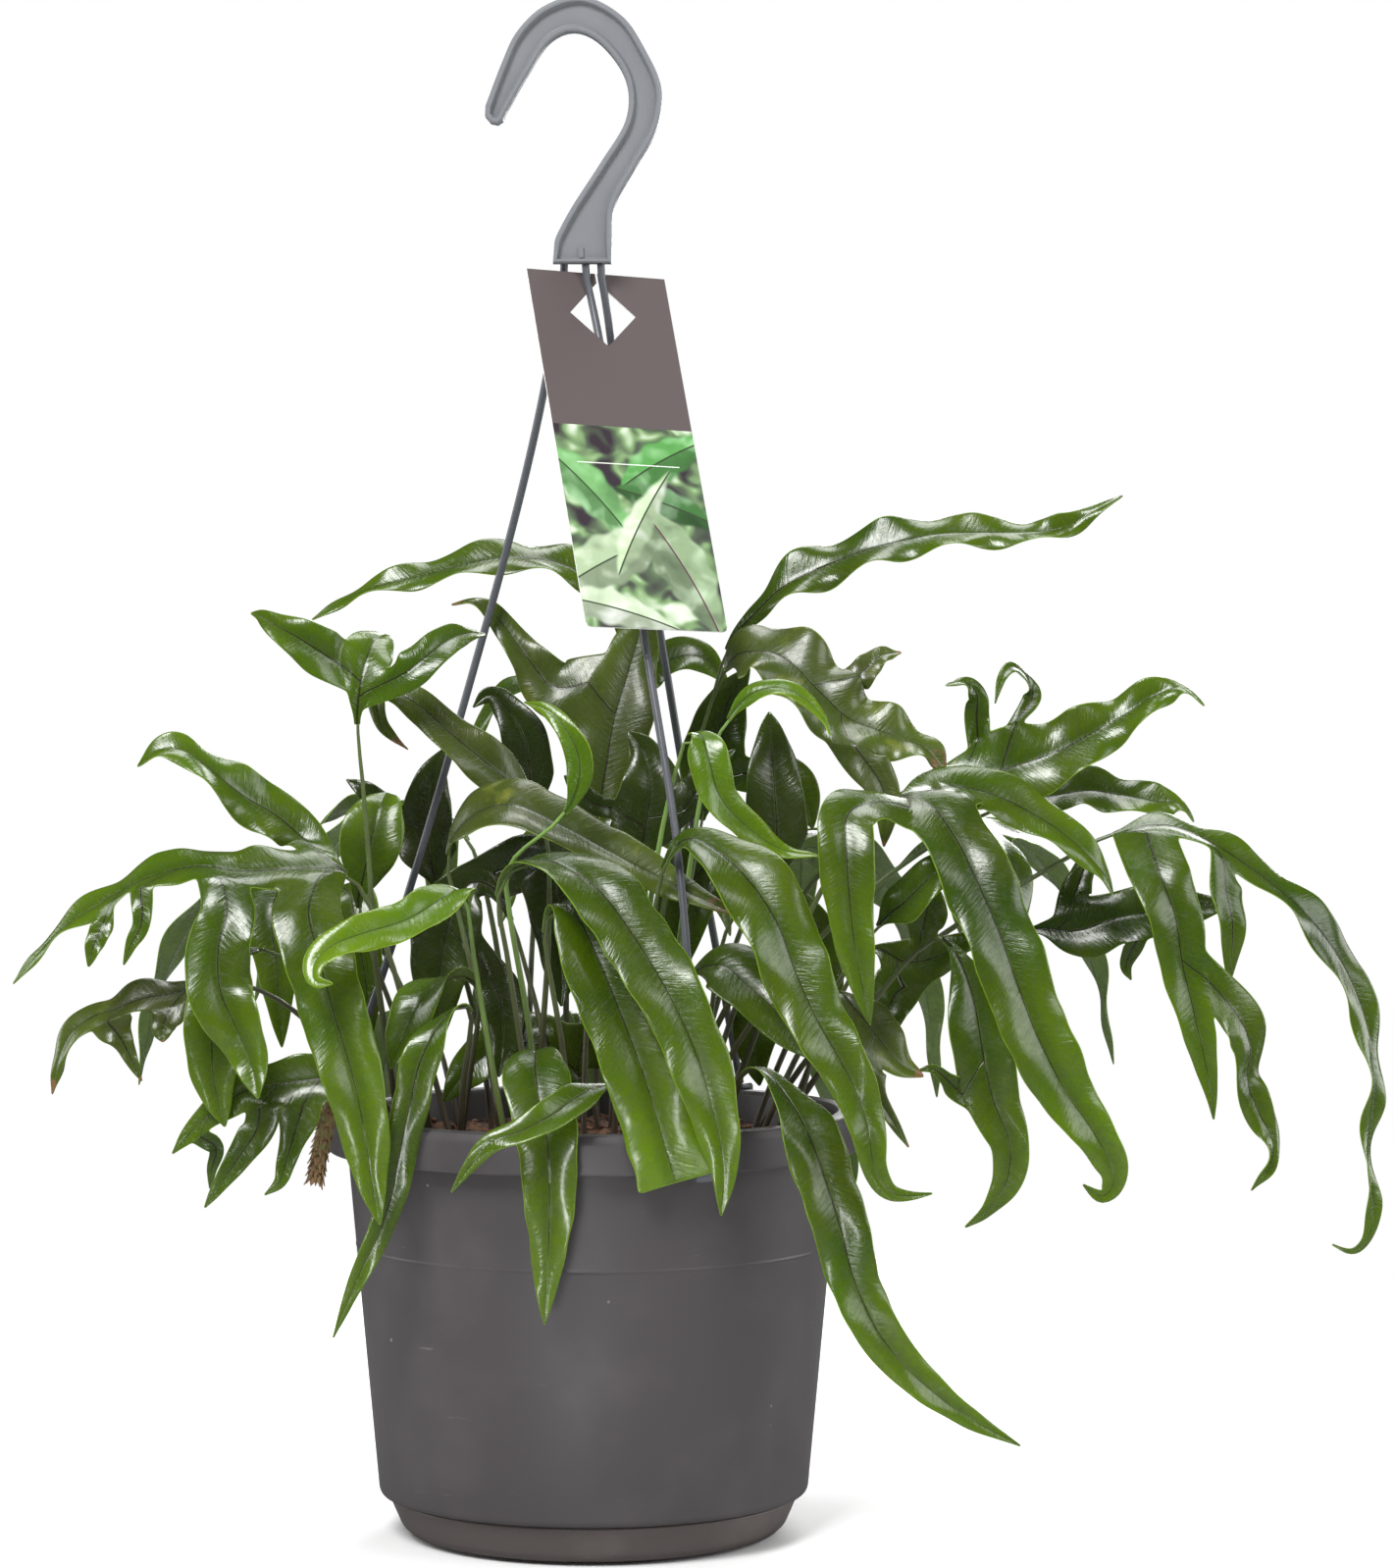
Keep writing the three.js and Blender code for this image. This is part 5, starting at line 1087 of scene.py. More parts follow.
    [(34, -6, 147), (60, -7, 199), (100, -8, 247), (140, -8, 277)],
    [(166, -8, 290), (182, -8, 292), (197, -7, 294), (211, -7, 292), (223, -8, 290), (232, -9, 289),
      (237, -10, 282)],
    [(0, -0.8, 0.6), (0.1, -0.6, 0.8), (0.2, -0.8, 0.5), (0.7, -0.5, 0.3)], 9, 24, stalk_steps=4, wave=2.6),
  "ruffled": Blade(
    [(16, 4, 147), (24, 0, 224), (38, -8, 299)],
    [(52, -16, 342), (65, -22, 349), (77, -28, 345), (88, -33, 334), (100, -36, 323), (116, -38, 317),
      (130, -38, 311), (138, -37, 301)],
    [(-0.2, -0.6, 0.8), (0.1, -0.8, 0.6), (0.1, -0.85, 0.5), (0.3, -0.7, 0.6)], 14, 31, stalk_steps=4,
      rise=0.12, wave=4, waves=4.5, blunt=4,
    lobes=[
      Lobe(-1, (6, 8), [(104, -29, 339), (112, -26, 347), (121, -23, 349)],
        [(0, -0.9, 0.4), (0, -0.7, 0.7)], 5, 12, wave=0.8),
      Lobe(1, (8, 10), [(112, -50, 298), (114, -51, 287), (113, -51, 274)],
        [(0, -1, 0.3), (0, -1, 0)], 6, 14, wave=0.8, waves=2),
    ]),
  "bright_hook": Blade(
    [(24, -20, 147), (30, -30, 204), (38, -42, 264), (45, -53, 306)],
    [(53, -58, 323), (62, -62, 333), (73, -64, 335), (82, -65, 331), (89, -66, 324), (92, -67, 317)],
    [(-0.2, -0.8, 0.6), (0, -0.7, 0.7), (0.5, -0.7, 0.5)], 8, 10, stalk_steps=4, wave=0.6, waves=2),
  "bright_fold": Blade(
    [(12, -30, 147), (18, -36, 214), (26, -44, 272), (33, -51, 304)],
    [(38, -56, 317), (43, -62, 316), (46, -66, 306), (50, -66, 293), (60, -62, 282), (74, -61, 273),
      (88, -62, 271)],
    [(-0.1, 0.1, 1), (0, -0.9, 0.4), (0.2, -0.9, 0.4), (0.2, -0.8, 0.6)], 9, 16, stalk_steps=4, rise=0.2,
      wave=1.4, waves=2),
  "dark_centre": Blade(
    [(38, -38, 147), (50, -42, 194), (64, -43, 234)],
    [(72, -42, 260), (72, -41, 279), (71, -40, 296), (70, -39, 312), (69, -38, 326)],
    [(0, -1, 0), (0, -1, 0.1)], 7, 25, wave=1.6, waves=2, blunt=3.5,
    lobes=[
      Lobe(-1, (2, 3), [(53, -40, 288), (46, -38, 295), (41, -36, 300)],
        [(0, -1, 0.1), (0, -1, 0.3)], 4, 12, wave=0.6),
    ]),
  "small_glossy": Blade(
    [(60, -44, 147), (75, -52, 184), (92, -60, 217)],
    [(110, -66, 244), (121, -68, 254), (130, -69, 263), (139, -68, 270), (146, -66, 274)],
    [(-0.3, -0.8, 0.5), (-0.3, -0.9, 0.3)], 7, 20, wave=1.4, waves=2),
  "dark_pair": Blade(
    [(70, -18, 147), (84, -22, 184), (98, -26, 216)],
    [(109, -28, 233), (123, -30, 228), (136, -30, 231), (151, -28, 240)],
    [(0, -1, 0.1), (0, -1, 0.1)], 6, 20, wave=1, waves=2,
    lobes=[
      Lobe(-1, (2, 4), [(130, -33, 246), (131, -35, 253), (132, -36, 260)],
        [(0, -1, 0.1), (0, -0.9, 0.4)], 5, 18, wave=0.8, blunt=4),
      Lobe(1, (1, 3), [(118, -32, 215), (114, -34, 204), (115, -35, 192)],
        [(0, -1, 0.1), (0, -1, 0)], 5, 15, wave=0.8),
    ]),
  "right_dark": Blade(
    [(64, 6, 147), (100, 2, 194), (138, -2, 226)],
    [(172, -6, 239), (190, -8, 239), (207, -10, 244), (224, -12, 247), (240, -14, 249), (254, -14, 251)],
    [(0, -1, 0.2), (0, -0.9, 0.4)], 9, 26, stalk_steps=4, wave=1.6, waves=2,
    lobes=[
      Lobe(-1, (1, 3), [(193, -3, 260), (196, 0, 267), (199, 2, 273)],
        [(0, -1, 0.2), (0, -1, 0.4)], 4, 11, wave=0.5),
      Lobe(1, (4, 5), [(210, -13, 226), (212, -14, 220)],
        [(0, -1, 0.2), (0, -1, 0.2)], 3, 7, wave=0.3),
    ]),
  "bright_crossing": Blade(
    [(-30, -56, 147), (-38, -64, 194), (-44, -70, 232)],
    [(-46, -75, 251), (-49, -84, 259), (-58, -92, 254), (-69, -99, 248), (-83, -105, 244),
      (-94, -109, 240), (-101, -112, 234), (-101, -116, 227), (-94, -118, 226)],
    [(0, 0.4, 0.9), (0, -0.9, 0.45), (-0.1, -0.9, 0.4), (-0.4, -0.9, 0)], 12, 17, rise=0.2, wave=1,
      blunt=4),
  "left_low": Blade(
    [(-74, -6, 147), (-96, -12, 186), (-118, -20, 209), (-136, -26, 219)],
    [(-149, -31, 220), (-163, -34, 216), (-175, -35, 214), (-185, -36, 210), (-194, -36, 207),
      (-202, -36, 201), (-207, -36, 191), (-210, -36, 177)],
    [(0, -0.7, 0.7), (-0.1, -0.6, 0.8), (-0.4, -0.7, 0.5)], 10, 17, stalk_steps=4, rise=0.2, wave=1.6,
    lobes=[
      Lobe(-1, (1, 3), [(-166, -42, 204), (-166, -44, 198)],
        [(0, -0.8, 0.6), (0, -1, 0.2)], 3, 11, wave=0.5, blunt=4),
      Lobe(-1, (4, 6), [(-182, -43, 199), (-178, -44, 191), (-174, -45, 183)],
        [(0, -0.8, 0.6), (0, -1, 0.1)], 5, 8, wave=0.5),
    ]),
  "left_behind": Blade(
    [(-80, -14, 147), (-93, -34, 191), (-112, -52, 226)],
    [(-127, -61, 235), (-138, -66, 229), (-143, -69, 215), (-144, -71, 200), (-143, -72, 185),
      (-139, -72, 168)],
    [(-0.2, -0.6, 0.75), (0, -1, 0.1), (0, -1, 0)], 8, 23, wave=1, waves=2, blunt=4),
  "left_fingers": Blade(
    [(-66, -48, 147), (-75, -57, 170)],
    [(-86, -63, 184), (-97, -65, 186), (-110, -65, 185), (-122, -65, 183), (-132, -65, 181),
      (-140, -65, 176), (-150, -65, 168), (-160, -65, 157)],
    [(0, -0.9, 0.4), (0, -0.9, 0.4)], 10, 20, stalk_steps=2, rise=0.2, wave=1,
    lobes=[
      Lobe(-1, (2, 4), [(-113, -70, 164), (-116, -71, 154), (-118, -72, 147), (-124, -72, 142)],
        [(0, -1, 0.3), (0, -1, 0)], 5, 10, wave=0.5),
      Lobe(-1, (4, 6), [(-127, -69, 167), (-134, -70, 156), (-141, -71, 146), (-147, -71, 137)],
        [(0, -1, 0.3), (0, -1, 0)], 5, 11, wave=0.5),
      Lobe(-1, (8, 9), [(-143, -65, 159), (-145, -63, 151), (-146, -61, 143)],
        [(0, -1, 0.3), (0, -1, 0)], 4, 6, wave=0.3),
    ]),
  "left_narrow": Blade(
    [(-50, -58, 147), (-49, -64, 179), (-46, -70, 200)],
    [(-45, -75, 212), (-49, -80, 215), (-57, -86, 207), (-64, -88, 193), (-67, -88, 179), (-71, -88, 162),
      (-74, -88, 146), (-79, -87, 130), (-88, -86, 111), (-97, -84, 89)],
    [(0, 0.5, 0.85), (0.2, -0.9, 0.4), (0.3, -1, 0.1), (0.2, -1, 0.1)], 12, 15, rise=0.2, wave=1, waves=4),
  "left_broad": Blade(
    [(-52, -44, 147), (-47, -48, 184), (-43, -54, 210)],
    [(-43, -58, 220), (-49, -62, 225), (-58, -65, 222), (-67, -68, 211), (-76, -70, 190)],
    [(0, 0.5, 0.85), (0.1, -0.9, 0.4)], 7, 24, rise=0.35, wave=1, waves=2, blunt=3),
  "front_centre": Blade(
    [(-14, -62, 147), (-16, -66, 172)],
    [(-18, -73, 190), (-20, -83, 198), (-20, -95, 193), (-18, -104, 182), (-15, -111, 168),
      (-14, -113, 152), (-14, -113, 135), (-15, -112, 117), (-16, -111, 98)],
    [(0, 0.5, 0.85), (0, -0.9, 0.4), (0, -1, 0), (0, -1, 0)], 13, 26, stalk_steps=2, rise=0.25, wave=1.2),
  "front_crossing": Blade(
    [(10, -64, 147), (13, -71, 167)],
    [(14, -80, 181), (7, -95, 186), (-2, -111, 184), (-12, -122, 178), (-24, -126, 172), (-35, -127, 168),
      (-43, -126, 159), (-50, -124, 149)],
    [(0, 0.4, 0.9), (0, -0.8, 0.6), (0.1, -0.9, 0.4), (0.2, -0.9, 0.3)], 11, 15, stalk_steps=2, rise=0.5,
      wave=1, waves=2),
  "shadow_right": Blade(
    [(34, -46, 147), (36, -50, 184), (36, -53, 208)],
    [(38, -57, 224), (50, -64, 229), (60, -70, 222), (70, -75, 213), (86, -80, 194)],
    [(0, -0.6, 0.8), (0, -0.9, 0.4)], 8, 28, rise=0.3, wave=1, waves=2, blunt=3),
  "grey_right": Blade(
    [(72, -40, 147), (82, -55, 182), (88, -65, 204)],
    [(94, -71, 219), (102, -77, 212), (110, -80, 202), (118, -81, 193), (127, -80, 188)],
    [(0.2, -0.8, 0.6), (0.3, -0.8, 0.5)], 7, 24, rise=0.4, wave=1, waves=2,
    lobes=[
      Lobe(1, (3, 5), [(108, -88, 184), (113, -89, 175), (121, -89, 162)],
        [(0.2, -0.9, 0.3), (0, -1, 0)], 4, 7, wave=0.4),
    ]),
  "left_upright": Blade(
    [(-62, -14, 147), (-72, -16, 189), (-84, -22, 224)],
    [(-91, -28, 249), (-89, -29, 262), (-86, -29, 276), (-83, -26, 288), (-81, -18, 294)],
    [(0, -1, 0), (0, -1, 0.1), (0, -0.6, 0.8)], 7, 25, rise=0.5, wave=1.2, waves=2, blunt=6),
  "left_dark": Blade(
    [(-40, 16, 147), (-46, 18, 194), (-56, 20, 232)],
    [(-63, 20, 254), (-67, 21, 271), (-67, 21, 287), (-65, 21, 300), (-60, 21, 311)],
    [(0, -1, 0), (0, -1, 0.1)], 7, 24, wave=1.6, waves=2,
    lobes=[
      Lobe(-1, (3, 4), [(-86, 23, 288), (-93, 24, 294), (-100, 25, 298)],
        [(0, -1, 0.1), (0, -1, 0.3)], 5, 12, wave=0.6),
    ]),
  "centre_dark": Blade(
    [(-24, 14, 147), (-26, 17, 204), (-24, 19, 254)],
    [(-24, 20, 282), (-26, 21, 300), (-28, 22, 314), (-34, 24, 325), (-42, 25, 332), (-49, 24, 327)],
    [(0, -1, 0), (0, -1, 0.2)], 8, 21, wave=1.2, waves=2),
  "shade_centre": Blade(
    [(8, -18, 147), (10, -18, 194), (13, -19, 239)],
    [(18, -20, 266), (21, -20, 282), (23, -20, 297), (20, -18, 310), (14, -16, 318)],
    [(0, -1, 0.1), (0, -1, 0.1)], 7, 29, wave=1.6, waves=2,
    lobes=[
      Lobe(1, (2, 4), [(43, -22, 298), (50, -23, 306), (56, -24, 311)],
        [(0, -1, 0.1), (0, -1, 0.3)], 5, 13, wave=0.6),
      Lobe(-1, (2, 3), [(0, -23, 290), (-6, -24, 296), (-11, -25, 301)],
        [(0, -1, 0.1), (0, -1, 0.3)], 4, 11, wave=0.6),
    ]),
  "inner_left": Blade(
    [(-14, 3, 147), (-20, 6, 194), (-28, 8, 226)],
    [(-33, 9, 242), (-40, 9, 255), (-49, 8, 257), (-56, 7, 247), (-60, 6, 231), (-62, 5, 213),
      (-60, 5, 196)],
    [(0, -1, 0.1), (0, -1, 0.3), (0, -1, 0), (0, -1, 0)], 10, 34, rise=0.6, wave=1.6, blunt=3,
    lobes=[
      Lobe(1, (1, 3), [(-26, 10, 266), (-20, 9, 266), (-15, 8, 253), (-13, 7, 233), (-13, 6, 208)],
        [(0, -1, 0.3), (0, -1, 0.1), (0, -1, 0)], 7, 28, wave=1.4, waves=2, blunt=3),
      Lobe(-1, (5, 7), [(-41, 6, 219), (-37, 5, 209), (-36, 4, 196), (-38, 4, 180)],
        [(0, -1, 0.1), (0, -1, 0)], 6, 22, wave=1, waves=2),
    ]),
  "inner_right": Blade(
    [(44, 16, 147), (46, 17, 194), (50, 16, 228)],
    [(56, 16, 244), (65, 15, 253), (75, 14, 251), (83, 13, 240), (88, 12, 225), (91, 12, 208),
      (91, 12, 192)],
    [(0, -1, 0.1), (0, -1, 0.3), (0, -1, 0), (0, -1, 0)], 10, 29, rise=0.6, wave=1.6, blunt=3,
    lobes=[
      Lobe(-1, (1, 3), [(52, 16, 262), (45, 16, 264), (38, 15, 255), (34, 14, 238), (32, 14, 216)],
        [(0, -1, 0.3), (0, -1, 0.1), (0, -1, 0)], 7, 29, wave=1.4, waves=2, blunt=3),
      Lobe(1, (5, 7), [(70, 12, 217), (66, 11, 206), (64, 10, 192), (66, 10, 176)],
        [(0, -1, 0.1), (0, -1, 0)], 6, 23, wave=1, waves=2),
    ]),
  "inner_low": Blade(
    [(2, 10, 147), (1, 11, 162)],
    [(-2, 11, 174), (-12, 10, 186), (-25, 9, 193), (-39, 8, 191), (-51, 7, 182), (-60, 5, 170)],
    [(0, -1, 0.1), (0, -1, 0.2), (0, -1, 0)], 10, 27, stalk_steps=2, rise=0.3, wave=1.4, blunt=3,
    lobes=[
      Lobe(1, (1, 3), [(5, 12, 194), (15, 13, 203), (27, 13, 204), (38, 13, 196), (46, 12, 184),
        (51, 11, 172)],
        [(0, -1, 0.3), (0, -1, 0.1), (0, -1, 0)], 8, 24, wave=1.4, waves=2, blunt=3),
    ]),
  "inner_high": Blade(
    [(26, -8, 147), (30, -6, 204), (38, 1, 256)],
    [(43, 10, 282), (46, 9, 299), (49, 8, 316), (54, 8, 331), (62, 7, 343)],
    [(0, -1, 0.1), (0, -1, 0.1), (0, -0.9, 0.4)], 9, 29, stalk_steps=4, rise=0.35, wave=1.8, waves=2,
    lobes=[
      Lobe(1, (2, 4), [(64, 7, 300), (75, 5, 300), (83, 4, 292), (87, 4, 279)],
        [(0, -1, 0.3), (0, -1, 0.2), (0.1, -1, 0)], 6, 20, wave=1.2, waves=2, blunt=3),
    ]),
  "back_left_high": Blade(
    [(-30, 34, 147), (-36, 42, 200), (-44, 53, 246)],
    [(-53, 64, 272), (-72, 82, 286), (-96, 102, 281), (-120, 120, 259), (-138, 132, 230),
      (-148, 138, 200)],
    [(0.4, -0.4, 0.8), (-0.5, 0.5, 0.7), (-0.7, 0.7, 0.2)], 10, 26, waves=4,
    lobes=[
      Lobe(-1, (3, 4), [(-94, 68, 285), (-103, 60, 285), (-111, 54, 281), (-116, 50, 273)],
        [(-0.3, 0.1, 0.9), (-0.8, 0.1, 0.5)], 5, 19, wave=1.4, waves=2),
      Lobe(1, (3, 4), [(-72, 119, 280), (-69, 133, 267), (-69, 143, 246), (-70, 148, 224)],
        [(-0.1, 0.5, 0.8), (0, 1, 0.3)], 5, 19, wave=1.4, waves=2),
    ]),
  "back_centre": Blade(
    [(0, 44, 147), (0, 56, 204), (2, 70, 249)],
    [(4, 84, 271), (6, 106, 279), (8, 130, 266), (8, 147, 236), (8, 155, 200), (6, 158, 164)],
    [(0, -0.5, 0.85), (0, 0.7, 0.7), (0, 1, 0.1)], 10, 28, wave=1.8, waves=4,
    lobes=[
      Lobe(1, (1, 3), [(24, 110, 276), (38, 108, 267), (49, 107, 251), (55, 106, 230)],
        [(0.1, -0.3, 0.9), (0.6, -0.7, 0.4)], 5, 21, wave=1.4, waves=2),
      Lobe(-1, (1, 3), [(-11, 106, 278), (-25, 104, 270), (-36, 103, 254), (-42, 102, 234)],
        [(-0.1, -0.3, 0.9), (-0.6, -0.7, 0.4)], 5, 21, wave=1.4, waves=2),
    ]),
  "back_right": Blade(
    [(34, 40, 147), (47, 43, 199), (62, 53, 244)],
    [(76, 66, 267), (96, 84, 274), (116, 102, 258), (132, 116, 228), (140, 124, 194), (143, 127, 160)],
    [(-0.4, -0.4, 0.8), (0.5, 0.5, 0.7), (0.7, 0.7, 0.1)], 10, 26, waves=4,
    lobes=[
      Lobe(-1, (3, 5), [(88, 111, 268), (85, 127, 252), (84, 136, 231), (84, 140, 210)],
        [(0.1, 0.6, 0.8), (0.1, 1, 0.2)], 5, 18, wave=1.2, waves=2),
    ]),
  "back_low_left": Blade(
    [(-54, 44, 147), (-60, 52, 172)],
    [(-66, 62, 190), (-76, 78, 200), (-86, 95, 190), (-93, 105, 164), (-97, 109, 134), (-100, 111, 102)],
    [(0.4, -0.4, 0.8), (-0.5, 0.7, 0.6), (-0.6, 0.8, 0.1)], 9, 25, stalk_steps=2, wave=1.4, waves=4),
  "back_low_right": Blade(
    [(50, 50, 147), (56, 54, 171)],
    [(65, 60, 190), (78, 71, 200), (90, 86, 190), (98, 98, 164), (102, 104, 132), (104, 106, 96)],
    [(-0.4, -0.4, 0.8), (0.6, 0.6, 0.6), (0.7, 0.7, 0.1)], 9, 24, stalk_steps=2, wave=1.4, waves=4),
  "back_low_centre": Blade(
    [(-6, 62, 147), (-8, 71, 172)],
    [(-8, 83, 191), (-8, 99, 198), (-8, 114, 185), (-8, 122, 158), (-6, 125, 126), (-4, 126, 92)],
    [(0, -0.5, 0.85), (0, 0.8, 0.6), (0, 1, 0.1)], 9, 26, stalk_steps=2, wave=1.4, waves=4),
  "back_far_left": Blade(
    [(-56, 20, 147), (-70, 28, 194), (-88, 38, 232)],
    [(-104, 46, 252), (-128, 56, 260), (-152, 64, 252), (-172, 70, 230), (-184, 74, 200),
      (-190, 76, 170)],
    [(0.5, -0.2, 0.8), (-0.5, 0.3, 0.8), (-0.9, 0.3, 0.2)], 10, 26, waves=4,
    lobes=[
      Lobe(-1, (2, 4), [(-128, 31, 256), (-130, 21, 244), (-127, 15, 221), (-125, 13, 191)],
        [(-0.3, -0.6, 0.8), (0, -1, 0.1)], 6, 24, wave=1.4, waves=2),
      Lobe(-1, (0, 1), [(-99, 26, 252), (-96, 19, 240), (-92, 16, 220), (-89, 15, 196)],
        [(0, -0.7, 0.7), (0, -1, 0.1)], 6, 24, wave=1.4, waves=2),
    ]),
  "back_far_right": Blade(
    [(60, 24, 147), (80, 34, 196), (104, 44, 236)],
    [(122, 52, 260), (146, 62, 276), (170, 70, 274), (192, 76, 250), (206, 80, 216), (214, 82, 178)],
    [(-0.5, -0.2, 0.8), (0.5, 0.3, 0.8), (0.9, 0.3, 0.2)], 10, 26, waves=4,
    lobes=[
      Lobe(1, (3, 4), [(160, 38, 277), (166, 26, 268), (170, 18, 250), (172, 14, 226)],
        [(0.3, -0.2, 0.9), (0.8, -0.4, 0.3)], 5, 24, wave=1.4, waves=2),
      Lobe(-1, (2, 3), [(151, 90, 274), (151, 104, 256), (152, 112, 230)],
        [(0.1, 0.4, 0.9), (0.2, 0.9, 0.3)], 5, 17, wave=1.4, waves=2),
    ]),
  "back_high": Blade(
    [(-12, 30, 147), (-12, 41, 224), (-11, 52, 282)],
    [(-9, 62, 311), (-5, 80, 332), (-1, 102, 337), (3, 123, 323), (5, 138, 295), (6, 146, 262)],
    [(0, -0.4, 0.9), (0, 0.5, 0.8), (0, 1, 0.2)], 10, 27, stalk_steps=4, wave=2.2, waves=4,
    lobes=[
      Lobe(1, (2, 4), [(17, 92, 339), (29, 88, 346), (42, 84, 347), (54, 80, 336)],
        [(0.1, -0.6, 0.8), (0.3, -0.9, 0.3)], 5, 23, wave=1.4, waves=2),
      Lobe(-1, (2, 4), [(-19, 88, 336), (-33, 84, 335), (-45, 81, 325), (-52, 79, 310)],
        [(-0.1, 0, 1), (-0.6, -0.6, 0.5)], 5, 19, wave=1.4, waves=2),
    ]),
}

# Which fronds take which colours; the fronds under SHADED, and in part those under OLD, sit deep in the
# plant and take darker colours as painted shade.
AGES_AND_SHADE: dict[AgeAndShade, tuple[str, ...]] = {
    AgeAndShade.YOUNG: ("bright_narrow", "bright_hook", "bright_fold", "bright_crossing"),
    AgeAndShade.OLD: ("dark_centre", "left_dark", "centre_dark", "shade_centre", "inner_left"),
    AgeAndShade.SHADED: ("dark_pair", "right_dark", "shadow_right", "inner_right", "inner_low", "inner_high"),
    AgeAndShade.DULL: ("crest_lobed", "dried_tip", "front_grey", "ruffled", "left_low", "grey_right"),
}

STALK_W = 2.4  # width of a stalk where it meets its blade
BLADE_T = 0.6  # thickness of a blade
SEAM = 0.0005  # vertices of a lobe and its parent that are closer than this are one
REFINE = 4  # rows and columns made for each one of the drawing
COLUMNS = (-1.0, -0.76, -0.48, -0.16, 0.0, 0.16, 0.48, 0.76, 1.0)


class Ribbon:
    """The middle surface of a blade or lobe: b from 0 to 1 along the rib and q from -1 to 1 across."""

    THINNEST = 0.35  # half the least width, at the tip
    RAGGED = 0.1  # how far the edge wanders, as a share of the width
    ARCH = 0.11  # how high the blade arches on each side of the rib, as a share of half the width
    LAG = 1.9  # how far the waves of one side run behind those of the other, in radians

    def __init__(
        self, leaf: Blade | Lobe, line: Line, start: float, foot: float, rise: float, seed: float,
    ) -> None:
        """Keeps the shape."""
        self.leaf, self.line, self.start = leaf, line, start
        self.foot, self.rise, self.seed = foot, rise, seed
        self.length = line.length * (1 - start)

    def half_width(self, b: float) -> float:
        """Half the width at b, which rises from the foot and tapers to the tip."""
        leaf = self.leaf
        taper = 1.0 if leaf.cut else (1 - min(b, 1.0) ** leaf.blunt) ** 0.85
        full = self.foot + (leaf.width / 2 - self.foot) * ease(b / self.rise)
        wander = noise.noise(Vector((b * self.length / 10, self.seed, 0))) * ease(b / 0.2)
        return max(full * taper * (1 + self.RAGGED * wander), self.THINNEST)

    def lift(self, b: float, q: float) -> float:
        """Tells how far a point stands off the flat.

        Args:
            b: Its place along the rib.
            q: Its place across.

        Returns:
            The height of the fold along the rib, the waves and the fine crinkle together.
        """
        leaf = self.leaf
        half = self.half_width(b)
        swing = math.sin(FULL_TURN * (leaf.waves * b + leaf.phase) + (self.LAG if q > 0 else 0))
        body = leaf.cup * half + leaf.wave * swing * ease(b / 0.2) * ease((1 - b) / 0.15)
        fade = ease(b / 0.12) * ease((1 - b) / 0.1)
        spot = Vector((b * self.length / 17, q * half / 14, self.seed))
        crinkle = noise.noise(spot) * 1.5 * abs(q) ** 2 + noise.noise(spot * 2.1) * 0.3 * min(abs(q) * 3, 1)
        arch = self.ARCH * half * math.sin(math.pi * min(abs(q), 1.0))
        return body * abs(q) ** 1.7 + (crinkle * min(half / 8, 1) + arch) * fade

    def frame(self, b: float) -> tuple[Vector, Vector, Vector]:
        """Finds the blade's own directions.

        Args:
            b: The place along the rib.

        Returns:
            The rib's point, the direction across the blade and the upper side's normal.
        """
        share = min(max(self.start + b * (1 - self.start), 0.0), 1.0)
        along = self.line.tangent(share)
        place = min(max(b, 0.0), 1.0) * (len(self.leaf.face) - 1)
        i = min(int(place), len(self.leaf.face) - 2)
        facing = Vector(self.leaf.face[i]).lerp(Vector(self.leaf.face[i + 1]), place - i)
        across = along.cross(facing).normalized()
        return self.line.point(share), across, across.cross(along)

    def spot(self, b: float, q: float) -> Vector:
        """The middle surface's point at b and q."""
        centre, across, normal = self.frame(b)
        return centre + across * q * self.half_width(b) + normal * self.lift(b, q)


@dataclass(frozen=True)
class Fork:
    """Where a lobe's rib leaves its parent's rib and where it crosses the edge, as b, and on which side."""

    rib: float
    edge: float
    side: int

    def gap(self, b: float) -> float:
        """How far a place along the parent is from the fork's middle."""
        return abs((self.rib + self.edge) / 2 - b)

    def distance(self, ribbon: Ribbon, b: float, q: float) -> float:
        """Measures how far a point of the parent is from the lobe's rib."""
        run = (self.edge - self.rib) * ribbon.length
        lean = math.atan2(run, max(ribbon.half_width(b), 1))
        return ((b - self.rib) * ribbon.length - abs(q) * run) * math.cos(lean)


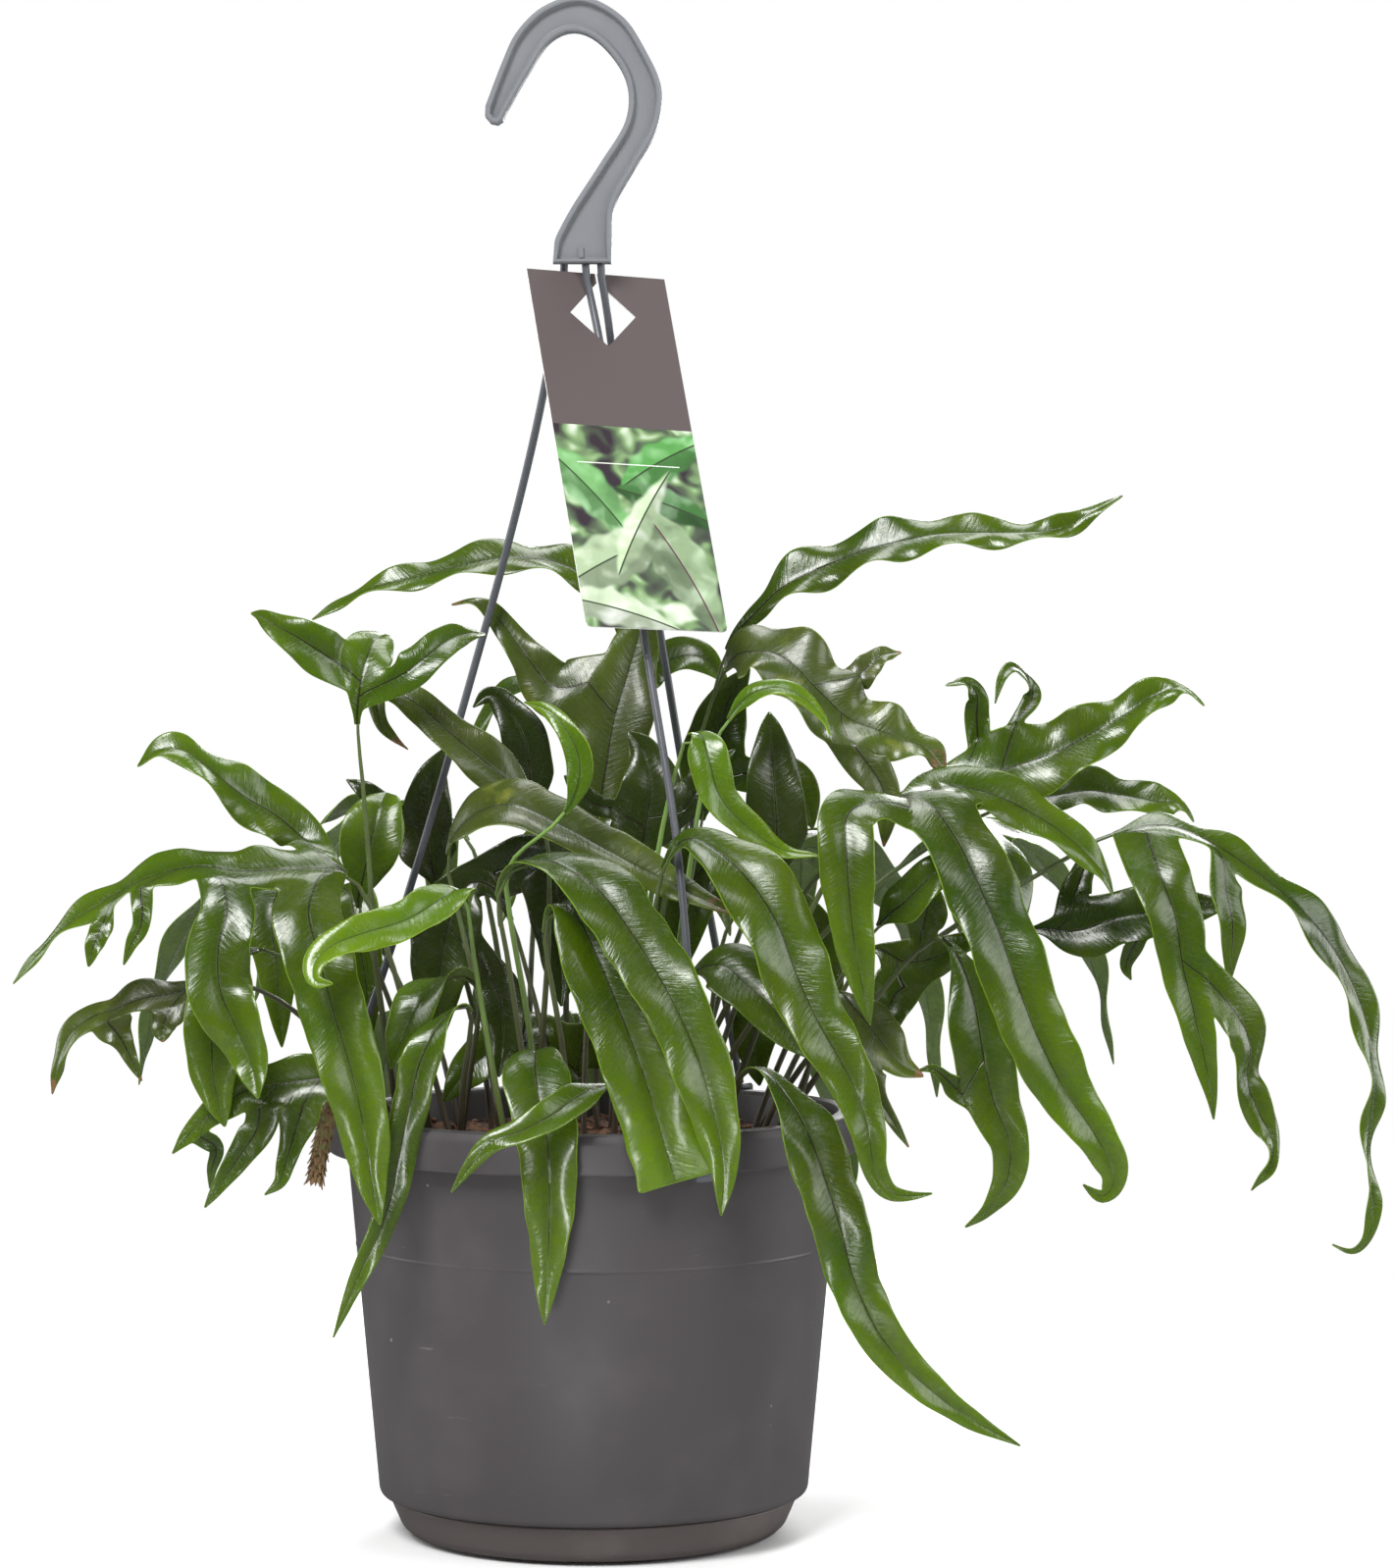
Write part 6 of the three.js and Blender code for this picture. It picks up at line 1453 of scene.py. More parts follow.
class Frond:
    """One frond: a round stalk, and a blade whose lobes are welded to its edge."""

    FORK_BACK = 0.09  # how much nearer the foot a lobe's rib starts than the lobe, as b
    FORK_REACH = 0.25  # how far along the blade a lobe's rib is drawn, as b
    FAR = 99.0  # the distance from a lobe's rib where there is none
    STALK_R = (1.25, 0.5)  # radius of a stalk at its foot and at its end
    STALK_REACH = 0.12  # how far a stalk runs under its blade, as b
    STALK_SPOTS = 15
    STALK_SIDES = 8

    def __init__(self, name: str, leaf: Blade) -> None:
        """Keeps the frond's name and shape."""
        self.name, self.leaf = name, leaf
        self.seed = sum(ord(c) * (i + 3) for i, c in enumerate(name)) % 997 / 7.3
        self.bm = bmesh.new()
        self.span = self.bm.loops.layers.uv.new("span")
        self.branch = self.bm.loops.layers.uv.new("branch")

    def grid(self, rows: int, columns: int) -> tuple[Rows, set[bmesh.types.BMFace]]:
        """Makes a flat grid.

        Args:
            rows: How many rows of faces it has.
            columns: How many columns of faces it has.

        Returns:
            Its vertices by row, and its faces.
        """
        verts = bmesh.ops.create_grid(self.bm, x_segments=columns, y_segments=rows, size=1)["verts"]
        verts.sort(key=lambda v: (round(v.co.y, 5), v.co.x))
        table = [verts[i * (columns + 1):(i + 1) * (columns + 1)] for i in range(rows + 1)]
        return table, {face for vert in verts for face in vert.link_faces}

    def map_faces(
        self, table: Rows, faces: set[bmesh.types.BMFace], ribbon: Ribbon, qs: list[float],
        leaf: Blade | Lobe,
    ) -> None:
        """Writes the span and branch coordinates of a blade's faces, in centimetres.

        Args:
            table: The blade's vertices by row.
            faces: Its faces.
            ribbon: Its middle surface.
            qs: The place across the blade of each column.
            leaf: The blade itself, with its lobes.
        """
        rows, forks = len(table) - 1, self.forks(leaf)
        home = {vert: (i / rows, q) for i, row in enumerate(table) for vert, q in zip(row, qs)}
        for face in faces:
            middle = sum(home[v][0] for v in face.verts) / len(face.verts)
            side = 1 if sum(home[v][1] for v in face.verts) > 0 else -1
            near = [fork for fork in forks if fork.side == side and fork.gap(middle) < self.FORK_REACH]
            fork = min(near, key=lambda f: f.gap(middle), default=None)
            for loop in face.loops:
                b, q = home[loop.vert]
                off = fork.distance(ribbon, b, q) if fork else self.FAR
                loop[self.span].uv = (q * ribbon.half_width(b) / 10, b * ribbon.length / 10)
                loop[self.branch].uv = (off / 10, b)

    def forks(self, leaf: Blade | Lobe) -> list[Fork]:
        """Where each lobe's rib leaves the rib of its parent."""
        edges = [sum(lobe.rows) / 2 / leaf.steps for lobe in leaf.lobes]
        return [Fork(max(b - self.FORK_BACK, 0.0), b, lobe.side) for b, lobe in zip(edges, leaf.lobes)]

    def add_lobe(self, parent: Ribbon, table: Rows, lobe: Lobe) -> None:
        """Grows a lobe and its own lobes from a stretch of its parent's edge.

        Args:
            parent: The parent's middle surface.
            table: The parent's vertices by row.
            lobe: The lobe's shape.
        """
        first, last = (row * REFINE for row in lobe.rows)
        base = [table[i][-1 if lobe.side > 0 else 0] for i in range(first, last + 1)]
        if lobe.side > 0:
            base.reverse()
        middle = parent.spot((first + last) / 2 / (len(table) - 1), lobe.side)
        foot = (base[0].co - base[-1].co).length / 2
        line = Line([tuple(middle), *lobe.path])
        ribbon = Ribbon(lobe, line, 0.0, foot, lobe.rise or 0.5, self.seed + lobe.rows[0] * 3.1)
        columns = len(base) - 1
        qs = [2 * j / columns - 1 for j in range(columns + 1)]
        rows = lobe.steps * REFINE
        grown, faces = self.grid(rows, columns)
        home = [v.co.copy() for v in base]
        for vert, foot_spot in zip(grown[0], home):
            vert.co = foot_spot
        for i, row in enumerate(grown[1:], 1):
            b = i / rows
            centre = ribbon.frame(b)[0]
            for vert, q, foot_spot in zip(row, qs, home):
                vert.co = (foot_spot - middle + centre).lerp(ribbon.spot(b, q), ease(b / 0.3))
        self.map_faces(grown, faces, ribbon, qs, lobe)
        for child in lobe.lobes:
            self.add_lobe(ribbon, grown, child)

    def add_blade(self) -> Ribbon:
        """Makes the main blade and its lobes.

        Returns:
            The blade's middle surface.
        """
        leaf = self.leaf
        line = Line([*leaf.stipe, *leaf.blade])
        start = line.share_at(len(leaf.stipe))
        ribbon = Ribbon(leaf, line, start, STALK_W / 2, leaf.rise or 0.3, self.seed)
        rows = leaf.steps * REFINE
        table, faces = self.grid(rows, len(COLUMNS) - 1)
        for i, row in enumerate(table):
            for vert, q in zip(row, COLUMNS):
                vert.co = ribbon.spot(i / rows, q)
        self.map_faces(table, faces, ribbon, COLUMNS, leaf)
        for lobe in leaf.lobes:
            self.add_lobe(ribbon, table, lobe)
        return ribbon

    def add_stalk(self, ribbon: Ribbon) -> bpy.types.Object:
        """Makes the round stalk, which runs a little way under the blade as its rib.

        Args:
            ribbon: The blade's middle surface.

        Returns:
            The stalk.
        """
        reach = ribbon.start + (1 - ribbon.start) * self.STALK_REACH
        spots = [ribbon.line.point(reach * i / self.STALK_SPOTS) for i in range(self.STALK_SPOTS + 1)]
        spots[-1] -= ribbon.frame(self.STALK_REACH)[2] * 0.9
        count = max(self.leaf.stalk_steps * 4, 12)
        thick, thin = self.STALK_R
        radii = [thick - (thick - thin) * (i / count) ** 3 for i in range(count + 1)]
        bm = bmesh.new()
        sweep_tube(bm, Line(spots), radii, self.STALK_SIDES)
        bmesh.ops.recalc_face_normals(bm, faces=bm.faces)
        return finish_mesh(bm, f"stalk_{self.name}", [])

    def build(self, finishes: dict[AgeAndShade, list[Material]], stalks: dict[AgeAndShade, Material]) -> int:
        """Makes the frond's two pieces.

        Args:
            finishes: The leaf materials of each age and shade.
            stalks: The stalk material of each age and shade.

        Returns:
            The number of the blade's faces, before the modifiers.
        """
        # Fronds listed as SHADED, and in part those listed as OLD, get darker finishes as painted shade.
        age_or_shade = next((age_or_shade for age_or_shade, names in AGES_AND_SHADE.items() if self.name in names), AgeAndShade.FULL)
        ribbon = self.add_blade()
        bmesh.ops.remove_doubles(self.bm, verts=self.bm.verts, dist=SEAM)
        faces = len(self.bm.faces)
        piece = finish_mesh(self.bm, f"leaf_{self.name}", finishes[age_or_shade])
        add_modifier(
            piece, "SOLIDIFY", thickness=BLADE_T * MM, offset=0.0, material_offset=1, material_offset_rim=2,
        )
        add_modifier(piece, "SUBSURF", levels=1, render_levels=1, uv_smooth="NONE")
        dress(piece, age_or_shade.slot, f"frond_{self.name}")
        stalk = self.add_stalk(ribbon)
        stalk.data.materials.append(stalks[age_or_shade])
        dress(stalk, age_or_shade.slot, f"frond_{self.name}")
        return faces


class Plant:
    """All the fronds with their finishes."""

    LOOKS = {
        AgeAndShade.FULL: LeafFinish("leaf", (0.014, 0.033, 0.001), (0.05, 0.105, 0.002), (0.105, 0.185, 0.003)),
        AgeAndShade.YOUNG: LeafFinish(
            "leaf_young", (0.042, 0.1, 0.002), (0.096, 0.19, 0.003), (0.18, 0.29, 0.006),
            rib=(0.03, 0.06, 0.008),
        ),
        # Painted shade in part: darker colours for older fronds in the plant's shaded middle.
        AgeAndShade.OLD: LeafFinish(
            "leaf_old", (0.011, 0.02, 0.003), (0.024, 0.041, 0.004), (0.04, 0.068, 0.004),
            sunned=(0.042, 0.046, 0.012),
        ),
        AgeAndShade.DULL: LeafFinish(
            "leaf_dull", (0.022, 0.038, 0.004), (0.056, 0.087, 0.008), (0.092, 0.142, 0.007),
            sunned=(0.11, 0.122, 0.011), rough=0.3, blotch=0.4, dry=0.04,
        ),
        # Painted shade: the full leaf's colours darkened for fronds deep in the plant.
        AgeAndShade.SHADED: LeafFinish(
            "leaf_shaded", (0.012, 0.028, 0.001), (0.034, 0.068, 0.002), (0.064, 0.112, 0.003),
        ),
    }
    STALK = StalkFinish("stalk", (0.045, 0.026, 0.02), (0.085, 0.13, 0.035))
    YOUNG_STALK = StalkFinish("stalk_young", (0.09, 0.11, 0.03), (0.19, 0.33, 0.07))

    def __init__(self, veins: Group, mottle: Group) -> None:
        """Builds the leaf and stalk materials of each age and shade."""
        self.finishes = {age_or_shade: look.materials(veins, mottle) for age_or_shade, look in self.LOOKS.items()}
        stalk, young = self.STALK.material(mottle), self.YOUNG_STALK.material(mottle)
        self.stalks = {age_or_shade: young if age_or_shade is AgeAndShade.YOUNG else stalk for age_or_shade in AgeAndShade}

    def build(self) -> None:
        """Makes every frond."""
        total = sum(Frond(name, leaf).build(self.finishes, self.stalks) for name, leaf in FRONDS.items())
        log.info("%d fronds, %d faces before the modifiers", len(FRONDS), total)


# ---- pot, saucer and soil ----
@dataclass
class Pot:
    """A tapered round pot with a rolled lip."""

    lip_r: float = 105.0
    height: float = 168.0
    lip_depth: float = 15.5
    wall: float = 2.0
    top_r: float = 97.5
    waist_r: float = 85.2
    neck_r: float = 78.3
    foot_r: float = 73.4
    base: float = 3.4
    band_z: float = 115.0
    saucer: float = 16.0
    corner: float = 0.7
    sides: int = 128

    def wall_r(self, z: float) -> float:
        """The outer wall's radius at a height."""
        low = self.saucer + 1.6
        return self.waist_r + (self.top_r - self.waist_r) * (z - low) / (self.height - self.lip_depth - low)

    def build(self, plastic: Material) -> None:
        """Spins the pot, with the faint step that its mould leaves round it.

        Args:
            plastic: Its finish.
        """
        under, lip_z = self.height - self.wall, self.height - self.lip_depth
        rim, floor = self.saucer, self.base
        marks = ((60, 0.0), (self.band_z - 0.5, 0.05), (self.band_z + 0.3, 0.28), (self.band_z + 1.1, 0.02))
        inside = self.base + self.wall + 0.4
        profile = [
            (0, floor), (self.foot_r - 1.5, floor), (self.foot_r, floor + 1.5), (self.neck_r, rim + 0.3),
            (self.waist_r - 2.2, rim + 0.3), (self.waist_r - 0.7, rim + 1.0), (self.waist_r, rim + 2.6),
            *((self.wall_r(z) + step, z) for z, step in marks),
            (self.top_r, lip_z), (self.top_r + 0.4, under), (self.lip_r - self.wall, under),
            (self.lip_r - self.wall, lip_z), (self.lip_r - 0.2, lip_z), (self.lip_r, lip_z + 0.8),
            (self.lip_r - 0.3, self.height - 3.4), (self.lip_r - 1.4, self.height - 0.3),
            (self.lip_r - 2.8, self.height), (self.top_r - 0.6, self.height),
            (self.top_r - self.wall, self.height - 1.6), (self.waist_r - self.wall - 0.3, rim + 3),
            (self.neck_r - self.wall, rim + 1.8), (self.foot_r - self.wall, inside), (0, inside),
        ]
        bm = bmesh.new()
        spin_profile(bm, rounded(profile, self.corner), self.sides)
        dress(finish_mesh(bm, "pot_shell", [plastic]), "pot_plastic", "pot")


@dataclass
class Saucer:
    """The saucer that clips under the pot."""

    rim_r: float = 81.0
    base_r: float = 76.4
    height: float = 16.0
    wall: float = 1.8
    drop: float = 1.2
    inside: float = 3.1
    foot_r: float = 64.0
    pad_r: float = 24.0
    corner: float = 1.2
    sides: int = 128

    def build(self, plastic: Material) -> None:
        """Spins the saucer with its flat pad and ring foot.

        Args:
            plastic: Its finish.
        """
        drop, foot, edge = self.drop, self.foot_r, self.height - 0.2
        profile = [
            (0, 0), (self.pad_r, 0), (self.pad_r + 1, drop), (foot, drop), (foot + 1, 0), (foot + 3, 0),
            (foot + 4, drop), (self.base_r - 3.5, drop), (self.base_r, drop + 3.2),
            (self.rim_r, self.height - 1), (self.rim_r - 0.6, edge), (self.rim_r - self.wall, edge),
            (self.base_r - 2.5, self.inside), (0, self.inside),
        ]
        bm = bmesh.new()
        spin_profile(bm, rounded(profile, self.corner), self.sides)
        dress(finish_mesh(bm, "saucer_dish", [plastic]), "saucer_plastic", "saucer")


@dataclass
class Soil:
    """Peat that fills the pot, with crumbs and fibres on top."""

    top: float = 154.0
    floor: float = 6.1
    radius: float = 92.8
    floor_r: float = 69.8
    mound: float = 3.5
    rings: int = 34
    sides: int = 96
    crumbs: int = 520
    fibres: int = 130
    fibre_r: float = 0.32
    seed: int = 11

    def height(self, x: float, y: float) -> float:
        """The surface's height over a place: a shallow mound with lumps."""
        mound = self.mound * (1 - (x * x + y * y) / 9000)
        lumps = math.sin(x * 0.19 + 1.3) * math.cos(y * 0.23 - 0.4) + 0.6 * math.sin(x * 0.41 - y * 0.37)
        fine = noise.fractal(Vector((x / 9, y / 9, 3.7)), 0.9, 2.1, 4) * 1.3
        return self.top + mound + 2.0 * lumps + fine

    def add_body(self, bm: Mesh) -> None:
        """Spins the body and lifts its top into lumps; its edge stays low."""
        rings = [(self.radius * (1 - i / self.rings), self.top) for i in range(self.rings)]
        foot = [(0, self.floor), (self.floor_r, self.floor), (75.5, 18.6), (82.0, 20.0)]
        spin_profile(bm, [*foot, *rings, (0, self.top)], self.sides)
        for vert in bm.verts:
            if vert.co.z > self.top - 1:
                edge = math.hypot(vert.co.x, vert.co.y) > self.radius - 1
                vert.co.z = self.top - 2 if edge else self.height(vert.co.x, vert.co.y)

    def draw_place(self, draw: random.Random, margin: float) -> tuple[float, float, float]:
        """Draws a place on the soil."""
        r, turn = (self.radius - margin) * math.sqrt(draw.random()), draw.uniform(0, FULL_TURN)
        return r * math.cos(turn), r * math.sin(turn), turn

    def add_crumb(self, bm: Mesh, draw: random.Random) -> None:
        """Lays a small flattened lump on the soil.

        Args:
            bm: The soil's mesh.
            draw: The source of random numbers.
        """
        x, y, turn = self.draw_place(draw, 4)
        size = draw.uniform(0.7, 2.4)
        lump = bmesh.ops.create_icosphere(bm, subdivisions=1, radius=size)["verts"]
        stretch = (draw.uniform(0.7, 1.4), draw.uniform(0.7, 1.4), draw.uniform(0.5, 0.9))
        bmesh.ops.scale(bm, vec=stretch, verts=lump)
        tilt = Matrix.Rotation(turn * 3, 3, "Z") @ Matrix.Rotation(draw.uniform(-0.6, 0.6), 3, "X")
        bmesh.ops.rotate(bm, verts=lump, cent=(0, 0, 0), matrix=tilt)
        bmesh.ops.translate(bm, verts=lump, vec=(x, y, self.height(x, y) + size * 0.1))

    def add_fibre(self, bm: Mesh, draw: random.Random) -> None:
        """Lays a thin bent fibre on the soil.

        Args:
            bm: The soil's mesh.
            draw: The source of random numbers.
        """
        x, y, _ = self.draw_place(draw, 14)
        aim, long = draw.uniform(0, FULL_TURN), draw.uniform(6, 20)
        spots = []
        for i in range(4):
            t = i / 3 - 0.5
            px, py = x + math.cos(aim + t) * long * t, y + math.sin(aim + t) * long * t
            spots.append((px, py, self.height(px, py) + 0.2 + draw.uniform(0, 1.4) * (i in (1, 2))))
        sweep_tube(bm, Line(spots), [self.fibre_r] * 5, 4)

    def build(self, peat: Material) -> None:
        """Makes the body of the soil with its crumbs and fibres in one piece.

        Args:
            peat: Its finish.
        """
        bm = bmesh.new()
        self.add_body(bm)
        draw = random.Random(self.seed)
        for _ in range(self.crumbs):
            self.add_crumb(bm, draw)
        for _ in range(self.fibres):
            self.add_fibre(bm, draw)
        dress(finish_mesh(bm, "soil_body", [peat]), "potting_soil", "soil")


# ---- hanger ----
@dataclass
class Hook:
    """A flat moulded hook with a raised rib round a recessed web."""

    thick: float = 8.6
    rib: float = 2.8
    recess: float = 2.6
    round: float = 0.6
    base: float = 502.6
    flat_angle: float = 24.0
    key_w: float = 1.7
    key_h: float = 4.2
    key_sunk: float = 1.7
    outer: Outline = field(default_factory=lambda: [
        (-42.4, 564.3), (-36, 581), (-29.9, 593.5), (-19, 603.6), (-4, 607.4), (11.3, 599.7),
        (20.5, 586.5), (27, 571), (24.9, 555), (16.5, 540), (8.4, 525), (7.4, 511),
    ])
    inner: Outline = field(default_factory=lambda: [
        (-15.2, 511), (-14.6, 513), (-8.4, 524.5), (3, 542), (13, 559), (12.8, 575), (3.5, 588.5),
        (-7, 593.6), (-17, 589.6), (-25.2, 577.6), (-34.2, 562),
    ])
    tip: Outline = field(default_factory=lambda: [
        (-35.6, 558.6), (-37.6, 557.2), (-40.4, 557.8), (-42.6, 560.4),
    ])

    def outline(self) -> Outline:
        """Draws the closed outline.

        Returns:
            Its points, from the tip over the top, round the base and back inside.
        """
        runs = []
        for points, steps in ((self.outer, 70), (self.inner, 60)):
            line = Line([(x, 0, z) for x, z in points])
            runs.append([(p.x, p.z) for p in (line.point(i / steps) for i in range(steps + 1))])
        return [*runs[0], (7.2, self.base), (-15.9, self.base), *runs[1], *self.tip]

    def build(self, plastic: Material) -> None:
        """Makes the hook from its outline: extruded, rounded along its edge and recessed on both faces.

        Args:
            plastic: Its finish.
        """
        half, deep = self.thick / 2 - self.round, self.recess
        bm = bmesh.new()
        face = bm.faces.new([bm.verts.new((x, -half, z)) for x, z in self.outline()])
        bmesh.ops.recalc_face_normals(bm, faces=[face])
        if face.normal.y > 0:
            face.normal_flip()
        thicken(bm, face, (0, half * 2, 0))
        steps = (
            (0.4, self.round * 0.6), (0.5, self.round * 0.4), (self.rib - 1.9, 0.0), (0.35, -deep * 0.1),
            (0.4, -deep * 0.4), (0.4, -deep * 0.4), (0.25, -deep * 0.1),
        )
        for flat in [f for f in bm.faces if len(f.verts) > 4]:
            for width, rise in steps:
                bmesh.ops.inset_region(bm, faces=[flat], thickness=width, depth=rise, use_even_offset=False)
        key = bmesh.ops.create_cube(bm, size=1)["verts"]
        bmesh.ops.scale(bm, vec=(self.key_w, self.thick - 2 * self.key_sunk, self.key_h), verts=key)
        bmesh.ops.translate(bm, verts=key, vec=(-4.7, 0, self.base + self.key_h))
        piece = finish_mesh(bm, "hook_body", [plastic], sharp=self.flat_angle)
        dress(piece, "hanger_plastic", "hanger_hook")


@dataclass
class Rod:
    """A thin moulded rod with a clip that snaps over the pot's lip."""

    name: str
    points: list[Point]
    radius: float = 1.55
    rings: int = 46
    sides: int = 14
    clip_width: float = 7.0
    clip_edge: float = 0.35

    def clip_profile(self) -> Outline:
        """The clip's section as (radius, height)."""
        out, top, bottom, thick, tooth = 105.3, 168.3, 152.2, 2.2, 2.6
        return [
            (out - 6, top), (out, top), (out, bottom), (out - tooth, bottom), (out - tooth, bottom - 1.6),
            (out + 0.8, bottom - 2.6), (out + thick, bottom - 1), (out + thick, top + 1),
            (out + 0.9, top + thick), (out - 6, top + thick),
        ]

    def build(self, plastic: Material) -> None:
        """Sweeps the rod and adds its clip.

        Args:
            plastic: Its finish.
        """
        bm = bmesh.new()
        side = -self.clip_width / 2
        face = bm.faces.new([bm.verts.new((r, side, z)) for r, z in self.clip_profile()])
        thicken(bm, face, (0, self.clip_width, 0))
        bmesh.ops.bevel(
            bm, geom=list(bm.edges), offset=self.clip_edge, affect="EDGES", segments=2, profile=0.5,
            material=-1,
        )
        turn = Matrix.Rotation(math.atan2(self.points[-1][1], self.points[-1][0]), 3, "Z")
        bmesh.ops.rotate(bm, verts=bm.verts, cent=(0, 0, 0), matrix=turn)
        sweep_tube(bm, Line(self.points), [self.radius] * self.rings, self.sides)
        dress(finish_mesh(bm, f"rod_{self.name}", [plastic]), "hanger_plastic", f"hanger_rod_{self.name}")


RODS = (
    Rod("left", [
        (-11.5, 2.4, 504.2), (-11.5, 2.4, 499), (-20.8, 3.2, 447), (-33.2, 4.2, 395), (-50.4, 5.6, 333),
        (-68.8, 6.6, 270), (-86, 8, 216), (-103.3, 9, 170),
    ]),
    Rod("front", [
        (-3.1, -0.4, 504.2), (-3.1, -0.4, 499), (0.6, -3.6, 482), (7.5, -15, 444), (20.3, -43, 357),
        (32.9, -66, 279), (39.3, -84, 210), (42.6, -94.4, 170),
    ]),
    Rod("back", [
        (3, -0.8, 504.2), (3, -0.8, 499), (5.4, 1.4, 484), (10.6, 12, 447), (26.1, 38, 357),
        (36.5, 54, 294), (48, 69.5, 232), (59, 84.4, 170),
    ]),
)


@dataclass
class Tag:
    """The card tag that hangs aslant on the rods through its diamond hole."""

    width: float = 60.0
    height: float = 156.5
    thick: float = 0.6
    hole_x: float = 30.0
    hole_y: float = 18.5
    hole_r: float = 14.2
    slit: float = 1.0
    cut: float = 2.0
    corner: Point = (-26.0, -8.4, 500.0)
    right: Point = (0.9, 0.436, -0.035)
    down: Point = (0.101, -0.427, -0.894)

    def outline(self) -> Outline:
        """The card's outline, across and down, with the slit and the hole cut in from its top."""
        x, y, r, half = self.hole_x, self.hole_y, self.hole_r, self.slit / 2
        wide, high, cut, bit = self.width, self.height, self.cut, self.cut * 0.3
        return [
            (0, 0), (x - half, 0), (x - half, y - r), (x - r, y), (x, y + r), (x + r, y), (x + half, y - r),
            (x + half, 0), (wide, 0), (wide, high - cut), (wide - bit, high - bit), (wide - cut, high),
            (cut, high), (bit, high - bit), (0, high - cut),
        ]

    def build(self, card: Material, edge: Material) -> None:
        """Cuts the card from its outline, maps its print and stands it in its place.

        Args:
            card: The finish of its two sides.
            edge: The finish of its edge.
        """
        bm = bmesh.new()
        layer = bm.loops.layers.uv.new("card")
        thicken(bm, bm.faces.new([bm.verts.new((x, y, 0)) for x, y in self.outline()]), (0, 0, self.thick))
        for side in bm.faces:
            side.material_index = 0 if abs(side.normal.z) > 0.9 else 1
            for loop in side.loops:
                loop[layer].uv = (loop.vert.co.x / self.height, loop.vert.co.y / self.height)
        right, down = Vector(self.right).normalized(), Vector(self.down)
        down = (down - right * down.dot(right)).normalized()
        turn = Matrix((right, down, right.cross(down))).transposed()
        bmesh.ops.rotate(bm, verts=bm.verts, cent=(0, 0, 0), matrix=turn)
        bmesh.ops.translate(bm, verts=bm.verts, vec=self.corner)
        bmesh.ops.recalc_face_normals(bm, faces=bm.faces)
        dress(finish_mesh(bm, "tag_card", [card, edge], smooth=False), "tag_card", "care_tag")


@dataclass
class Rhizome:
    """A creeping stem tip covered with papery scales."""

    points: list[Point] = field(default_factory=lambda: [
        (-70, -37, 149), (-78, -41.5, 167), (-90, -48.5, 177), (-99, -53.5, 174.5), (-103, -55.5, 162),
        (-106, -57, 146),
    ])
    radius: float = 3.1
    rings: int = 30
    sides: int = 12
    scales: int = 150
    scale_t: float = 0.18
    spiral: float = 2.4
    seed: int = 4

    def add_scale(self, bm: Mesh, line: Line, number: int, draw: random.Random) -> None:
        """Lays a scale on the stem so that it points to the tip.

        Args:
            bm: The stem's mesh.
            line: The stem's middle.
            number: The scale's number from the foot.
            draw: The source of random numbers.
        """
        share = 0.22 + 0.77 * number / self.scales
        along = line.tangent(share)
        out = Matrix.Rotation(number * self.spiral, 3, along) @ along.orthogonal().normalized()
        side = along.cross(out)
        long, wide = draw.uniform(3.4, 5.4), draw.uniform(1.0, 1.6)
        root = line.point(share) + out * (self.radius * 0.9)
        verts = bmesh.ops.create_grid(bm, x_segments=2, y_segments=3, size=1)["verts"]
        for vert in verts:
            u, w = vert.co.x, (vert.co.y + 1) / 2
            width = wide * (1 - w ** 2) * u
            lift = 0.25 + 1.1 * w * w - 0.35 * abs(u)
            vert.co = root + along * long * w + side * width + out * lift
        for face in {f for v in verts for f in v.link_faces}:
            face.material_index = 1

    def build(self, stem: Material, scale: Material) -> None:
        """Sweeps the stem, thick and thin by turns, and covers it with scales.

        Args:
            stem: The stem's finish.
            scale: The scales' finish.
        """
        line, last = Line(self.points), self.rings
        tip = [min(1.0, 0.45 + (last - i) * 0.14) for i in range(last + 1)]
        radii = [self.radius * (1.06 if i % 2 else 0.94) * end for i, end in enumerate(tip)]
        bm = bmesh.new()
        sweep_tube(bm, line, radii, self.sides)
        bmesh.ops.recalc_face_normals(bm, faces=bm.faces)
        draw = random.Random(self.seed)
        for number in range(self.scales):
            self.add_scale(bm, line, number, draw)
        piece = finish_mesh(bm, "rhizome_stem", [stem, scale])
        add_modifier(piece, "SOLIDIFY", thickness=self.scale_t * MM, offset=0.0)
        dress(piece, "rhizome", "rhizome_tip")


# ---- the room ----
@dataclass(frozen=True)
class Lamp:
    """A soft lamp in metres and watts; one with a cone, in degrees, throws a round spot."""

    name: str
    place: Point
    size: float
    power: float
    aim: Point = (0.0, 0.0, 0.25)
    cone: float | None = None

    def build(self) -> None:
        """Adds the lamp."""
        light = bpy.data.lights.new(self.name, "SPOT" if self.cone else "AREA")
        light.energy = self.power
        if self.cone:
            light.spot_size, light.spot_blend = math.radians(self.cone), 1.0
            light.shadow_soft_size = self.size
        else:
            light.shape, light.size = "SQUARE", self.size
        lamp = add_object(self.name, light)
        lamp.location = self.place
        lamp.rotation_euler = (Vector(self.aim) - Vector(self.place)).to_track_quat("-Z", "Y").to_euler()


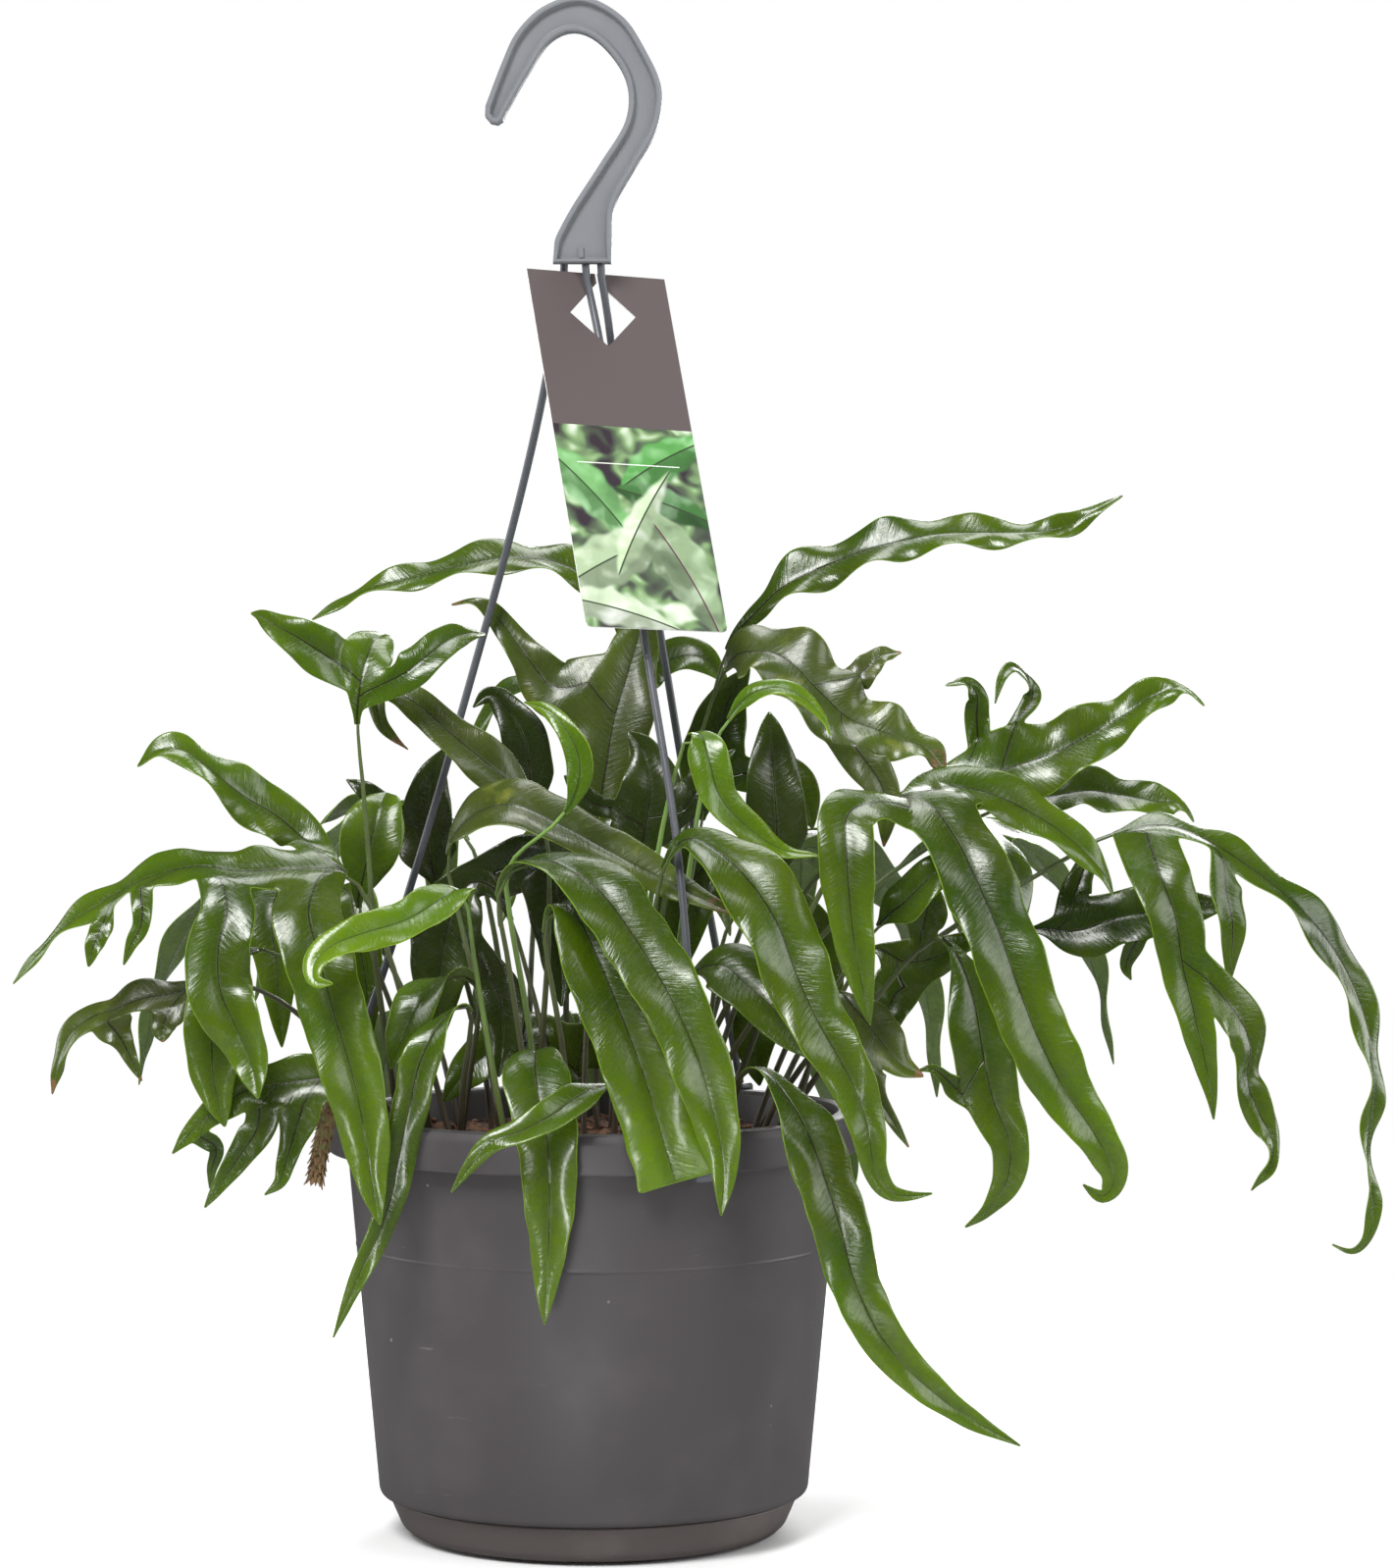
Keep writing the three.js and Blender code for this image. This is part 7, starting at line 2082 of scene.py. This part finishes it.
@dataclass
class Studio:
    """The floor, the lamps and the camera, which stands and looks in metres and degrees."""

    eye: Point = (0.041, -1.8, 0.3455)
    pitch: float = -1.5466
    lens: float = 104.3
    ambient: float = 0.3
    mirrored: float = 0.07
    floor_r: float = 850.0
    floor_z: float = -0.2
    paper: Colour = (0.95, 0.95, 0.95)
    mirrored_paper: Colour = (0.15, 0.15, 0.15)
    lamps: tuple[Lamp, ...] = (
        Lamp("key", (-0.6, -1.5, 1.75), 0.85, 52.0),
        Lamp("fill", (1.4, -1.0, 0.9), 0.9, 10.0),
        Lamp("top", (0.2, 0.5, 2.0), 1.0, 20.0),
        Lamp("side_left", (-1.3, 0.25, 0.5), 0.7, 6.0),
        Lamp("side_right", (1.3, 0.3, 0.4), 0.7, 6.0),
        Lamp("back", (0.5, 1.7, 1.1), 1.0, 20.0),
        Lamp("pot_spot", (-0.13, -0.85, 0.04), 0.12, 17.0, (-0.01, -0.08, 0.075), 18.0),
    )

    def build(self) -> None:
        """Makes the room."""
        self.floor()
        self.world()
        for lamp in self.lamps:
            lamp.build()
        self.camera()
        bpy.context.scene.view_settings.view_transform = "Standard"

    def camera(self) -> None:
        """Adds the camera."""
        lens = bpy.data.cameras.new("camera")
        lens.lens, lens.sensor_width, lens.sensor_fit = self.lens, 36.0, "AUTO"
        camera = add_object("camera", lens)
        camera.location = self.eye
        camera.rotation_euler = (math.radians(90 + self.pitch), 0, 0)
        bpy.context.scene.camera = camera

    def floor(self) -> None:
        """Makes a wide pale floor just under the part, which glossy pieces mirror darker."""
        bm = bmesh.new()
        bmesh.ops.create_circle(bm, cap_ends=True, segments=96, radius=self.floor_r)
        bmesh.ops.translate(bm, verts=bm.verts, vec=(0, 0, self.floor_z))
        tree = Tree("floor_paper")
        glossy = tree.add("LightPath").outputs["Is Glossy Ray"]
        paper = tree.surface(Base_Color=tree.mix(glossy, self.paper, self.mirrored_paper), Roughness=0.8)
        finish_mesh(bm, "floor", [paper], smooth=False)

    def world(self) -> None:
        """Makes a room that is white to the camera, softly lit, and dim where glossy pieces mirror it."""
        world = bpy.data.worlds.new("room")
        world.use_nodes = True
        board = Board(world.node_tree)
        rays = board.add("LightPath").outputs
        dim = board.remap(rays["Is Glossy Ray"], 0.0, 1.0, self.ambient, self.mirrored)
        level = board.remap(rays["Is Camera Ray"], 0.0, 1.0, dim, 1.0)
        backdrop = board.nodes["Background"].inputs
        board.feed(backdrop["Strength"], level)
        board.feed(backdrop["Color"], rgba((1.0, 1.0, 1.0)))
        bpy.context.scene.world = world


def main() -> None:
    """Builds the room, the pot, its hanger and the plant in order."""
    logging.basicConfig(level=logging.INFO, format="%(message)s")
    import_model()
    Studio().build()
    veins, mottle, scuffs = Veins().group(), make_mottle_group(), Scuffs().group()
    pot = PlasticFinish("pot_plastic", (0.05, 0.045, 0.047), (0.07, 0.063, 0.065), rough=0.44)
    saucer = PlasticFinish("saucer_plastic", (0.075, 0.063, 0.06), (0.12, 0.1, 0.095))
    hook = PlasticFinish(
        "hanger_plastic", (0.19, 0.198, 0.212), (0.25, 0.258, 0.27), rough=0.36, wear=0.3, dust=0.1,
    )
    rods = PlasticFinish(
        "rod_plastic", (0.08, 0.085, 0.097), (0.115, 0.12, 0.13), rough=0.32, wear=0.3, dust=0.1,
    )
    Pot().build(pot.material(scuffs))
    Saucer().build(saucer.material(scuffs))
    Soil().build(SoilFinish().material())
    Hook().build(hook.material(scuffs))
    rod_plastic = rods.material(scuffs)
    for rod in RODS:
        rod.build(rod_plastic)
    card_edge = PlainFinish("card_edge", (0.75, 0.76, 0.72), 0.6, 700, 0.0001)
    Tag().build(CardFinish().material(), card_edge.material())
    stem = PlainFinish("rhizome_skin", (0.16, 0.17, 0.05), 0.7, 500, 0.0006)
    scale = PlainFinish("rhizome_scale", (0.2, 0.12, 0.055), 0.8, 900, 0.0003)
    Rhizome().build(stem.material(), scale.material())
    Plant(veins, mottle).build()


if __name__ == "__main__":
    main()
